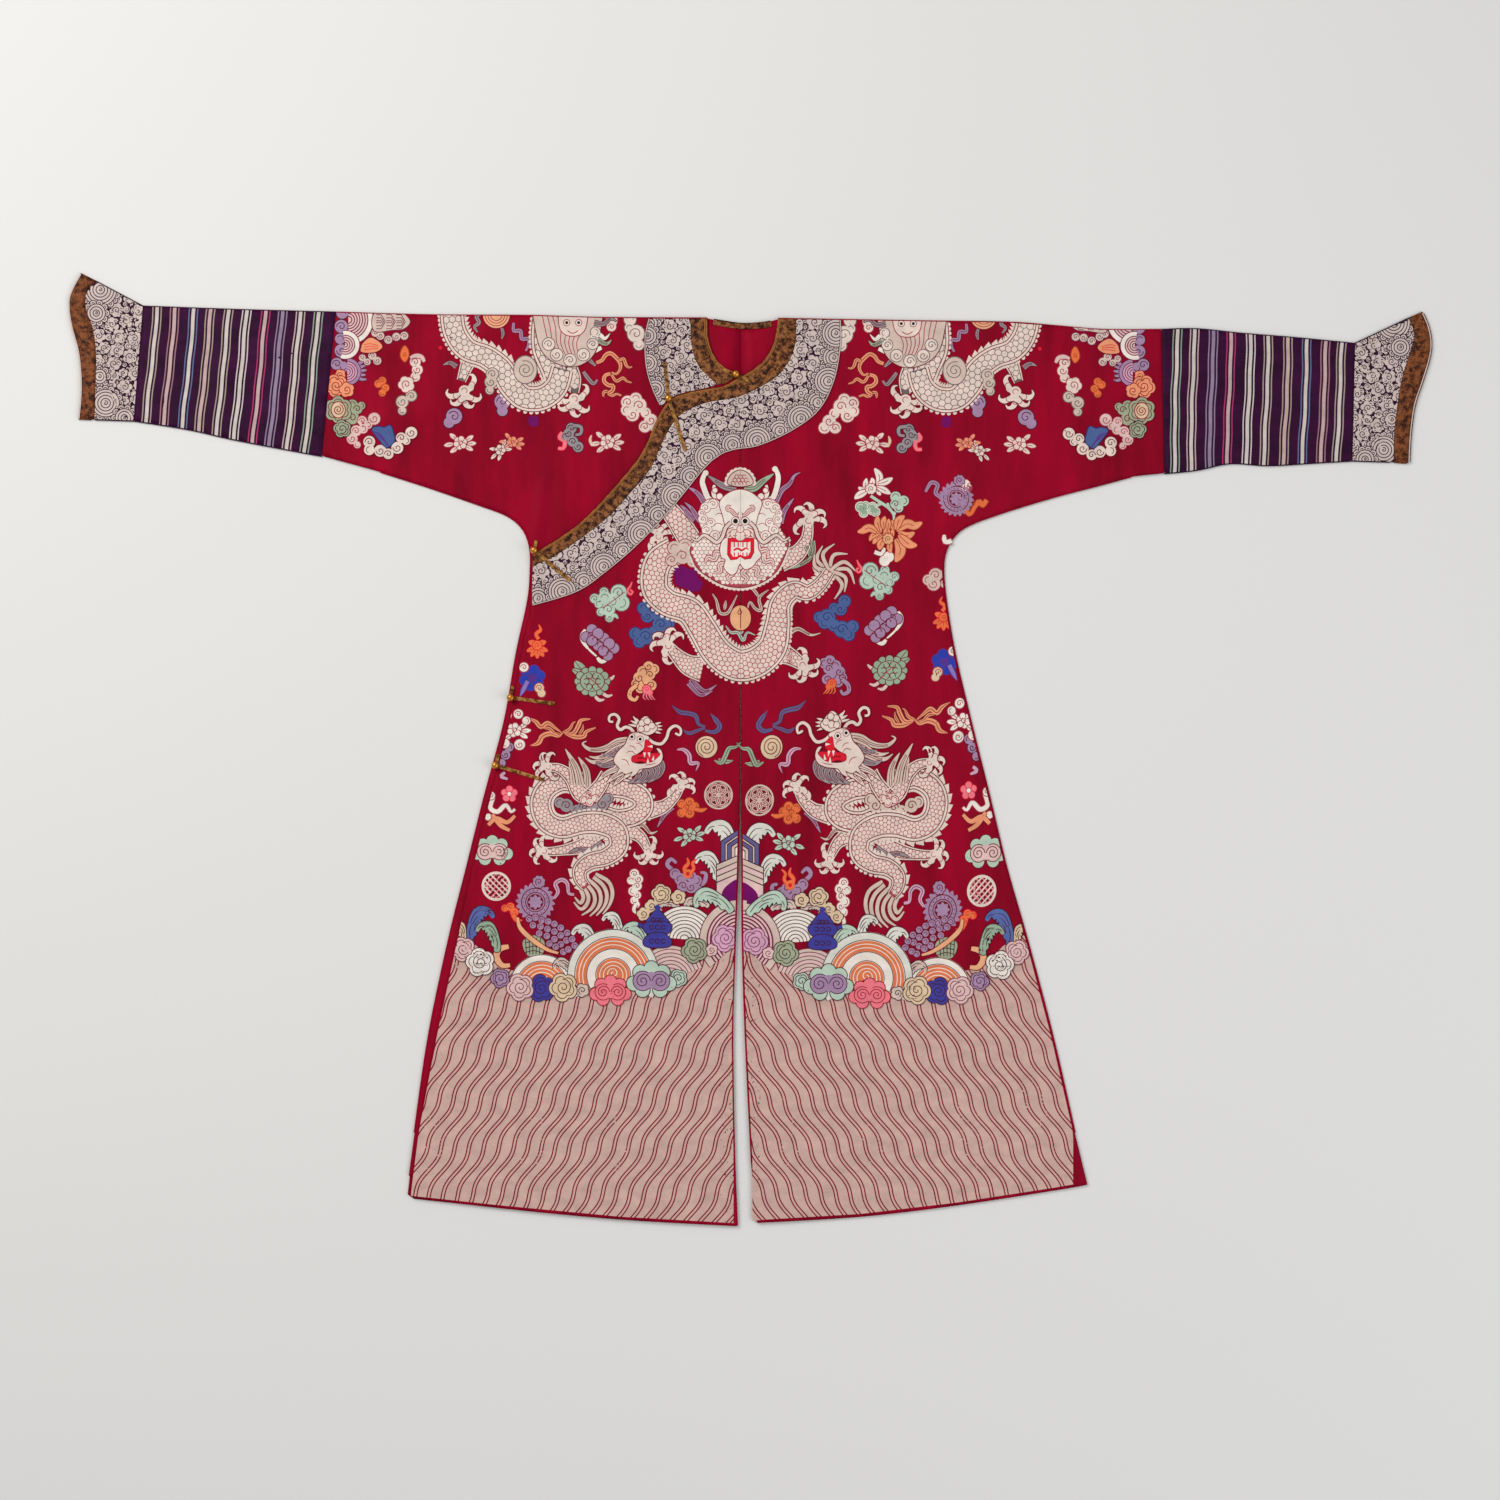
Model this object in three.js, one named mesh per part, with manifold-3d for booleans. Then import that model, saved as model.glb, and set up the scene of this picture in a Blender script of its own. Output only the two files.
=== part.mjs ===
// A silk dragon robe laid out flat on its back, sleeves spread, as a three.js scene in millimetres.
// +Z is up from the surface it lies on, +Y runs towards the neck, +X towards the wearer's left sleeve.
// The origin is on that surface, under the middle of the robe's outline.
// The robe is cut as two body halves that fold over the shoulders with no shoulder seam, an outer
// overlap on the front, a brocade collar, a neck binding, and striped sleeves that end in hoof cuffs.
import * as THREE from "three";
import { mergeVertices } from "three/addons/utils/BufferGeometryUtils.js";
import Module from "manifold-3d";

const wasm = await Module();
wasm.setup();

// Wall thicknesses and the gaps between pieces
const CLOTH = 1.2;
const FACING = 1.0;
const BINDING = 1.3;
const LAYER_GAP = 0.4;
const SEAM = 0.3;

// Edges shorter than this, left where outlines cross the grid, are closed up
const TIDY = 0.05;

// The front centre seam, which the vent continues down to the hem
const CENTRE_X = -14;
const VENT_TOP_Y = -60;

// The height grid that all pieces share. Stacked pieces keep an even gap because of it.
const CELL = 54;
const FINE_CELL = 13;
const GRID = { left: -1080, right: 1080, bottom: -756, top: 756 };
const FINE_X = { from: -342, to: -290 };
const NECK_AREA = { x: 320, bottom: 380 };

// The back collar lies under the back, which it lifts off the surface round the neck
const NECK = { x: -12, y: 648 };
const BACK_COLLAR = { halfWidth: 147, depth: 96 };
const LIFT_MARGIN = { full: 52, none: 120 };

// How far right of the centre the left front still lies on the inner flap's level
const FRONT_STEP = 75;

// Buttons, their loops and tabs
const BUTTON_RADIUS = 5.8;
const SHANK_RADIUS = 1.5;
const LOOP_OUTER = 5.2;
const LOOP_HOLE = 2.2;
const LOOP_OFFSET = 3.6;
const STRAP_WIDTH = 5.4;
const STRAP_THICK = 2.0;
const TAB_WIDTH = 4.8;
const TAB_THICK = 1.2;

// Upper edge of the laid robe: the fold along both arms and shoulders
const TOP_EDGE = [
  { x: -910, y: 665 },
  { x: -770, y: 660 },
  { x: -621, y: 656 },
  { x: -480, y: 652 },
  { x: -330, y: 651 },
  { x: -230, y: 648 },
  { x: -60, y: 647 },
  { x: 70, y: 646 },
  { x: 240, y: 643 },
  { x: 385, y: 641 },
  { x: 455, y: 636 },
  { x: 530, y: 630 },
  { x: 617, y: 630 },
  { x: 670, y: 631 },
  { x: 740, y: 624 },
  { x: 815, y: 618 },
  { x: 907, y: 609 },
];

// Lower edge of each arm, from the cuff seam in to the armpit
const RIGHT_UNDERARM = [
  { x: -924, y: 494 },
  { x: -842, y: 481 },
  { x: -770, y: 465 },
  { x: -642, y: 441 },
  { x: -554, y: 417 },
  { x: -482, y: 394 },
  { x: -410, y: 369 },
  { x: -365, y: 352 },
  { x: -341, y: 332 },
  { x: -330, y: 304 },
];
const LEFT_UNDERARM = [
  { x: 903, y: 434 },
  { x: 850, y: 431 },
  { x: 778, y: 427 },
  { x: 720, y: 430 },
  { x: 670, y: 420 },
  { x: 621, y: 415 },
  { x: 571, y: 410 },
  { x: 523, y: 397 },
  { x: 454, y: 379 },
  { x: 382, y: 357 },
  { x: 328, y: 337 },
  { x: 305, y: 319 },
  { x: 293, y: 296 },
];

// Sections down the skirt: the back's right and left side, and the outer overlap's free side
const SKIRT = [
  { y: 268, right: -329, left: 290, overlap: -325 },
  { y: 223, right: -333, left: 294, overlap: -327 },
  { y: 145, right: -350, left: 307, overlap: -343 },
  { y: 43, right: -368, left: 331, overlap: -361 },
  { y: -70, right: -398, left: 359, overlap: -390 },
  { y: -178, right: -425, left: 385, overlap: -417 },
  { y: -286, right: -452, left: 416, overlap: -440 },
  { y: -430, right: -482, left: 454, overlap: -471 },
  { y: -574, right: -503, left: 487, overlap: -498 },
];

// Sections down the vent in front and back
const VENT = [
  { y: VENT_TOP_Y, right: -14.6, left: -13.4 },
  { y: -181, right: -17, left: -13.2 },
  { y: -286, right: -21, left: -12.6 },
  { y: -430, right: -25, left: -8 },
  { y: -616, right: -22, left: 1 },
];

// The hem on each side of the vent, from the side to the vent
const RIGHT_HEM = [
  { x: -514, y: -672 },
  { x: -374, y: -687 },
  { x: -194, y: -704 },
  { x: -18, y: -714 },
];
const LEFT_HEM = [
  { x: 506, y: -652 },
  { x: 454, y: -661 },
  { x: 310, y: -683 },
  { x: 166, y: -700 },
  { x: 11, y: -709 },
];

// The hidden inner flap under the overlap stops short of the vent and the hem
const INNER_FLAP = { centre: -40, hem: -640, side: 9 };

// Edges round the neck and down the overlap. outer is the collar's outer edge, seam its join with
// the binding, and inner the binding's free edge, which is the edge of the cloth beneath.
const COLLAR_LEFT_OUTER = [
  { x: 136, y: 644.5 },
  { x: 136, y: 606 },
  { x: 126, y: 553 },
  { x: 103, y: 509 },
  { x: 62, y: 478 },
  { x: 13, y: 456 },
  { x: -23, y: 450 },
  { x: -46, y: 441 },
  { x: -70, y: 420 },
  { x: -119, y: 360 },
  { x: -167, y: 309 },
  { x: -216, y: 267 },
  { x: -260, y: 237 },
  { x: -327, y: 216 },
];
const COLLAR_LEFT_SEAM = [
  { x: 69, y: 645.5 },
  { x: 67, y: 606 },
  { x: 53, y: 575 },
  { x: 32, y: 554 },
  { x: -16, y: 530 },
  { x: -64, y: 521 },
  { x: -98, y: 507 },
  { x: -117, y: 488 },
  { x: -133, y: 458 },
  { x: -150, y: 421 },
  { x: -182, y: 383 },
  { x: -218, y: 345 },
  { x: -286, y: 295 },
  { x: -326, y: 276 },
];
const COLLAR_LEFT_INNER = [
  { x: 42, y: 646 },
  { x: 36, y: 612 },
  { x: 22, y: 585 },
  { x: 0, y: 567 },
  { x: -19, y: 557 },
  { x: -38, y: 546 },
  { x: -64, y: 541 },
  { x: -94, y: 535 },
  { x: -116, y: 527 },
  { x: -131, y: 511 },
  { x: -143, y: 488 },
  { x: -156, y: 457 },
  { x: -172, y: 431 },
  { x: -203, y: 394 },
  { x: -241, y: 353 },
  { x: -275, y: 325 },
  { x: -326, y: 293 },
];
const COLLAR_RIGHT_OUTER = [
  { x: -152, y: 646.5 },
  { x: -158, y: 616 },
  { x: -156, y: 575 },
  { x: -148, y: 545 },
  { x: -137.5, y: 521 },
];
const COLLAR_RIGHT_SEAM = [
  { x: -89, y: 646.5 },
  { x: -87, y: 606 },
  { x: -76, y: 575 },
  { x: -49, y: 548 },
];
const COLLAR_RIGHT_INNER = [
  { x: -64, y: 647 },
  { x: -62, y: 616 },
  { x: -52, y: 588 },
  { x: -36, y: 572 },
  { x: -21.5, y: 563.5 },
];

// The ends of the right collar and its binding, cut along the overlap's edge
const COLLAR_RIGHT_END = [
  { x: -134, y: 514.5 },
  { x: -124, y: 523.5 },
  { x: -117, y: 529 },
  { x: -106, y: 533.5 },
  { x: -94.4, y: 536.8 },
  { x: -64.4, y: 542.8 },
];
const BINDING_RIGHT_END = [
  { x: -39, y: 548.6 },
  { x: -30, y: 553.4 },
  { x: -21, y: 559.6 },
];

// The back's neckline and the binding's narrow turn-in on its inside
const BACK_NECK = [
  { x: -64, y: 647 },
  { x: -41, y: 643 },
  { x: -11, y: 639 },
  { x: 22, y: 641 },
  { x: 42, y: 646 },
];
const NECK_TURN_IN = 8;
const BINDING_WIDTH = 24;

// Hoof cuffs: the mouth's outer line and the line where its trim starts
const RIGHT_MOUTH = [
  { x: -1004, y: 714 },
  { x: -1018, y: 688 },
  { x: -1022, y: 667 },
  { x: -1018, y: 636 },
  { x: -1008, y: 598 },
  { x: -1004, y: 561 },
  { x: -1004, y: 531 },
  { x: -1007, y: 497 },
];
const RIGHT_TRIM = [
  { x: -982, y: 703 },
  { x: -996, y: 682 },
  { x: -995, y: 659 },
  { x: -986, y: 634 },
  { x: -981, y: 600 },
  { x: -981, y: 561 },
  { x: -983, y: 496 },
];
const LEFT_MOUTH = [
  { x: 1009, y: 656 },
  { x: 1018, y: 634 },
  { x: 1022, y: 610 },
  { x: 1019, y: 586 },
  { x: 1009, y: 553 },
  { x: 997, y: 516 },
  { x: 991, y: 471 },
  { x: 989, y: 430 },
];
const LEFT_TRIM = [
  { x: 988, y: 647 },
  { x: 996, y: 622 },
  { x: 988, y: 591 },
  { x: 977, y: 555 },
  { x: 970, y: 511 },
  { x: 966, y: 472 },
  { x: 965, y: 432 },
];
const RIGHT_CUFF_SEAM = { top: { x: -910, y: 665 }, bottom: { x: -924, y: 494 } };
const LEFT_CUFF_SEAM = { top: { x: 907, y: 609 }, bottom: { x: 903, y: 434 } };
const RIGHT_SLEEVE_SEAM = { top: { x: -621, y: 656 }, bottom: { x: -642, y: 441 } };
const LEFT_SLEEVE_SEAM = { top: { x: 617, y: 630 }, bottom: { x: 621, y: 415 } };

// Soft folds in the upper cloth: a ridge's middle, its direction from +X, length, width and height
const FOLDS = [
  { x: -316, y: 350, turn: 82, long: 120, wide: 15, high: 4.2 },
  { x: -278, y: 372, turn: 98, long: 110, wide: 30, high: 2.0 },
  { x: 318, y: 385, turn: 60, long: 130, wide: 34, high: 3.6 },
  { x: -520, y: 500, turn: 12, long: 180, wide: 42, high: 2.6 },
  { x: -350, y: 560, turn: 4, long: 190, wide: 46, high: 1.8 },
  { x: 470, y: 480, turn: 172, long: 190, wide: 42, high: 2.8 },
  { x: 300, y: 570, turn: 178, long: 160, wide: 46, high: 1.6 },
  { x: -790, y: 575, turn: 96, long: 110, wide: 36, high: 3.0 },
  { x: -700, y: 530, turn: 84, long: 100, wide: 34, high: 2.2 },
  { x: 700, y: 540, turn: 95, long: 120, wide: 36, high: 3.0 },
  { x: 810, y: 520, turn: 80, long: 110, wide: 36, high: 2.6 },
  { x: -955, y: 590, turn: 100, long: 90, wide: 36, high: 2.0 },
  { x: 945, y: 530, turn: 84, long: 90, wide: 36, high: 2.0 },
  { x: -405, y: -330, turn: 76, long: 330, wide: 44, high: 4.0 },
  { x: -270, y: -430, turn: 84, long: 380, wide: 50, high: 3.0 },
  { x: -120, y: -380, turn: 90, long: 420, wide: 48, high: 2.6 },
  { x: 90, y: -420, turn: 92, long: 400, wide: 50, high: 3.2 },
  { x: 245, y: -380, turn: 98, long: 400, wide: 50, high: 2.6 },
  { x: 370, y: -300, turn: 104, long: 330, wide: 44, high: 3.8 },
  { x: -180, y: 60, turn: 96, long: 260, wide: 54, high: 2.2 },
  { x: 150, y: 90, turn: 82, long: 260, wide: 54, high: 2.4 },
];

// Where each loop meets the overlap's edge, which way its strap runs and how far, what the strap
// lies on, and the tab that holds its button
const FASTENINGS = [
  { name: "neck", x: -18, y: 561, turn: -25, strap: 18, on: "binding",
    tab: { turn: 158, length: 20, on: "trim" } },
  { name: "collar", x: -121, y: 523, turn: -72, strap: 76, on: "binding",
    tab: { turn: 96, length: 54, on: "trim" } },
  { name: "underarm", x: -320.5, y: 296.8, turn: -40, strap: 64, on: "binding",
    tab: { turn: 78, length: 14, on: "cloth" } },
  { name: "waist", x: -354.8, y: 78, turn: -8, strap: 60, on: "overlap",
    tab: { turn: 80, length: 16, on: "cloth" } },
  { name: "side", x: -377.8, y: -24, turn: -17, strap: 70, on: "overlap",
    tab: { turn: 76, length: 16, on: "cloth" } },
];

// Small helpers

function smooth(from, to, value) {
  const t = Math.min(1, Math.max(0, (value - from) / (to - from)));
  return t * t * (3 - 2 * t);
}

function spline(rows, steps = 2) {
  const points = rows.map((row) => new THREE.Vector2(row.x, row.y));
  return new THREE.SplineCurve(points).getPoints((rows.length - 1) * steps);
}

function between(rows, fromX, toX) {
  const inside = rows.filter((row) => row.x > fromX + 2 && row.x < toX - 2);
  inside.sort((a, b) => a.x - b.x);
  return [at(rows, fromX), ...inside, at(rows, toX)];
}

// The point of a table of edge points at a given x, straight between its rows
function at(rows, x) {
  const sorted = [...rows].sort((a, b) => a.x - b.x);
  let i = 0;
  while (i < sorted.length - 2 && sorted[i + 1].x < x) i += 1;
  const a = sorted[i];
  const b = sorted[i + 1];
  return { x, y: a.y + ((x - a.x) / (b.x - a.x)) * (b.y - a.y) };
}

function column(rows, name) {
  return rows.map((row) => ({ x: row[name], y: row.y }));
}

// A path moved sideways, to its left as it runs
function moved(path, distance) {
  return path.map((point, i) => {
    const along = path[Math.min(i + 1, path.length - 1)].clone();
    along.sub(path[Math.max(i - 1, 0)]).normalize();
    return new THREE.Vector2(point.x - along.y * distance, point.y + along.x * distance);
  });
}

// Heights of the layers over the surface, at any place

function collarLift(x, y) {
  const wide = BACK_COLLAR.halfWidth;
  const deep = BACK_COLLAR.depth;
  const dx = (x - NECK.x) / wide;
  const dy = (NECK.y - y) / deep;
  const out = (Math.hypot(dx, dy) - 1) * deep;
  return (FACING + LAYER_GAP) * (1 - smooth(LIFT_MARGIN.full, LIFT_MARGIN.none, out));
}

function foldHeight(x, y) {
  let height = 0;
  for (const fold of FOLDS) {
    const turn = THREE.MathUtils.degToRad(fold.turn);
    const dx = x - fold.x;
    const dy = y - fold.y;
    const along = (dx * Math.cos(turn) + dy * Math.sin(turn)) / (fold.long / 2);
    const across = (dy * Math.cos(turn) - dx * Math.sin(turn)) / (fold.wide / 2);
    height += fold.high * Math.exp(-(along * along) - across * across);
  }
  return height;
}

const backTop = (x, y) => collarLift(x, y) + CLOTH;
const innerBottom = (x, y) => backTop(x, y) + LAYER_GAP + foldHeight(x, y);
const innerTop = (x, y) => innerBottom(x, y) + CLOTH;

// The outer layer lies on the inner flap left of the centre, and on the back right of it
function outerBottom(x, y) {
  const onFlap = 1 - smooth(CENTRE_X + CELL, CENTRE_X + CELL + FRONT_STEP, x);
  return innerBottom(x, y) + (CLOTH + LAYER_GAP) * onFlap;
}
const outerTop = (x, y) => outerBottom(x, y) + CLOTH;
const raised = (surface, by) => (x, y) => surface(x, y) + by;
const level = (height) => () => height;

// Solids

function solidOf(geometry) {
  const bare = geometry.clone();
  bare.deleteAttribute("normal");
  bare.deleteAttribute("uv");
  const merged = mergeVertices(bare, 1e-4);
  return new wasm.Manifold(
    new wasm.Mesh({
      numProp: 3,
      vertProperties: merged.attributes.position.array,
      triVerts: new Uint32Array(merged.index.array),
    }),
  );
}

function gridLines(from, to, fine) {
  const lines = [];
  for (let v = from; v <= to; v += CELL) {
    const inFine = fine && v > fine.from && v < fine.to;
    if (!inFine) lines.push(v);
  }
  if (fine) {
    for (let v = fine.from; v <= fine.to; v += FINE_CELL) lines.push(v);
  }
  return lines.sort((a, b) => a - b);
}

// The back is flat outside the lifted area round the neck, so its grid is kept to that area
const FULL = {
  x: gridLines(GRID.left, GRID.right, FINE_X),
  y: gridLines(GRID.bottom, GRID.top, null),
};
const NECK_ONLY = {
  x: FULL.x.filter((v) => Math.abs(v) < NECK_AREA.x || Math.abs(v) === GRID.right),
  y: FULL.y.filter((v) => v > NECK_AREA.bottom || v === GRID.bottom),
};

function linesAround(lines, low, high) {
  const first = lines.findLastIndex((v) => v < low - 1);
  const last = lines.findIndex((v) => v > high + 1);
  return lines.slice(first, last + 1);
}

// A slab between two height functions on the shared grid, over a rectangle
function slab(box, bottom, top, lines) {
  const xs = linesAround(lines.x, box.min.x, box.max.x);
  const ys = linesAround(lines.y, box.min.y, box.max.y);
  const position = [];
  for (const height of [bottom, top]) {
    for (const y of ys) {
      for (const x of xs) position.push(x, y, height(x, y));
    }
  }
  const layer = xs.length * ys.length;
  const corner = (i, j, up) => up * layer + j * xs.length + i;
  const index = [];
  const quad = (a, b, c, d) => index.push(a, b, c, a, c, d);
  for (let j = 0; j < ys.length - 1; j += 1) {
    for (let i = 0; i < xs.length - 1; i += 1) {
      quad(corner(i, j, 1), corner(i + 1, j, 1), corner(i + 1, j + 1, 1), corner(i, j + 1, 1));
      // The lower face has the same diagonal, seen from below
      const [a, b, c, d] = [[i, j], [i + 1, j], [i + 1, j + 1], [i, j + 1]].map(([u, v]) =>
        corner(u, v, 0),
      );
      index.push(a, c, b, a, d, c);
    }
  }
  const lastX = xs.length - 1;
  const lastY = ys.length - 1;
  for (let i = 0; i < lastX; i += 1) {
    quad(corner(i, 0, 0), corner(i + 1, 0, 0), corner(i + 1, 0, 1), corner(i, 0, 1));
    quad(corner(i + 1, lastY, 0), corner(i, lastY, 0), corner(i, lastY, 1), corner(i + 1, lastY, 1));
  }
  for (let j = 0; j < lastY; j += 1) {
    quad(corner(0, j + 1, 0), corner(0, j, 0), corner(0, j, 1), corner(0, j + 1, 1));
    quad(corner(lastX, j, 0), corner(lastX, j + 1, 0), corner(lastX, j + 1, 1), corner(lastX, j, 1));
  }
  const geometry = new THREE.BufferGeometry();
  geometry.setAttribute("position", new THREE.Float32BufferAttribute(position, 3));
  geometry.setIndex(index);
  return solidOf(geometry);
}

// Cloth with a given outline, whose walls are upright and whose faces follow two height functions
function plate(outline, bottom, top, { hole, lines = FULL } = {}) {
  const shape = new THREE.Shape(outline);
  if (hole) shape.holes.push(new THREE.Path(hole));
  const prism = new THREE.ExtrudeGeometry(shape, { depth: 80, bevelEnabled: false });
  prism.translate(0, 0, -20);
  const box = new THREE.Box2().setFromPoints(outline);
  return slab(box, bottom, top, lines).intersect(solidOf(prism));
}

// A wall that closes two layers along a path, such as a fold or a side seam
function edgeWall(path, bottom, top, width = CLOTH) {
  const inner = moved(path, width);
  return plate([...path, ...inner.reverse()], bottom, top);
}

function joined(...solids) {
  return solids.reduce((sum, solid) => sum.add(solid));
}

const robe = new THREE.Group();

function addPiece(name, solid, material) {
  const mesh = solid.simplify(TIDY).getMesh();
  const geometry = new THREE.BufferGeometry();
  geometry.setAttribute("position", new THREE.BufferAttribute(mesh.vertProperties, 3));
  geometry.setIndex(new THREE.BufferAttribute(mesh.triVerts, 1));
  geometry.computeVertexNormals();
  const piece = new THREE.Mesh(geometry, material);
  piece.name = name;
  robe.add(piece);
}

const silk = new THREE.MeshStandardMaterial({ color: 0x930222, roughness: 0.62, metalness: 0 });
const brocade = new THREE.MeshStandardMaterial({ color: 0xc4b3ae, roughness: 0.7, metalness: 0 });
const binding = new THREE.MeshStandardMaterial({ color: 0x7a4a26, roughness: 0.55, metalness: 0.1 });
const striped = new THREE.MeshStandardMaterial({ color: 0x35102f, roughness: 0.5, metalness: 0 });
const braid = new THREE.MeshStandardMaterial({ color: 0x8a5b28, roughness: 0.6, metalness: 0.1 });
const brass = new THREE.MeshStandardMaterial({ color: 0xc79a3c, roughness: 0.25, metalness: 1 });

// Outlines shared by front and back. Each path runs with the cloth on its left.

const leftSide = spline([...column(SKIRT, "left").reverse(), ...LEFT_UNDERARM.slice(6).reverse()]);
const rightSide = spline([...RIGHT_UNDERARM.slice(4), ...column(SKIRT, "right")]);
const leftTop = spline(between(TOP_EDGE, 42, 617)).reverse();
const rightTop = spline(between(TOP_EDGE, -621, -64)).reverse();
const leftHem = spline([...LEFT_HEM].reverse());
const rightHem = spline(RIGHT_HEM);
const seam = SEAM / 2;

function vent(name) {
  return spline(column(VENT, name));
}

// From the left hem corner round the side, the arm and the shoulder to the neck
const leftOuter = [
  new THREE.Vector2(LEFT_HEM[0].x, LEFT_HEM[0].y),
  ...leftSide,
  new THREE.Vector2(LEFT_SLEEVE_SEAM.bottom.x - seam, LEFT_SLEEVE_SEAM.bottom.y),
  ...leftTop.map((p, i) => (i ? p : new THREE.Vector2(p.x - seam, p.y))),
];
// From the neck along the right shoulder, the arm and the side to the right hem corner
const rightOuter = [
  ...rightTop,
  new THREE.Vector2(RIGHT_SLEEVE_SEAM.bottom.x + seam, RIGHT_SLEEVE_SEAM.bottom.y),
  ...rightSide,
  new THREE.Vector2(RIGHT_HEM[0].x, RIGHT_HEM[0].y),
];

const backNeck = spline(BACK_NECK);
const backNeckLeft = backNeck.filter((p) => p.x > CENTRE_X + 1);
const backNeckRight = backNeck.filter((p) => p.x < CENTRE_X - 1);

// Body halves: front and back in one, folded over the shoulder and closed down the side

function leftBack() {
  const outline = [
    ...leftHem,
    ...leftOuter,
    ...[...backNeckLeft].reverse(),
    new THREE.Vector2(CENTRE_X + seam, 639),
    ...vent("left"),
  ];
  return plate(outline, collarLift, backTop, { lines: NECK_ONLY });
}

function leftFront() {
  const neck = spline(COLLAR_LEFT_INNER.slice(0, 5)).filter((p) => p.x > CENTRE_X + 1);
  const outline = [
    ...leftHem,
    ...leftOuter,
    ...neck,
    new THREE.Vector2(CENTRE_X + seam, 559),
    ...vent("left"),
  ];
  return plate(outline, outerBottom, outerTop);
}

function rightBack() {
  const outline = [
    ...rightOuter,
    ...rightHem,
    ...vent("right").reverse(),
    new THREE.Vector2(CENTRE_X - seam, 639),
    ...[...backNeckRight].reverse(),
  ];
  return plate(outline, collarLift, backTop, { lines: NECK_ONLY });
}

// The right front goes on under the overlap as the inner flap
function rightFront() {
  const side = rightSide.filter((p) => p.y > INNER_FLAP.hem);
  const outline = [
    ...rightTop,
    new THREE.Vector2(RIGHT_SLEEVE_SEAM.bottom.x + seam, RIGHT_SLEEVE_SEAM.bottom.y),
    ...side,
    new THREE.Vector2(side.at(-1).x - INNER_FLAP.side, INNER_FLAP.hem),
    new THREE.Vector2(INNER_FLAP.centre, INNER_FLAP.hem),
    new THREE.Vector2(INNER_FLAP.centre, 520),
    new THREE.Vector2(-24, 540),
    ...spline(COLLAR_RIGHT_INNER).reverse(),
  ];
  return plate(outline, innerBottom, innerTop);
}

function bodyHalf(back, front, paths, top) {
  const walls = paths.map((path) => edgeWall(path, collarLift, top));
  return joined(back, front, ...walls);
}

addPiece(
  "body_left",
  bodyHalf(leftBack(), leftFront(), [leftSide, leftTop], outerTop),
  silk,
);
addPiece(
  "body_right",
  bodyHalf(
    rightBack(),
    rightFront(),
    [rightTop, rightSide.filter((p) => p.y > INNER_FLAP.hem)],
    innerTop,
  ),
  silk,
);

// The outer overlap, from the centre seam to the right side

function overlap() {
  const edge = spline(COLLAR_LEFT_INNER.slice(4));
  const outline = [
    new THREE.Vector2(CENTRE_X - seam, 554),
    ...edge,
    ...spline(column(SKIRT, "overlap")),
    new THREE.Vector2(-510, -668),
    ...spline([{ x: -505, y: -671 }, ...RIGHT_HEM.slice(1)]),
    ...vent("right").reverse(),
  ];
  return plate(outline, outerBottom, outerTop);
}
addPiece("overlap_front", overlap(), silk);

// The collar: two front pieces, and one behind the neck that lies under the back

function points(rows) {
  return rows.map((row) => new THREE.Vector2(row.x, row.y));
}

function faced(outline, surface, thick) {
  return plate(outline, raised(surface, SEAM), raised(surface, SEAM + thick));
}

function backCollar() {
  const count = 28;
  const outline = [];
  for (let i = 0; i <= count; i += 1) {
    const turn = Math.PI + (Math.PI * i) / count;
    outline.push(
      new THREE.Vector2(
        NECK.x + BACK_COLLAR.halfWidth * Math.cos(turn),
        NECK.y - 1.6 + BACK_COLLAR.depth * Math.sin(turn),
      ),
    );
  }
  const neckEdge = moved(backNeck, -BINDING_WIDTH).filter((p) => p.y < 622);
  return [...outline, ...shoulderEnds(neckEdge)];
}

function shoulderEnds(neckEdge) {
  return [
    new THREE.Vector2(66, 644),
    ...neckEdge.reverse(),
    new THREE.Vector2(-88, 645),
  ];
}

const leftSeam = spline(COLLAR_LEFT_SEAM);
const rightSeam = spline(COLLAR_RIGHT_SEAM);
addPiece(
  "collar_left",
  faced([...spline(COLLAR_LEFT_OUTER), ...moved(leftSeam, SEAM).reverse()], outerTop, FACING),
  brocade,
);
addPiece(
  "collar_right",
  faced(
    [
      ...spline(COLLAR_RIGHT_OUTER),
      ...points(COLLAR_RIGHT_END),
      ...moved(rightSeam, -SEAM).reverse(),
    ],
    innerTop,
    FACING,
  ),
  brocade,
);
addPiece("collar_back", plate(backCollar(), level(0), level(FACING), { lines: NECK_ONLY }), brocade);

// The binding: down the overlap's edge, round the right of the neck, and behind the neck

addPiece(
  "binding_left",
  faced([...leftSeam, ...spline(COLLAR_LEFT_INNER).reverse()], outerTop, BINDING),
  binding,
);
addPiece(
  "binding_right",
  faced(
    [...rightSeam, ...points(BINDING_RIGHT_END), ...spline(COLLAR_RIGHT_INNER).reverse()],
    innerTop,
    BINDING,
  ),
  binding,
);

function backBinding() {
  const open = backNeck.filter((p) => p.x > -57 && p.x < 34);
  const folded = moved(open, SEAM + FACING).reverse();
  const under = plate([...moved(open, SEAM - BINDING_WIDTH), ...folded], level(0), level(FACING));
  const top = raised(backTop, SEAM + FACING);
  const wall = plate([...moved(open, SEAM), ...folded], level(0), top);
  const turnIn = plate([...moved(open, -NECK_TURN_IN), ...folded], raised(backTop, SEAM), top);
  return joined(under, wall, turnIn);
}
addPiece("binding_back", backBinding(), binding);

// Sleeves and cuffs: flattened tubes, folded along the top and closed along the underarm

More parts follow.
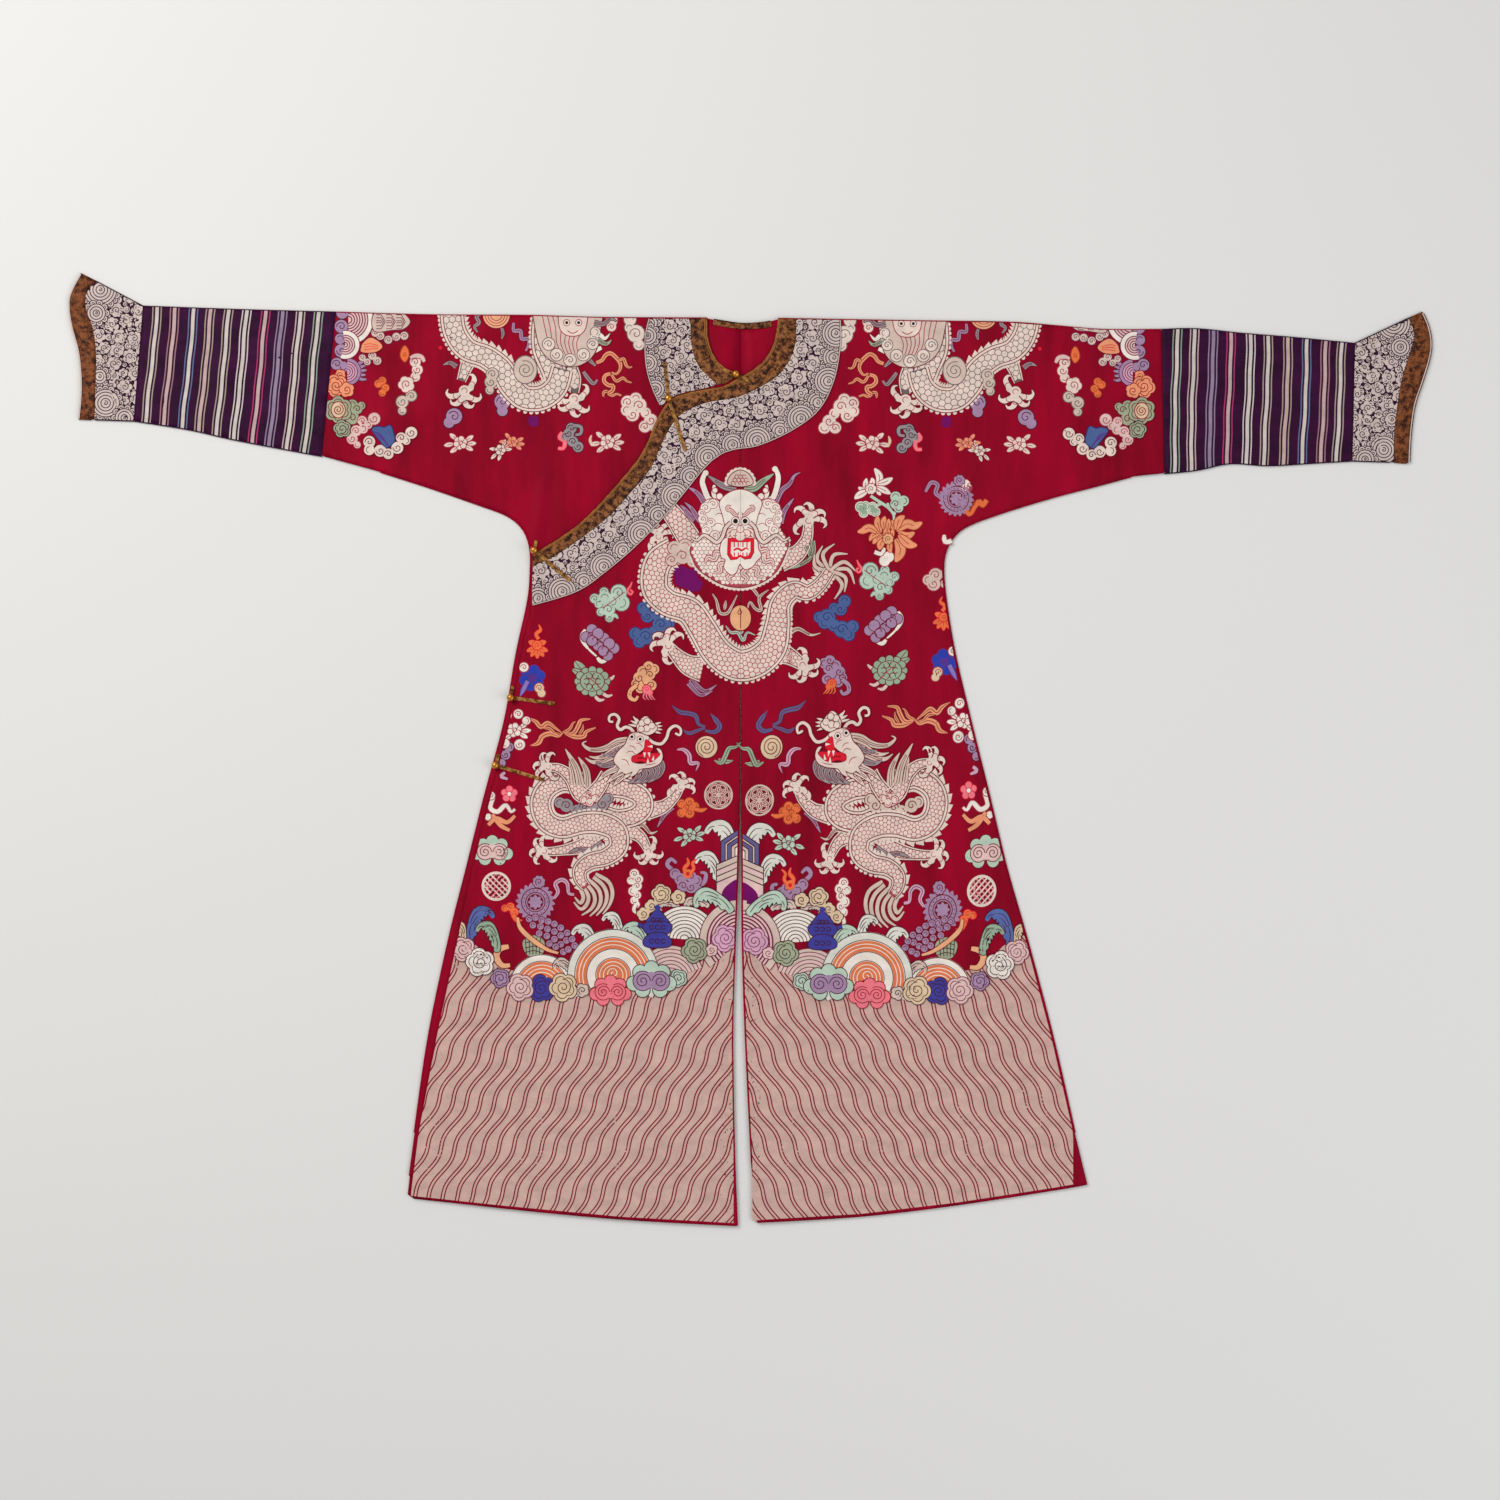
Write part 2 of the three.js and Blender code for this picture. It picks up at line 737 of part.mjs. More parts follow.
function tube(fold, end, underarm) {
  const outline = [...fold, ...end, ...underarm];
  const lower = plate(outline, collarLift, backTop, { lines: NECK_ONLY });
  const upper = plate(outline, innerBottom, innerTop);
  const walls = [fold, underarm].map((path) => edgeWall(path, collarLift, innerTop));
  return joined(lower, upper, ...walls);
}

function shifted(path, dx) {
  return path.map((p) => new THREE.Vector2(p.x + dx, p.y));
}

// A path along x, squared off so that it ends at the two given x values
function crop(rows, fromX, toX) {
  return spline(between(rows, Math.min(fromX, toX), Math.max(fromX, toX)));
}

function rightSleeve() {
  const { top, bottom } = RIGHT_SLEEVE_SEAM;
  const far = RIGHT_CUFF_SEAM;
  const fold = crop(TOP_EDGE, far.top.x + seam, top.x - seam).reverse();
  const underarm = crop(RIGHT_UNDERARM, far.bottom.x + seam, bottom.x - seam);
  return tube(fold, [], underarm);
}

function leftSleeve() {
  const { top, bottom } = LEFT_SLEEVE_SEAM;
  const far = LEFT_CUFF_SEAM;
  const fold = crop(TOP_EDGE, top.x + seam, far.top.x - seam).reverse();
  const underarm = crop(LEFT_UNDERARM, bottom.x + seam, far.bottom.x - seam);
  return tube(fold, [], underarm);
}

addPiece("sleeve_right", rightSleeve(), striped);
addPiece("sleeve_left", leftSleeve(), striped);

function line(from, to, steps = 3) {
  return spline([from, to], steps);
}

function rightCuff() {
  const trim = shifted(spline(RIGHT_TRIM), seam);
  const fold = shifted(line(RIGHT_CUFF_SEAM.top, RIGHT_TRIM[0]), -seam);
  fold[fold.length - 1] = trim[0];
  const underarm = shifted(line(RIGHT_TRIM.at(-1), RIGHT_CUFF_SEAM.bottom), -seam);
  underarm[0] = trim.at(-1);
  return tube(fold, trim.slice(1, -1), underarm);
}

function leftCuff() {
  const trim = shifted(spline(LEFT_TRIM), -seam).reverse();
  const fold = shifted(line(LEFT_TRIM[0], LEFT_CUFF_SEAM.top), seam);
  fold[0] = trim.at(-1);
  const underarm = shifted(line(LEFT_CUFF_SEAM.bottom, LEFT_TRIM.at(-1)), seam);
  underarm[underarm.length - 1] = trim[0];
  return tube(fold, [], [...underarm, ...trim.slice(1, -1)]);
}

addPiece("cuff_right", rightCuff(), striped);
addPiece("cuff_left", leftCuff(), striped);

// The narrow trim round each mouth
function rightTrim() {
  const inner = shifted(spline(RIGHT_TRIM), -seam);
  const outer = spline(RIGHT_MOUTH);
  const fold = line(inner[0], outer[0], 2);
  const underarm = line(outer.at(-1), inner.at(-1), 2);
  return tube(fold, outer.slice(1, -1), [...underarm, ...[...inner].reverse().slice(1, -1)]);
}

function leftTrim() {
  const inner = shifted(spline(LEFT_TRIM), seam);
  const outer = spline(LEFT_MOUTH);
  const fold = line(outer[0], inner[0], 2);
  const underarm = line(inner.at(-1), outer.at(-1), 2);
  return tube(fold, inner.slice(1, -1), [...underarm, ...[...outer].reverse().slice(1, -1)]);
}

addPiece("cuff_trim_right", rightTrim(), binding);
addPiece("cuff_trim_left", leftTrim(), binding);

// Fastenings: a gilt ball on a braid tab, and a braid loop that the ball's shank goes through

function direction(turn) {
  const angle = THREE.MathUtils.degToRad(turn);
  return new THREE.Vector2(Math.cos(angle), Math.sin(angle));
}

function arc(centre, radius, from, to, steps) {
  const points = [];
  for (let i = 0; i <= steps; i += 1) {
    const turn = from + ((to - from) * i) / steps;
    points.push(direction(turn).multiplyScalar(radius).add(centre));
  }
  return points;
}

// A strip with round ends, as wide as given
function strip(from, turn, length, width) {
  const far = direction(turn).multiplyScalar(length).add(from);
  return [
    ...arc(far, width / 2, turn - 90, turn + 90, 6),
    ...arc(from, width / 2, turn + 90, turn + 270, 6),
  ];
}

function loopPiece(centre, turn, length, bottom) {
  const top = raised(bottom, STRAP_THICK);
  const ring = plate(
    arc(centre, LOOP_OUTER, 0, 337.5, 15),
    bottom,
    top,
    { hole: arc(centre, LOOP_HOLE, 0, -330, 11) },
  );
  const start = direction(turn).multiplyScalar(LOOP_OUTER - 0.6).add(centre);
  return ring.add(plate(strip(start, turn, length, STRAP_WIDTH), bottom, top).subtract(
    plate(arc(centre, LOOP_HOLE, 0, 330, 11), raised(bottom, -1), raised(top, 1)),
  ));
}

// A ball with its shank, which ends just over the tab
function button(centre, low, rim) {
  const dip = Math.sqrt(BUTTON_RADIUS ** 2 - SHANK_RADIUS ** 2);
  const middle = rim + 0.3 + dip;
  const profile = [new THREE.Vector2(0, low), new THREE.Vector2(SHANK_RADIUS, low)];
  const start = Math.asin(SHANK_RADIUS / BUTTON_RADIUS);
  const rows = 7;
  for (let i = 0; i < rows; i += 1) {
    const turn = start + ((Math.PI - start) * i) / rows;
    profile.push(
      new THREE.Vector2(BUTTON_RADIUS * Math.sin(turn), middle - BUTTON_RADIUS * Math.cos(turn)),
    );
  }
  profile.push(new THREE.Vector2(0, middle + BUTTON_RADIUS));
  const ball = new THREE.LatheGeometry(profile, 12);
  ball.rotateX(Math.PI / 2);
  ball.translate(centre.x, centre.y, 0);
  return solidOf(ball);
}

const SURFACES = {
  binding: raised(outerTop, SEAM + BINDING + SEAM),
  overlap: raised(outerTop, SEAM),
  trim: raised(innerTop, SEAM + BINDING + SEAM),
  cloth: raised(innerTop, SEAM),
};

for (const fastening of FASTENINGS) {
  const { name, turn, tab } = fastening;
  const edge = new THREE.Vector2(fastening.x, fastening.y);
  const centre = direction(turn + 180).multiplyScalar(LOOP_OFFSET).add(edge);
  const bottom = SURFACES[fastening.on];
  addPiece(`loop_${name}`, loopPiece(centre, turn, fastening.strap, bottom), braid);
  const seat = SURFACES[tab.on];
  const outline = strip(centre, tab.turn, tab.length, TAB_WIDTH);
  addPiece(`tab_${name}`, plate(outline, seat, raised(seat, TAB_THICK)), braid);
  const low = seat(centre.x, centre.y) + TAB_THICK + 0.3;
  const rim = bottom(centre.x, centre.y) + STRAP_THICK;
  addPiece(`button_${name}`, button(centre, low, rim), brass);
}


export default robe;
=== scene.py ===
"""A silk dragon robe laid out flat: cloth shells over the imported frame, with its woven motifs as
thin inlays. Sizes are in millimetres until a mesh is made. Motifs are placed by the photo's pixels.
"""

import math
from contextlib import contextmanager

import bpy
import numpy as np
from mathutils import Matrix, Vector
from mathutils.geometry import delaunay_2d_cdt, tessellate_polygon

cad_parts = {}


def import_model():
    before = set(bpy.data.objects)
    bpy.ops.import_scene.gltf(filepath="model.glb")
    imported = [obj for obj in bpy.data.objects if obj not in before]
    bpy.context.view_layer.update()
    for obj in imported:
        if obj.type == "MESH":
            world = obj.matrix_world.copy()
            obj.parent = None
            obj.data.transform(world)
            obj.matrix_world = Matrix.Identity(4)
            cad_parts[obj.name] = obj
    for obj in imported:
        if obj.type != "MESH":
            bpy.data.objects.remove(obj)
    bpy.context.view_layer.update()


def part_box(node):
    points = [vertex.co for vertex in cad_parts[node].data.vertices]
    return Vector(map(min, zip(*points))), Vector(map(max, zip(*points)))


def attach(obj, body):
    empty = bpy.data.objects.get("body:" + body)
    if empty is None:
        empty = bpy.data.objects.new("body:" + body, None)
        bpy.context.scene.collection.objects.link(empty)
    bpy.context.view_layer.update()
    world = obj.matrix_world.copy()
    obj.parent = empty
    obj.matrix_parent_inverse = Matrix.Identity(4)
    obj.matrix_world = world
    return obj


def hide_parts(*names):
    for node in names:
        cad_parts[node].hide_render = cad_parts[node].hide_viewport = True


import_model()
rng = np.random.default_rng(7)

# The photo in pixels: its width, its middle and the column that the pattern mirrors about
PHOTO_WIDTH = 1500
PHOTO_CENTRE = (749.5, 749.0)
MIDDLE_PX = 739.5

# What one pixel measures on the robe
PHOTO_MM = 1.5

# The camera's height, half the floor and the floor's drop, in metres, and the sensor in millimetres
CAMERA_HEIGHT = 6.0
FLOOR_HALF = 12.0
FLOOR_DROP = 0.0008
SENSOR = 36

# Walls and gaps, as in the solids
CLOTH = 1.2
FACING = 1.0
BINDING = 1.3
LAYER_GAP = 0.4
SEAM = 0.3

# Inlays: their height over the cloth, each level's over the one below, and the small offset by
# which triangles on one level differ
INLAY_RISE = 0.2
INLAY_STEP = 0.026
INLAY_SPREAD = 0.018

# Distance between the mesh points of shown cloth, of hidden cloth and of a tube's lower layer
CELL = 6.0
HIDDEN_CELL = 20
TUBE_CELL = 24

# Longest edge of an inlay's triangle before and after it is cut to its panel
COARSE_EDGE = 24.0
LONGEST_EDGE = 7.0

# How far inside an edge of its panel the pattern ends, and where its chest part meets its skirt part
HEM_MARGIN = 4.5
SIDE_MARGIN = 2.5
OVERLAP_MARGIN = 1.4
SLEEVE_MARGIN = 0.6
TOP_MARGIN = 0.3
CENTRE_MARGIN = 0.2
INNER_MARGIN = 40
COLLAR_MARGIN = 12
WAIST_Y = 66.0

# Where the side below the left arm ends, going up
ARM_Y = 300

# Width of the drawn lines
LINE = 1.3

# The front centre seam, and the top of the vent that continues it
CENTRE_X = -14
VENT_TOP_Y = -60

# Upper edge of the laid robe
TOP_EDGE = [
    (-910, 665), (-770, 660), (-621, 656), (-480, 652), (-330, 651), (-230, 648), (-60, 647),
    (70, 646), (240, 643), (385, 641), (455, 636), (530, 630), (617, 630), (670, 631), (740, 624),
    (815, 618), (907, 609),
]
# Lower edge of each arm, from the cuff in on the right and on the left
RIGHT_UNDERARM = [
    (-924, 494), (-842, 481), (-770, 465), (-642, 441), (-554, 417), (-482, 394), (-410, 369),
    (-365, 352), (-341, 332), (-330, 304),
]
LEFT_UNDERARM = [
    (903, 434), (850, 431), (778, 427), (720, 430), (670, 420), (621, 415), (571, 410),
    (523, 397), (454, 379), (382, 357), (328, 337), (305, 319), (293, 296),
]
# Down the skirt: y, the back's right side, its left side, the overlap's free side
SKIRT = [
    (268, -329, 290, -325), (223, -333, 294, -327), (145, -350, 307, -343), (43, -368, 331, -361),
    (-70, -398, 359, -390), (-178, -425, 385, -417), (-286, -452, 416, -440),
    (-430, -482, 454, -471), (-574, -503, 487, -498),
]
# Down the vent: y, the right and the left edge
VENT = [
    (VENT_TOP_Y, -14.6, -13.4), (-181, -17, -13.2), (-286, -21, -12.6), (-430, -25, -8),
    (-616, -22, 1),
]
# The hem on each side, from the side in to the vent
RIGHT_HEM = [(-514, -672), (-374, -687), (-194, -704), (-18, -714)]
LEFT_HEM = [(506, -652), (454, -661), (310, -683), (166, -700), (11, -709)]
# The hidden inner flap: its edge by the vent, its hem and its inset from the side
INNER_FLAP = {"centre": -40, "hem": -640, "side": 9}
# Collar and binding: the collar's outer edge, its seam with the binding, the binding's free edge
COLLAR_LEFT_OUTER = [
    (136, 644.5), (136, 606), (126, 553), (103, 509), (62, 478), (13, 456), (-23, 450),
    (-46, 441), (-70, 420), (-119, 360), (-167, 309), (-216, 267), (-260, 237), (-327, 216),
]
COLLAR_LEFT_SEAM = [
    (69, 645.5), (67, 606), (53, 575), (32, 554), (-16, 530), (-64, 521), (-98, 507),
    (-117, 488), (-133, 458), (-150, 421), (-182, 383), (-218, 345), (-286, 295), (-326, 276),
]
COLLAR_LEFT_INNER = [
    (42, 646), (36, 612), (22, 585), (0, 567), (-19, 557), (-38, 546), (-64, 541), (-94, 535),
    (-116, 527), (-131, 511), (-143, 488), (-156, 457), (-172, 431), (-203, 394), (-241, 353),
    (-275, 325), (-326, 293),
]
COLLAR_RIGHT_OUTER = [(-152, 646.5), (-158, 616), (-156, 575), (-148, 545), (-137.5, 521)]
COLLAR_RIGHT_SEAM = [(-89, 646.5), (-87, 606), (-76, 575), (-49, 548)]
COLLAR_RIGHT_INNER = [(-64, 647), (-62, 616), (-52, 588), (-36, 572), (-21.5, 563.5)]
COLLAR_RIGHT_END = [
    (-134, 514.5), (-124, 523.5), (-117, 529), (-106, 533.5), (-94.4, 536.8), (-64.4, 542.8),
]
BINDING_RIGHT_END = [(-39, 548.6), (-30, 553.4), (-21, 559.6)]
BACK_NECK = [(-64, 647), (-41, 643), (-11, 639), (22, 641), (42, 646)]
# Each cuff's mouth, and its seam with the trim round it
RIGHT_MOUTH = [
    (-1004, 714), (-1018, 688), (-1022, 667), (-1018, 636), (-1008, 598), (-1004, 561),
    (-1004, 531), (-1007, 497),
]
RIGHT_TRIM = [
    (-982, 703), (-996, 682), (-995, 659), (-986, 634), (-981, 600), (-981, 561), (-983, 496),
]
LEFT_MOUTH = [
    (1009, 656), (1018, 634), (1022, 610), (1019, 586), (1009, 553), (997, 516), (991, 471),
    (989, 430),
]
LEFT_TRIM = [
    (988, 647), (996, 622), (988, 591), (977, 555), (970, 511), (966, 472), (965, 432),
]
# Ends of the seams between upper sleeve, lower sleeve and cuff
RIGHT_SLEEVE_TOP, RIGHT_SLEEVE_FOOT = (-621, 656), (-642, 441)
LEFT_SLEEVE_TOP, LEFT_SLEEVE_FOOT = (617, 630), (621, 415)
RIGHT_CUFF_TOP, RIGHT_CUFF_FOOT = (-910, 665), (-924, 494)
LEFT_CUFF_TOP, LEFT_CUFF_FOOT = (907, 609), (903, 434)

# The back collar's middle, its half width and depth, and the distances from it between which its
# lift of the back fades out
NECK = (-12, 648)
BACK_COLLAR = (147, 96)
LIFT_MARGIN = (52, 120)

# The step from over the inner flap down to the back begins and ends this far from the seam
FRONT_STEP = (54, 129)

# Folds in the upper cloth: middle x and y, direction, length, width and height
FOLDS = [
    (-316, 350, 82, 120, 15, 4.2), (-278, 372, 98, 110, 30, 2.0), (318, 385, 60, 130, 34, 3.6),
    (-520, 500, 12, 180, 42, 2.6), (-350, 560, 4, 190, 46, 1.8), (470, 480, 172, 190, 42, 2.8),
    (300, 570, 178, 160, 46, 1.6), (-790, 575, 96, 110, 36, 3.0), (-700, 530, 84, 100, 34, 2.2),
    (700, 540, 95, 120, 36, 3.0), (810, 520, 80, 110, 36, 2.6), (-955, 590, 100, 90, 36, 2.0),
    (945, 530, 84, 90, 36, 2.0), (-405, -330, 76, 330, 44, 4.0), (-270, -430, 84, 380, 50, 3.0),
    (-120, -380, 90, 420, 48, 2.6), (90, -420, 92, 400, 50, 3.2), (245, -380, 98, 400, 50, 2.6),
    (370, -300, 104, 330, 44, 3.8), (-180, 60, 96, 260, 54, 2.2), (150, 90, 82, 260, 54, 2.4),
]

# Small creases and puckers, in the same columns
CREASES = [
    (-316, 372, 84, 90, 7, 1.4), (-300, 380, 95, 70, 8, -0.9), (-262, 400, 100, 120, 14, 1.1),
    (-225, 420, 97, 110, 16, 0.9), (-190, 440, 94, 100, 14, -0.7), (330, 400, 62, 90, 8, 1.2),
    (345, 395, 66, 80, 10, -0.8), (-885, 640, 40, 60, 9, 1.0), (-860, 560, 100, 90, 8, 0.9),
    (-840, 600, 160, 60, 9, -0.7), (-800, 520, 70, 70, 9, 1.0), (-765, 610, 100, 60, 8, 0.8),
    (-735, 500, 95, 80, 10, 0.9), (-700, 590, 20, 70, 9, -0.8), (-665, 540, 100, 90, 10, 0.9),
    (-880, 520, 88, 60, 9, -0.8), (-655, 620, 84, 60, 9, 0.8), (660, 590, 98, 70, 10, 0.9),
    (690, 480, 86, 80, 9, 0.9), (725, 560, 15, 70, 9, -0.7), (760, 600, 100, 60, 9, 0.8),
    (775, 470, 78, 70, 9, 0.9), (820, 560, 96, 80, 9, 1.0), (860, 500, 170, 70, 9, -0.8),
    (880, 580, 84, 60, 8, 0.9), (-940, 640, 60, 60, 10, 0.9), (-950, 540, 110, 70, 10, 0.8),
    (935, 590, 110, 60, 10, 0.9), (945, 480, 75, 60, 10, 0.8), (-430, 620, 8, 160, 20, 0.9),
    (-560, 600, 176, 120, 18, 0.8), (440, 600, 4, 160, 20, 0.9), (560, 560, 170, 120, 18, 0.8),
    (-470, -560, 80, 160, 20, 1.4), (-330, -600, 86, 160, 22, 1.3), (-200, -600, 92, 150, 20, 1.2),
    (60, -600, 88, 160, 22, 1.3), (180, -590, 94, 150, 22, 1.2), (330, -560, 99, 160, 20, 1.3),
    (430, -540, 103, 140, 20, 1.3), (-60, 160, 90, 220, 18, 0.8), (60, 120, 92, 240, 20, 0.8),
    (-300, 40, 78, 200, 20, 0.9), (260, 60, 100, 200, 20, 0.9), (-380, -200, 74, 200, 18, 1.0),
    (330, -180, 104, 200, 18, 1.0),
]


# Curves and heights


def spot(px, py):
    """A pixel of the photo as a place on the robe."""
    return np.array([(px - PHOTO_CENTRE[0]) * PHOTO_MM, (PHOTO_CENTRE[1] - py) * PHOTO_MM])


def spots(pixels):
    return np.array([spot(*p) for p in pixels])


def spline(rows, steps=8):
    """A smooth curve through rows of x, y."""
    p = np.asarray(rows, float)
    out = []
    for i in range(len(p) - 1):
        a, b, c, d = p[max(i - 1, 0)], p[i], p[i + 1], p[min(i + 2, len(p) - 1)]
        t = np.arange(steps)[:, None] / steps
        u, v = (c - a) * 0.5, (d - b) * 0.5
        out.append((2 * b - 2 * c + u + v) * t**3 + (-3 * b + 3 * c - 2 * u - v) * t**2 + u * t + b)
    return np.vstack([*out, p[-1:]])


def heading(degrees):
    """A unit vector at an angle from +X."""
    turn = math.radians(degrees)
    return np.array([math.cos(turn), math.sin(turn)])


def evenly(path, step):
    """The same path with points about a step apart."""
    path = np.asarray(path, float)
    run = np.r_[0, np.cumsum(np.hypot(*np.diff(path, axis=0).T))]
    n = max(2, int(round(run[-1] / step)) + 1)
    at = np.linspace(0, run[-1], n)
    return np.c_[np.interp(at, run, path[:, 0]), np.interp(at, run, path[:, 1])]


def sideways(path):
    """A unit vector to the left at each point of a path."""
    along = np.gradient(path, axis=0)
    along /= np.maximum(np.hypot(*along.T), 1e-9)[:, None]
    return np.c_[-along[:, 1], along[:, 0]]


def rows_at(rows, at, value):
    """A table's value where its first column is at, straight between rows."""
    t = np.array(sorted((r[0], r[value]) for r in rows))
    return np.interp(at, t[:, 0], t[:, 1])


def smooth(low, high, v):
    t = np.clip((v - low) / (high - low), 0, 1)
    return t * t * (3 - 2 * t)


def lift(x, y):
    """How high the back lies, which the back collar lifts."""
    out = (np.hypot((x - NECK[0]) / BACK_COLLAR[0], (NECK[1] - y) / BACK_COLLAR[1]) - 1)
    return (FACING + LAYER_GAP) * (1 - smooth(*LIFT_MARGIN, out * BACK_COLLAR[1]))


def fold_height(x, y):
    height = 0
    for fx, fy, turn, length, width, high in FOLDS + CREASES:
        c, s = heading(turn)
        dx, dy = x - fx, y - fy
        along = (dx * c + dy * s) / (length / 2)
        across = (dy * c - dx * s) / (width / 2)
        height = height + high * np.exp(-(along**2) - across**2)
    return height


def back_top(x, y):
    return lift(x, y) + CLOTH


def inner_bottom(x, y):
    return back_top(x, y) + LAYER_GAP + fold_height(x, y)


def inner_top(x, y):
    return inner_bottom(x, y) + CLOTH


def outer_bottom(x, y):
    step = smooth(CENTRE_X + FRONT_STEP[0], CENTRE_X + FRONT_STEP[1], x)
    return inner_bottom(x, y) + (CLOTH + LAYER_GAP) * (1 - step)


def outer_top(x, y):
    return outer_bottom(x, y) + CLOTH


def beside(place, by):
    """A place moved along X."""
    return place[0] + by, place[1]


def over(surface, by):
    return lambda x, y: surface(x, y) + by


def level(height):
    return lambda x, y: np.full_like(np.asarray(x, float), height)


# Meshes


def inside(points, outline):
    """Which points lie inside an outline."""
    x, y = points[:, :1], points[:, 1:]
    a, b = outline, np.roll(outline, -1, axis=0)
    hit = (a[:, 1] > y) != (b[:, 1] > y)
    rise = np.where(b[:, 1] == a[:, 1], 1e-9, b[:, 1] - a[:, 1])
    cross = a[:, 0] + (y - a[:, 1]) * (b[:, 0] - a[:, 0]) / rise
    return (hit & (x < cross)).sum(axis=1) % 2 == 1


def flat_mesh(outline, cell):
    """Triangles that fill an outline, with points about a cell apart: (points, triangles)."""
    rim = evenly(np.vstack([outline, outline[:1]]), cell * 0.8)[:-1]
    lo, hi = rim.min(axis=0), rim.max(axis=0)
    gx, gy = np.meshgrid(np.arange(lo[0], hi[0], cell), np.arange(lo[1], hi[1], cell))
    grid = np.c_[gx.ravel(), gy.ravel()]
    grid = np.vstack([part[inside(part, rim)] for part in np.array_split(grid, 40) if len(part)])
    near = np.vstack([rim + d for d in ((0, 0), (0.1, 0))])
    keep = np.ones(len(grid), bool)
    for part in np.array_split(np.arange(len(grid)), 40):
        if len(part):
            d = np.abs(grid[part, None] - near[None]).max(axis=2).min(axis=1)
            keep[part] = d > cell * 0.45
    points = np.vstack([rim, grid[keep]])
    edges = [(i, (i + 1) % len(rim)) for i in range(len(rim))]
    verts, _, faces, *_ = delaunay_2d_cdt([Vector(p) for p in points], edges, [], 1, 1e-5)
    return np.array([(v.x, v.y) for v in verts]), np.array(faces)


class Build:
    """Collects triangles, with a material for each, into one object."""

    def __init__(self, name):
        self.name, self.points, self.faces, self.looks = name, [], [], []
        self.count = 0

    def add(self, points, faces, look=0):
        faces = np.asarray(faces)
        self.points.append(np.asarray(points, float))
        self.faces.append(faces + self.count)
        self.looks.append(np.full(len(faces), look))
        self.count += len(points)

    def slab(self, outline, bottom, top, cell, look=0):
        """Cloth between two heights, with walls round its rim."""
        p, t = flat_mesh(outline, cell)
        n = len(p)
        self.add(np.c_[p, top(p[:, 0], p[:, 1])], t, look)
        self.add(np.c_[p, bottom(p[:, 0], p[:, 1])], t[:, ::-1], look)
        edges = np.vstack([t[:, [0, 1]], t[:, [1, 2]], t[:, [2, 0]]])
        seen = {tuple(e) for e in edges.tolist()}
        rim = np.array([e for e in edges.tolist() if (e[1], e[0]) not in seen])
        start = self.count - 2 * n
        a, b = rim[:, 0] + start, rim[:, 1] + start
        wall = np.vstack([np.c_[a, a + n, b], np.c_[b, a + n, b + n]])
        self.faces.append(wall)
        self.looks.append(np.full(len(wall), look))

    def roll(self, path, bottom, top, out=1.6, look=0):
        """A rounded edge that joins two layers along a path with the cloth on its left."""
        path = evenly(path, 9)
        away = -sideways(path)
        low, high = bottom(path[:, 0], path[:, 1]), top(path[:, 0], path[:, 1])
        rows = 9
        points = []
        for i in range(rows):
            turn = math.pi * (0.5 - i / (rows - 1))
            side = path + away * out * math.cos(turn)
            z = (low + high) / 2 + (high - low) / 2 * math.sin(turn)
            points.append(np.c_[side, z])
        n = len(path)
        i, j = np.meshgrid(np.arange(n - 1), np.arange(rows))
        a, below = (j * n + i).ravel(), ((j + 1) % rows * n + i).ravel()
        quads = np.vstack([np.c_[a, below, a + 1], np.c_[a + 1, below, below + 1]])
        self.add(np.vstack(points), quads, look)

    def finish(self, materials, nodes=(), smooth_faces=True):
        mesh = bpy.data.meshes.new(self.name)
        points = np.vstack(self.points) * 0.001
        faces = np.vstack(self.faces)
        mesh.vertices.add(len(points))
        mesh.vertices.foreach_set("co", points.ravel())
        mesh.loops.add(faces.size)
        mesh.loops.foreach_set("vertex_index", faces.ravel().astype(np.int32))
        mesh.polygons.add(len(faces))
        mesh.polygons.foreach_set("loop_start", np.arange(0, faces.size, 3, dtype=np.int32))
        mesh.polygons.foreach_set("material_index", np.concatenate(self.looks).astype(np.int32))
        mesh.polygons.foreach_set("use_smooth", np.full(len(faces), smooth_faces))
        mesh.update(calc_edges=True)
        mesh.validate()
        for material in materials:
            mesh.materials.append(material)
        obj = bpy.data.objects.new(self.name, mesh)
        bpy.context.scene.collection.objects.link(obj)
        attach(obj, "root")
        if nodes:
            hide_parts(*nodes)
        return obj


# Materials


def linear(colour):
    c = np.array(colour[:3], float) / 255
    return tuple(np.where(c <= 0.04045, c / 12.92, ((c + 0.055) / 1.055) ** 2.4)) + (1.0,)


def node(tree, kind, inputs=None, **settings):
    n = tree.nodes.new(kind)
    for key, value in settings.items():
        setattr(n, key, value)
    for key, value in (inputs or {}).items():
        n.inputs[key].default_value = value
    return n


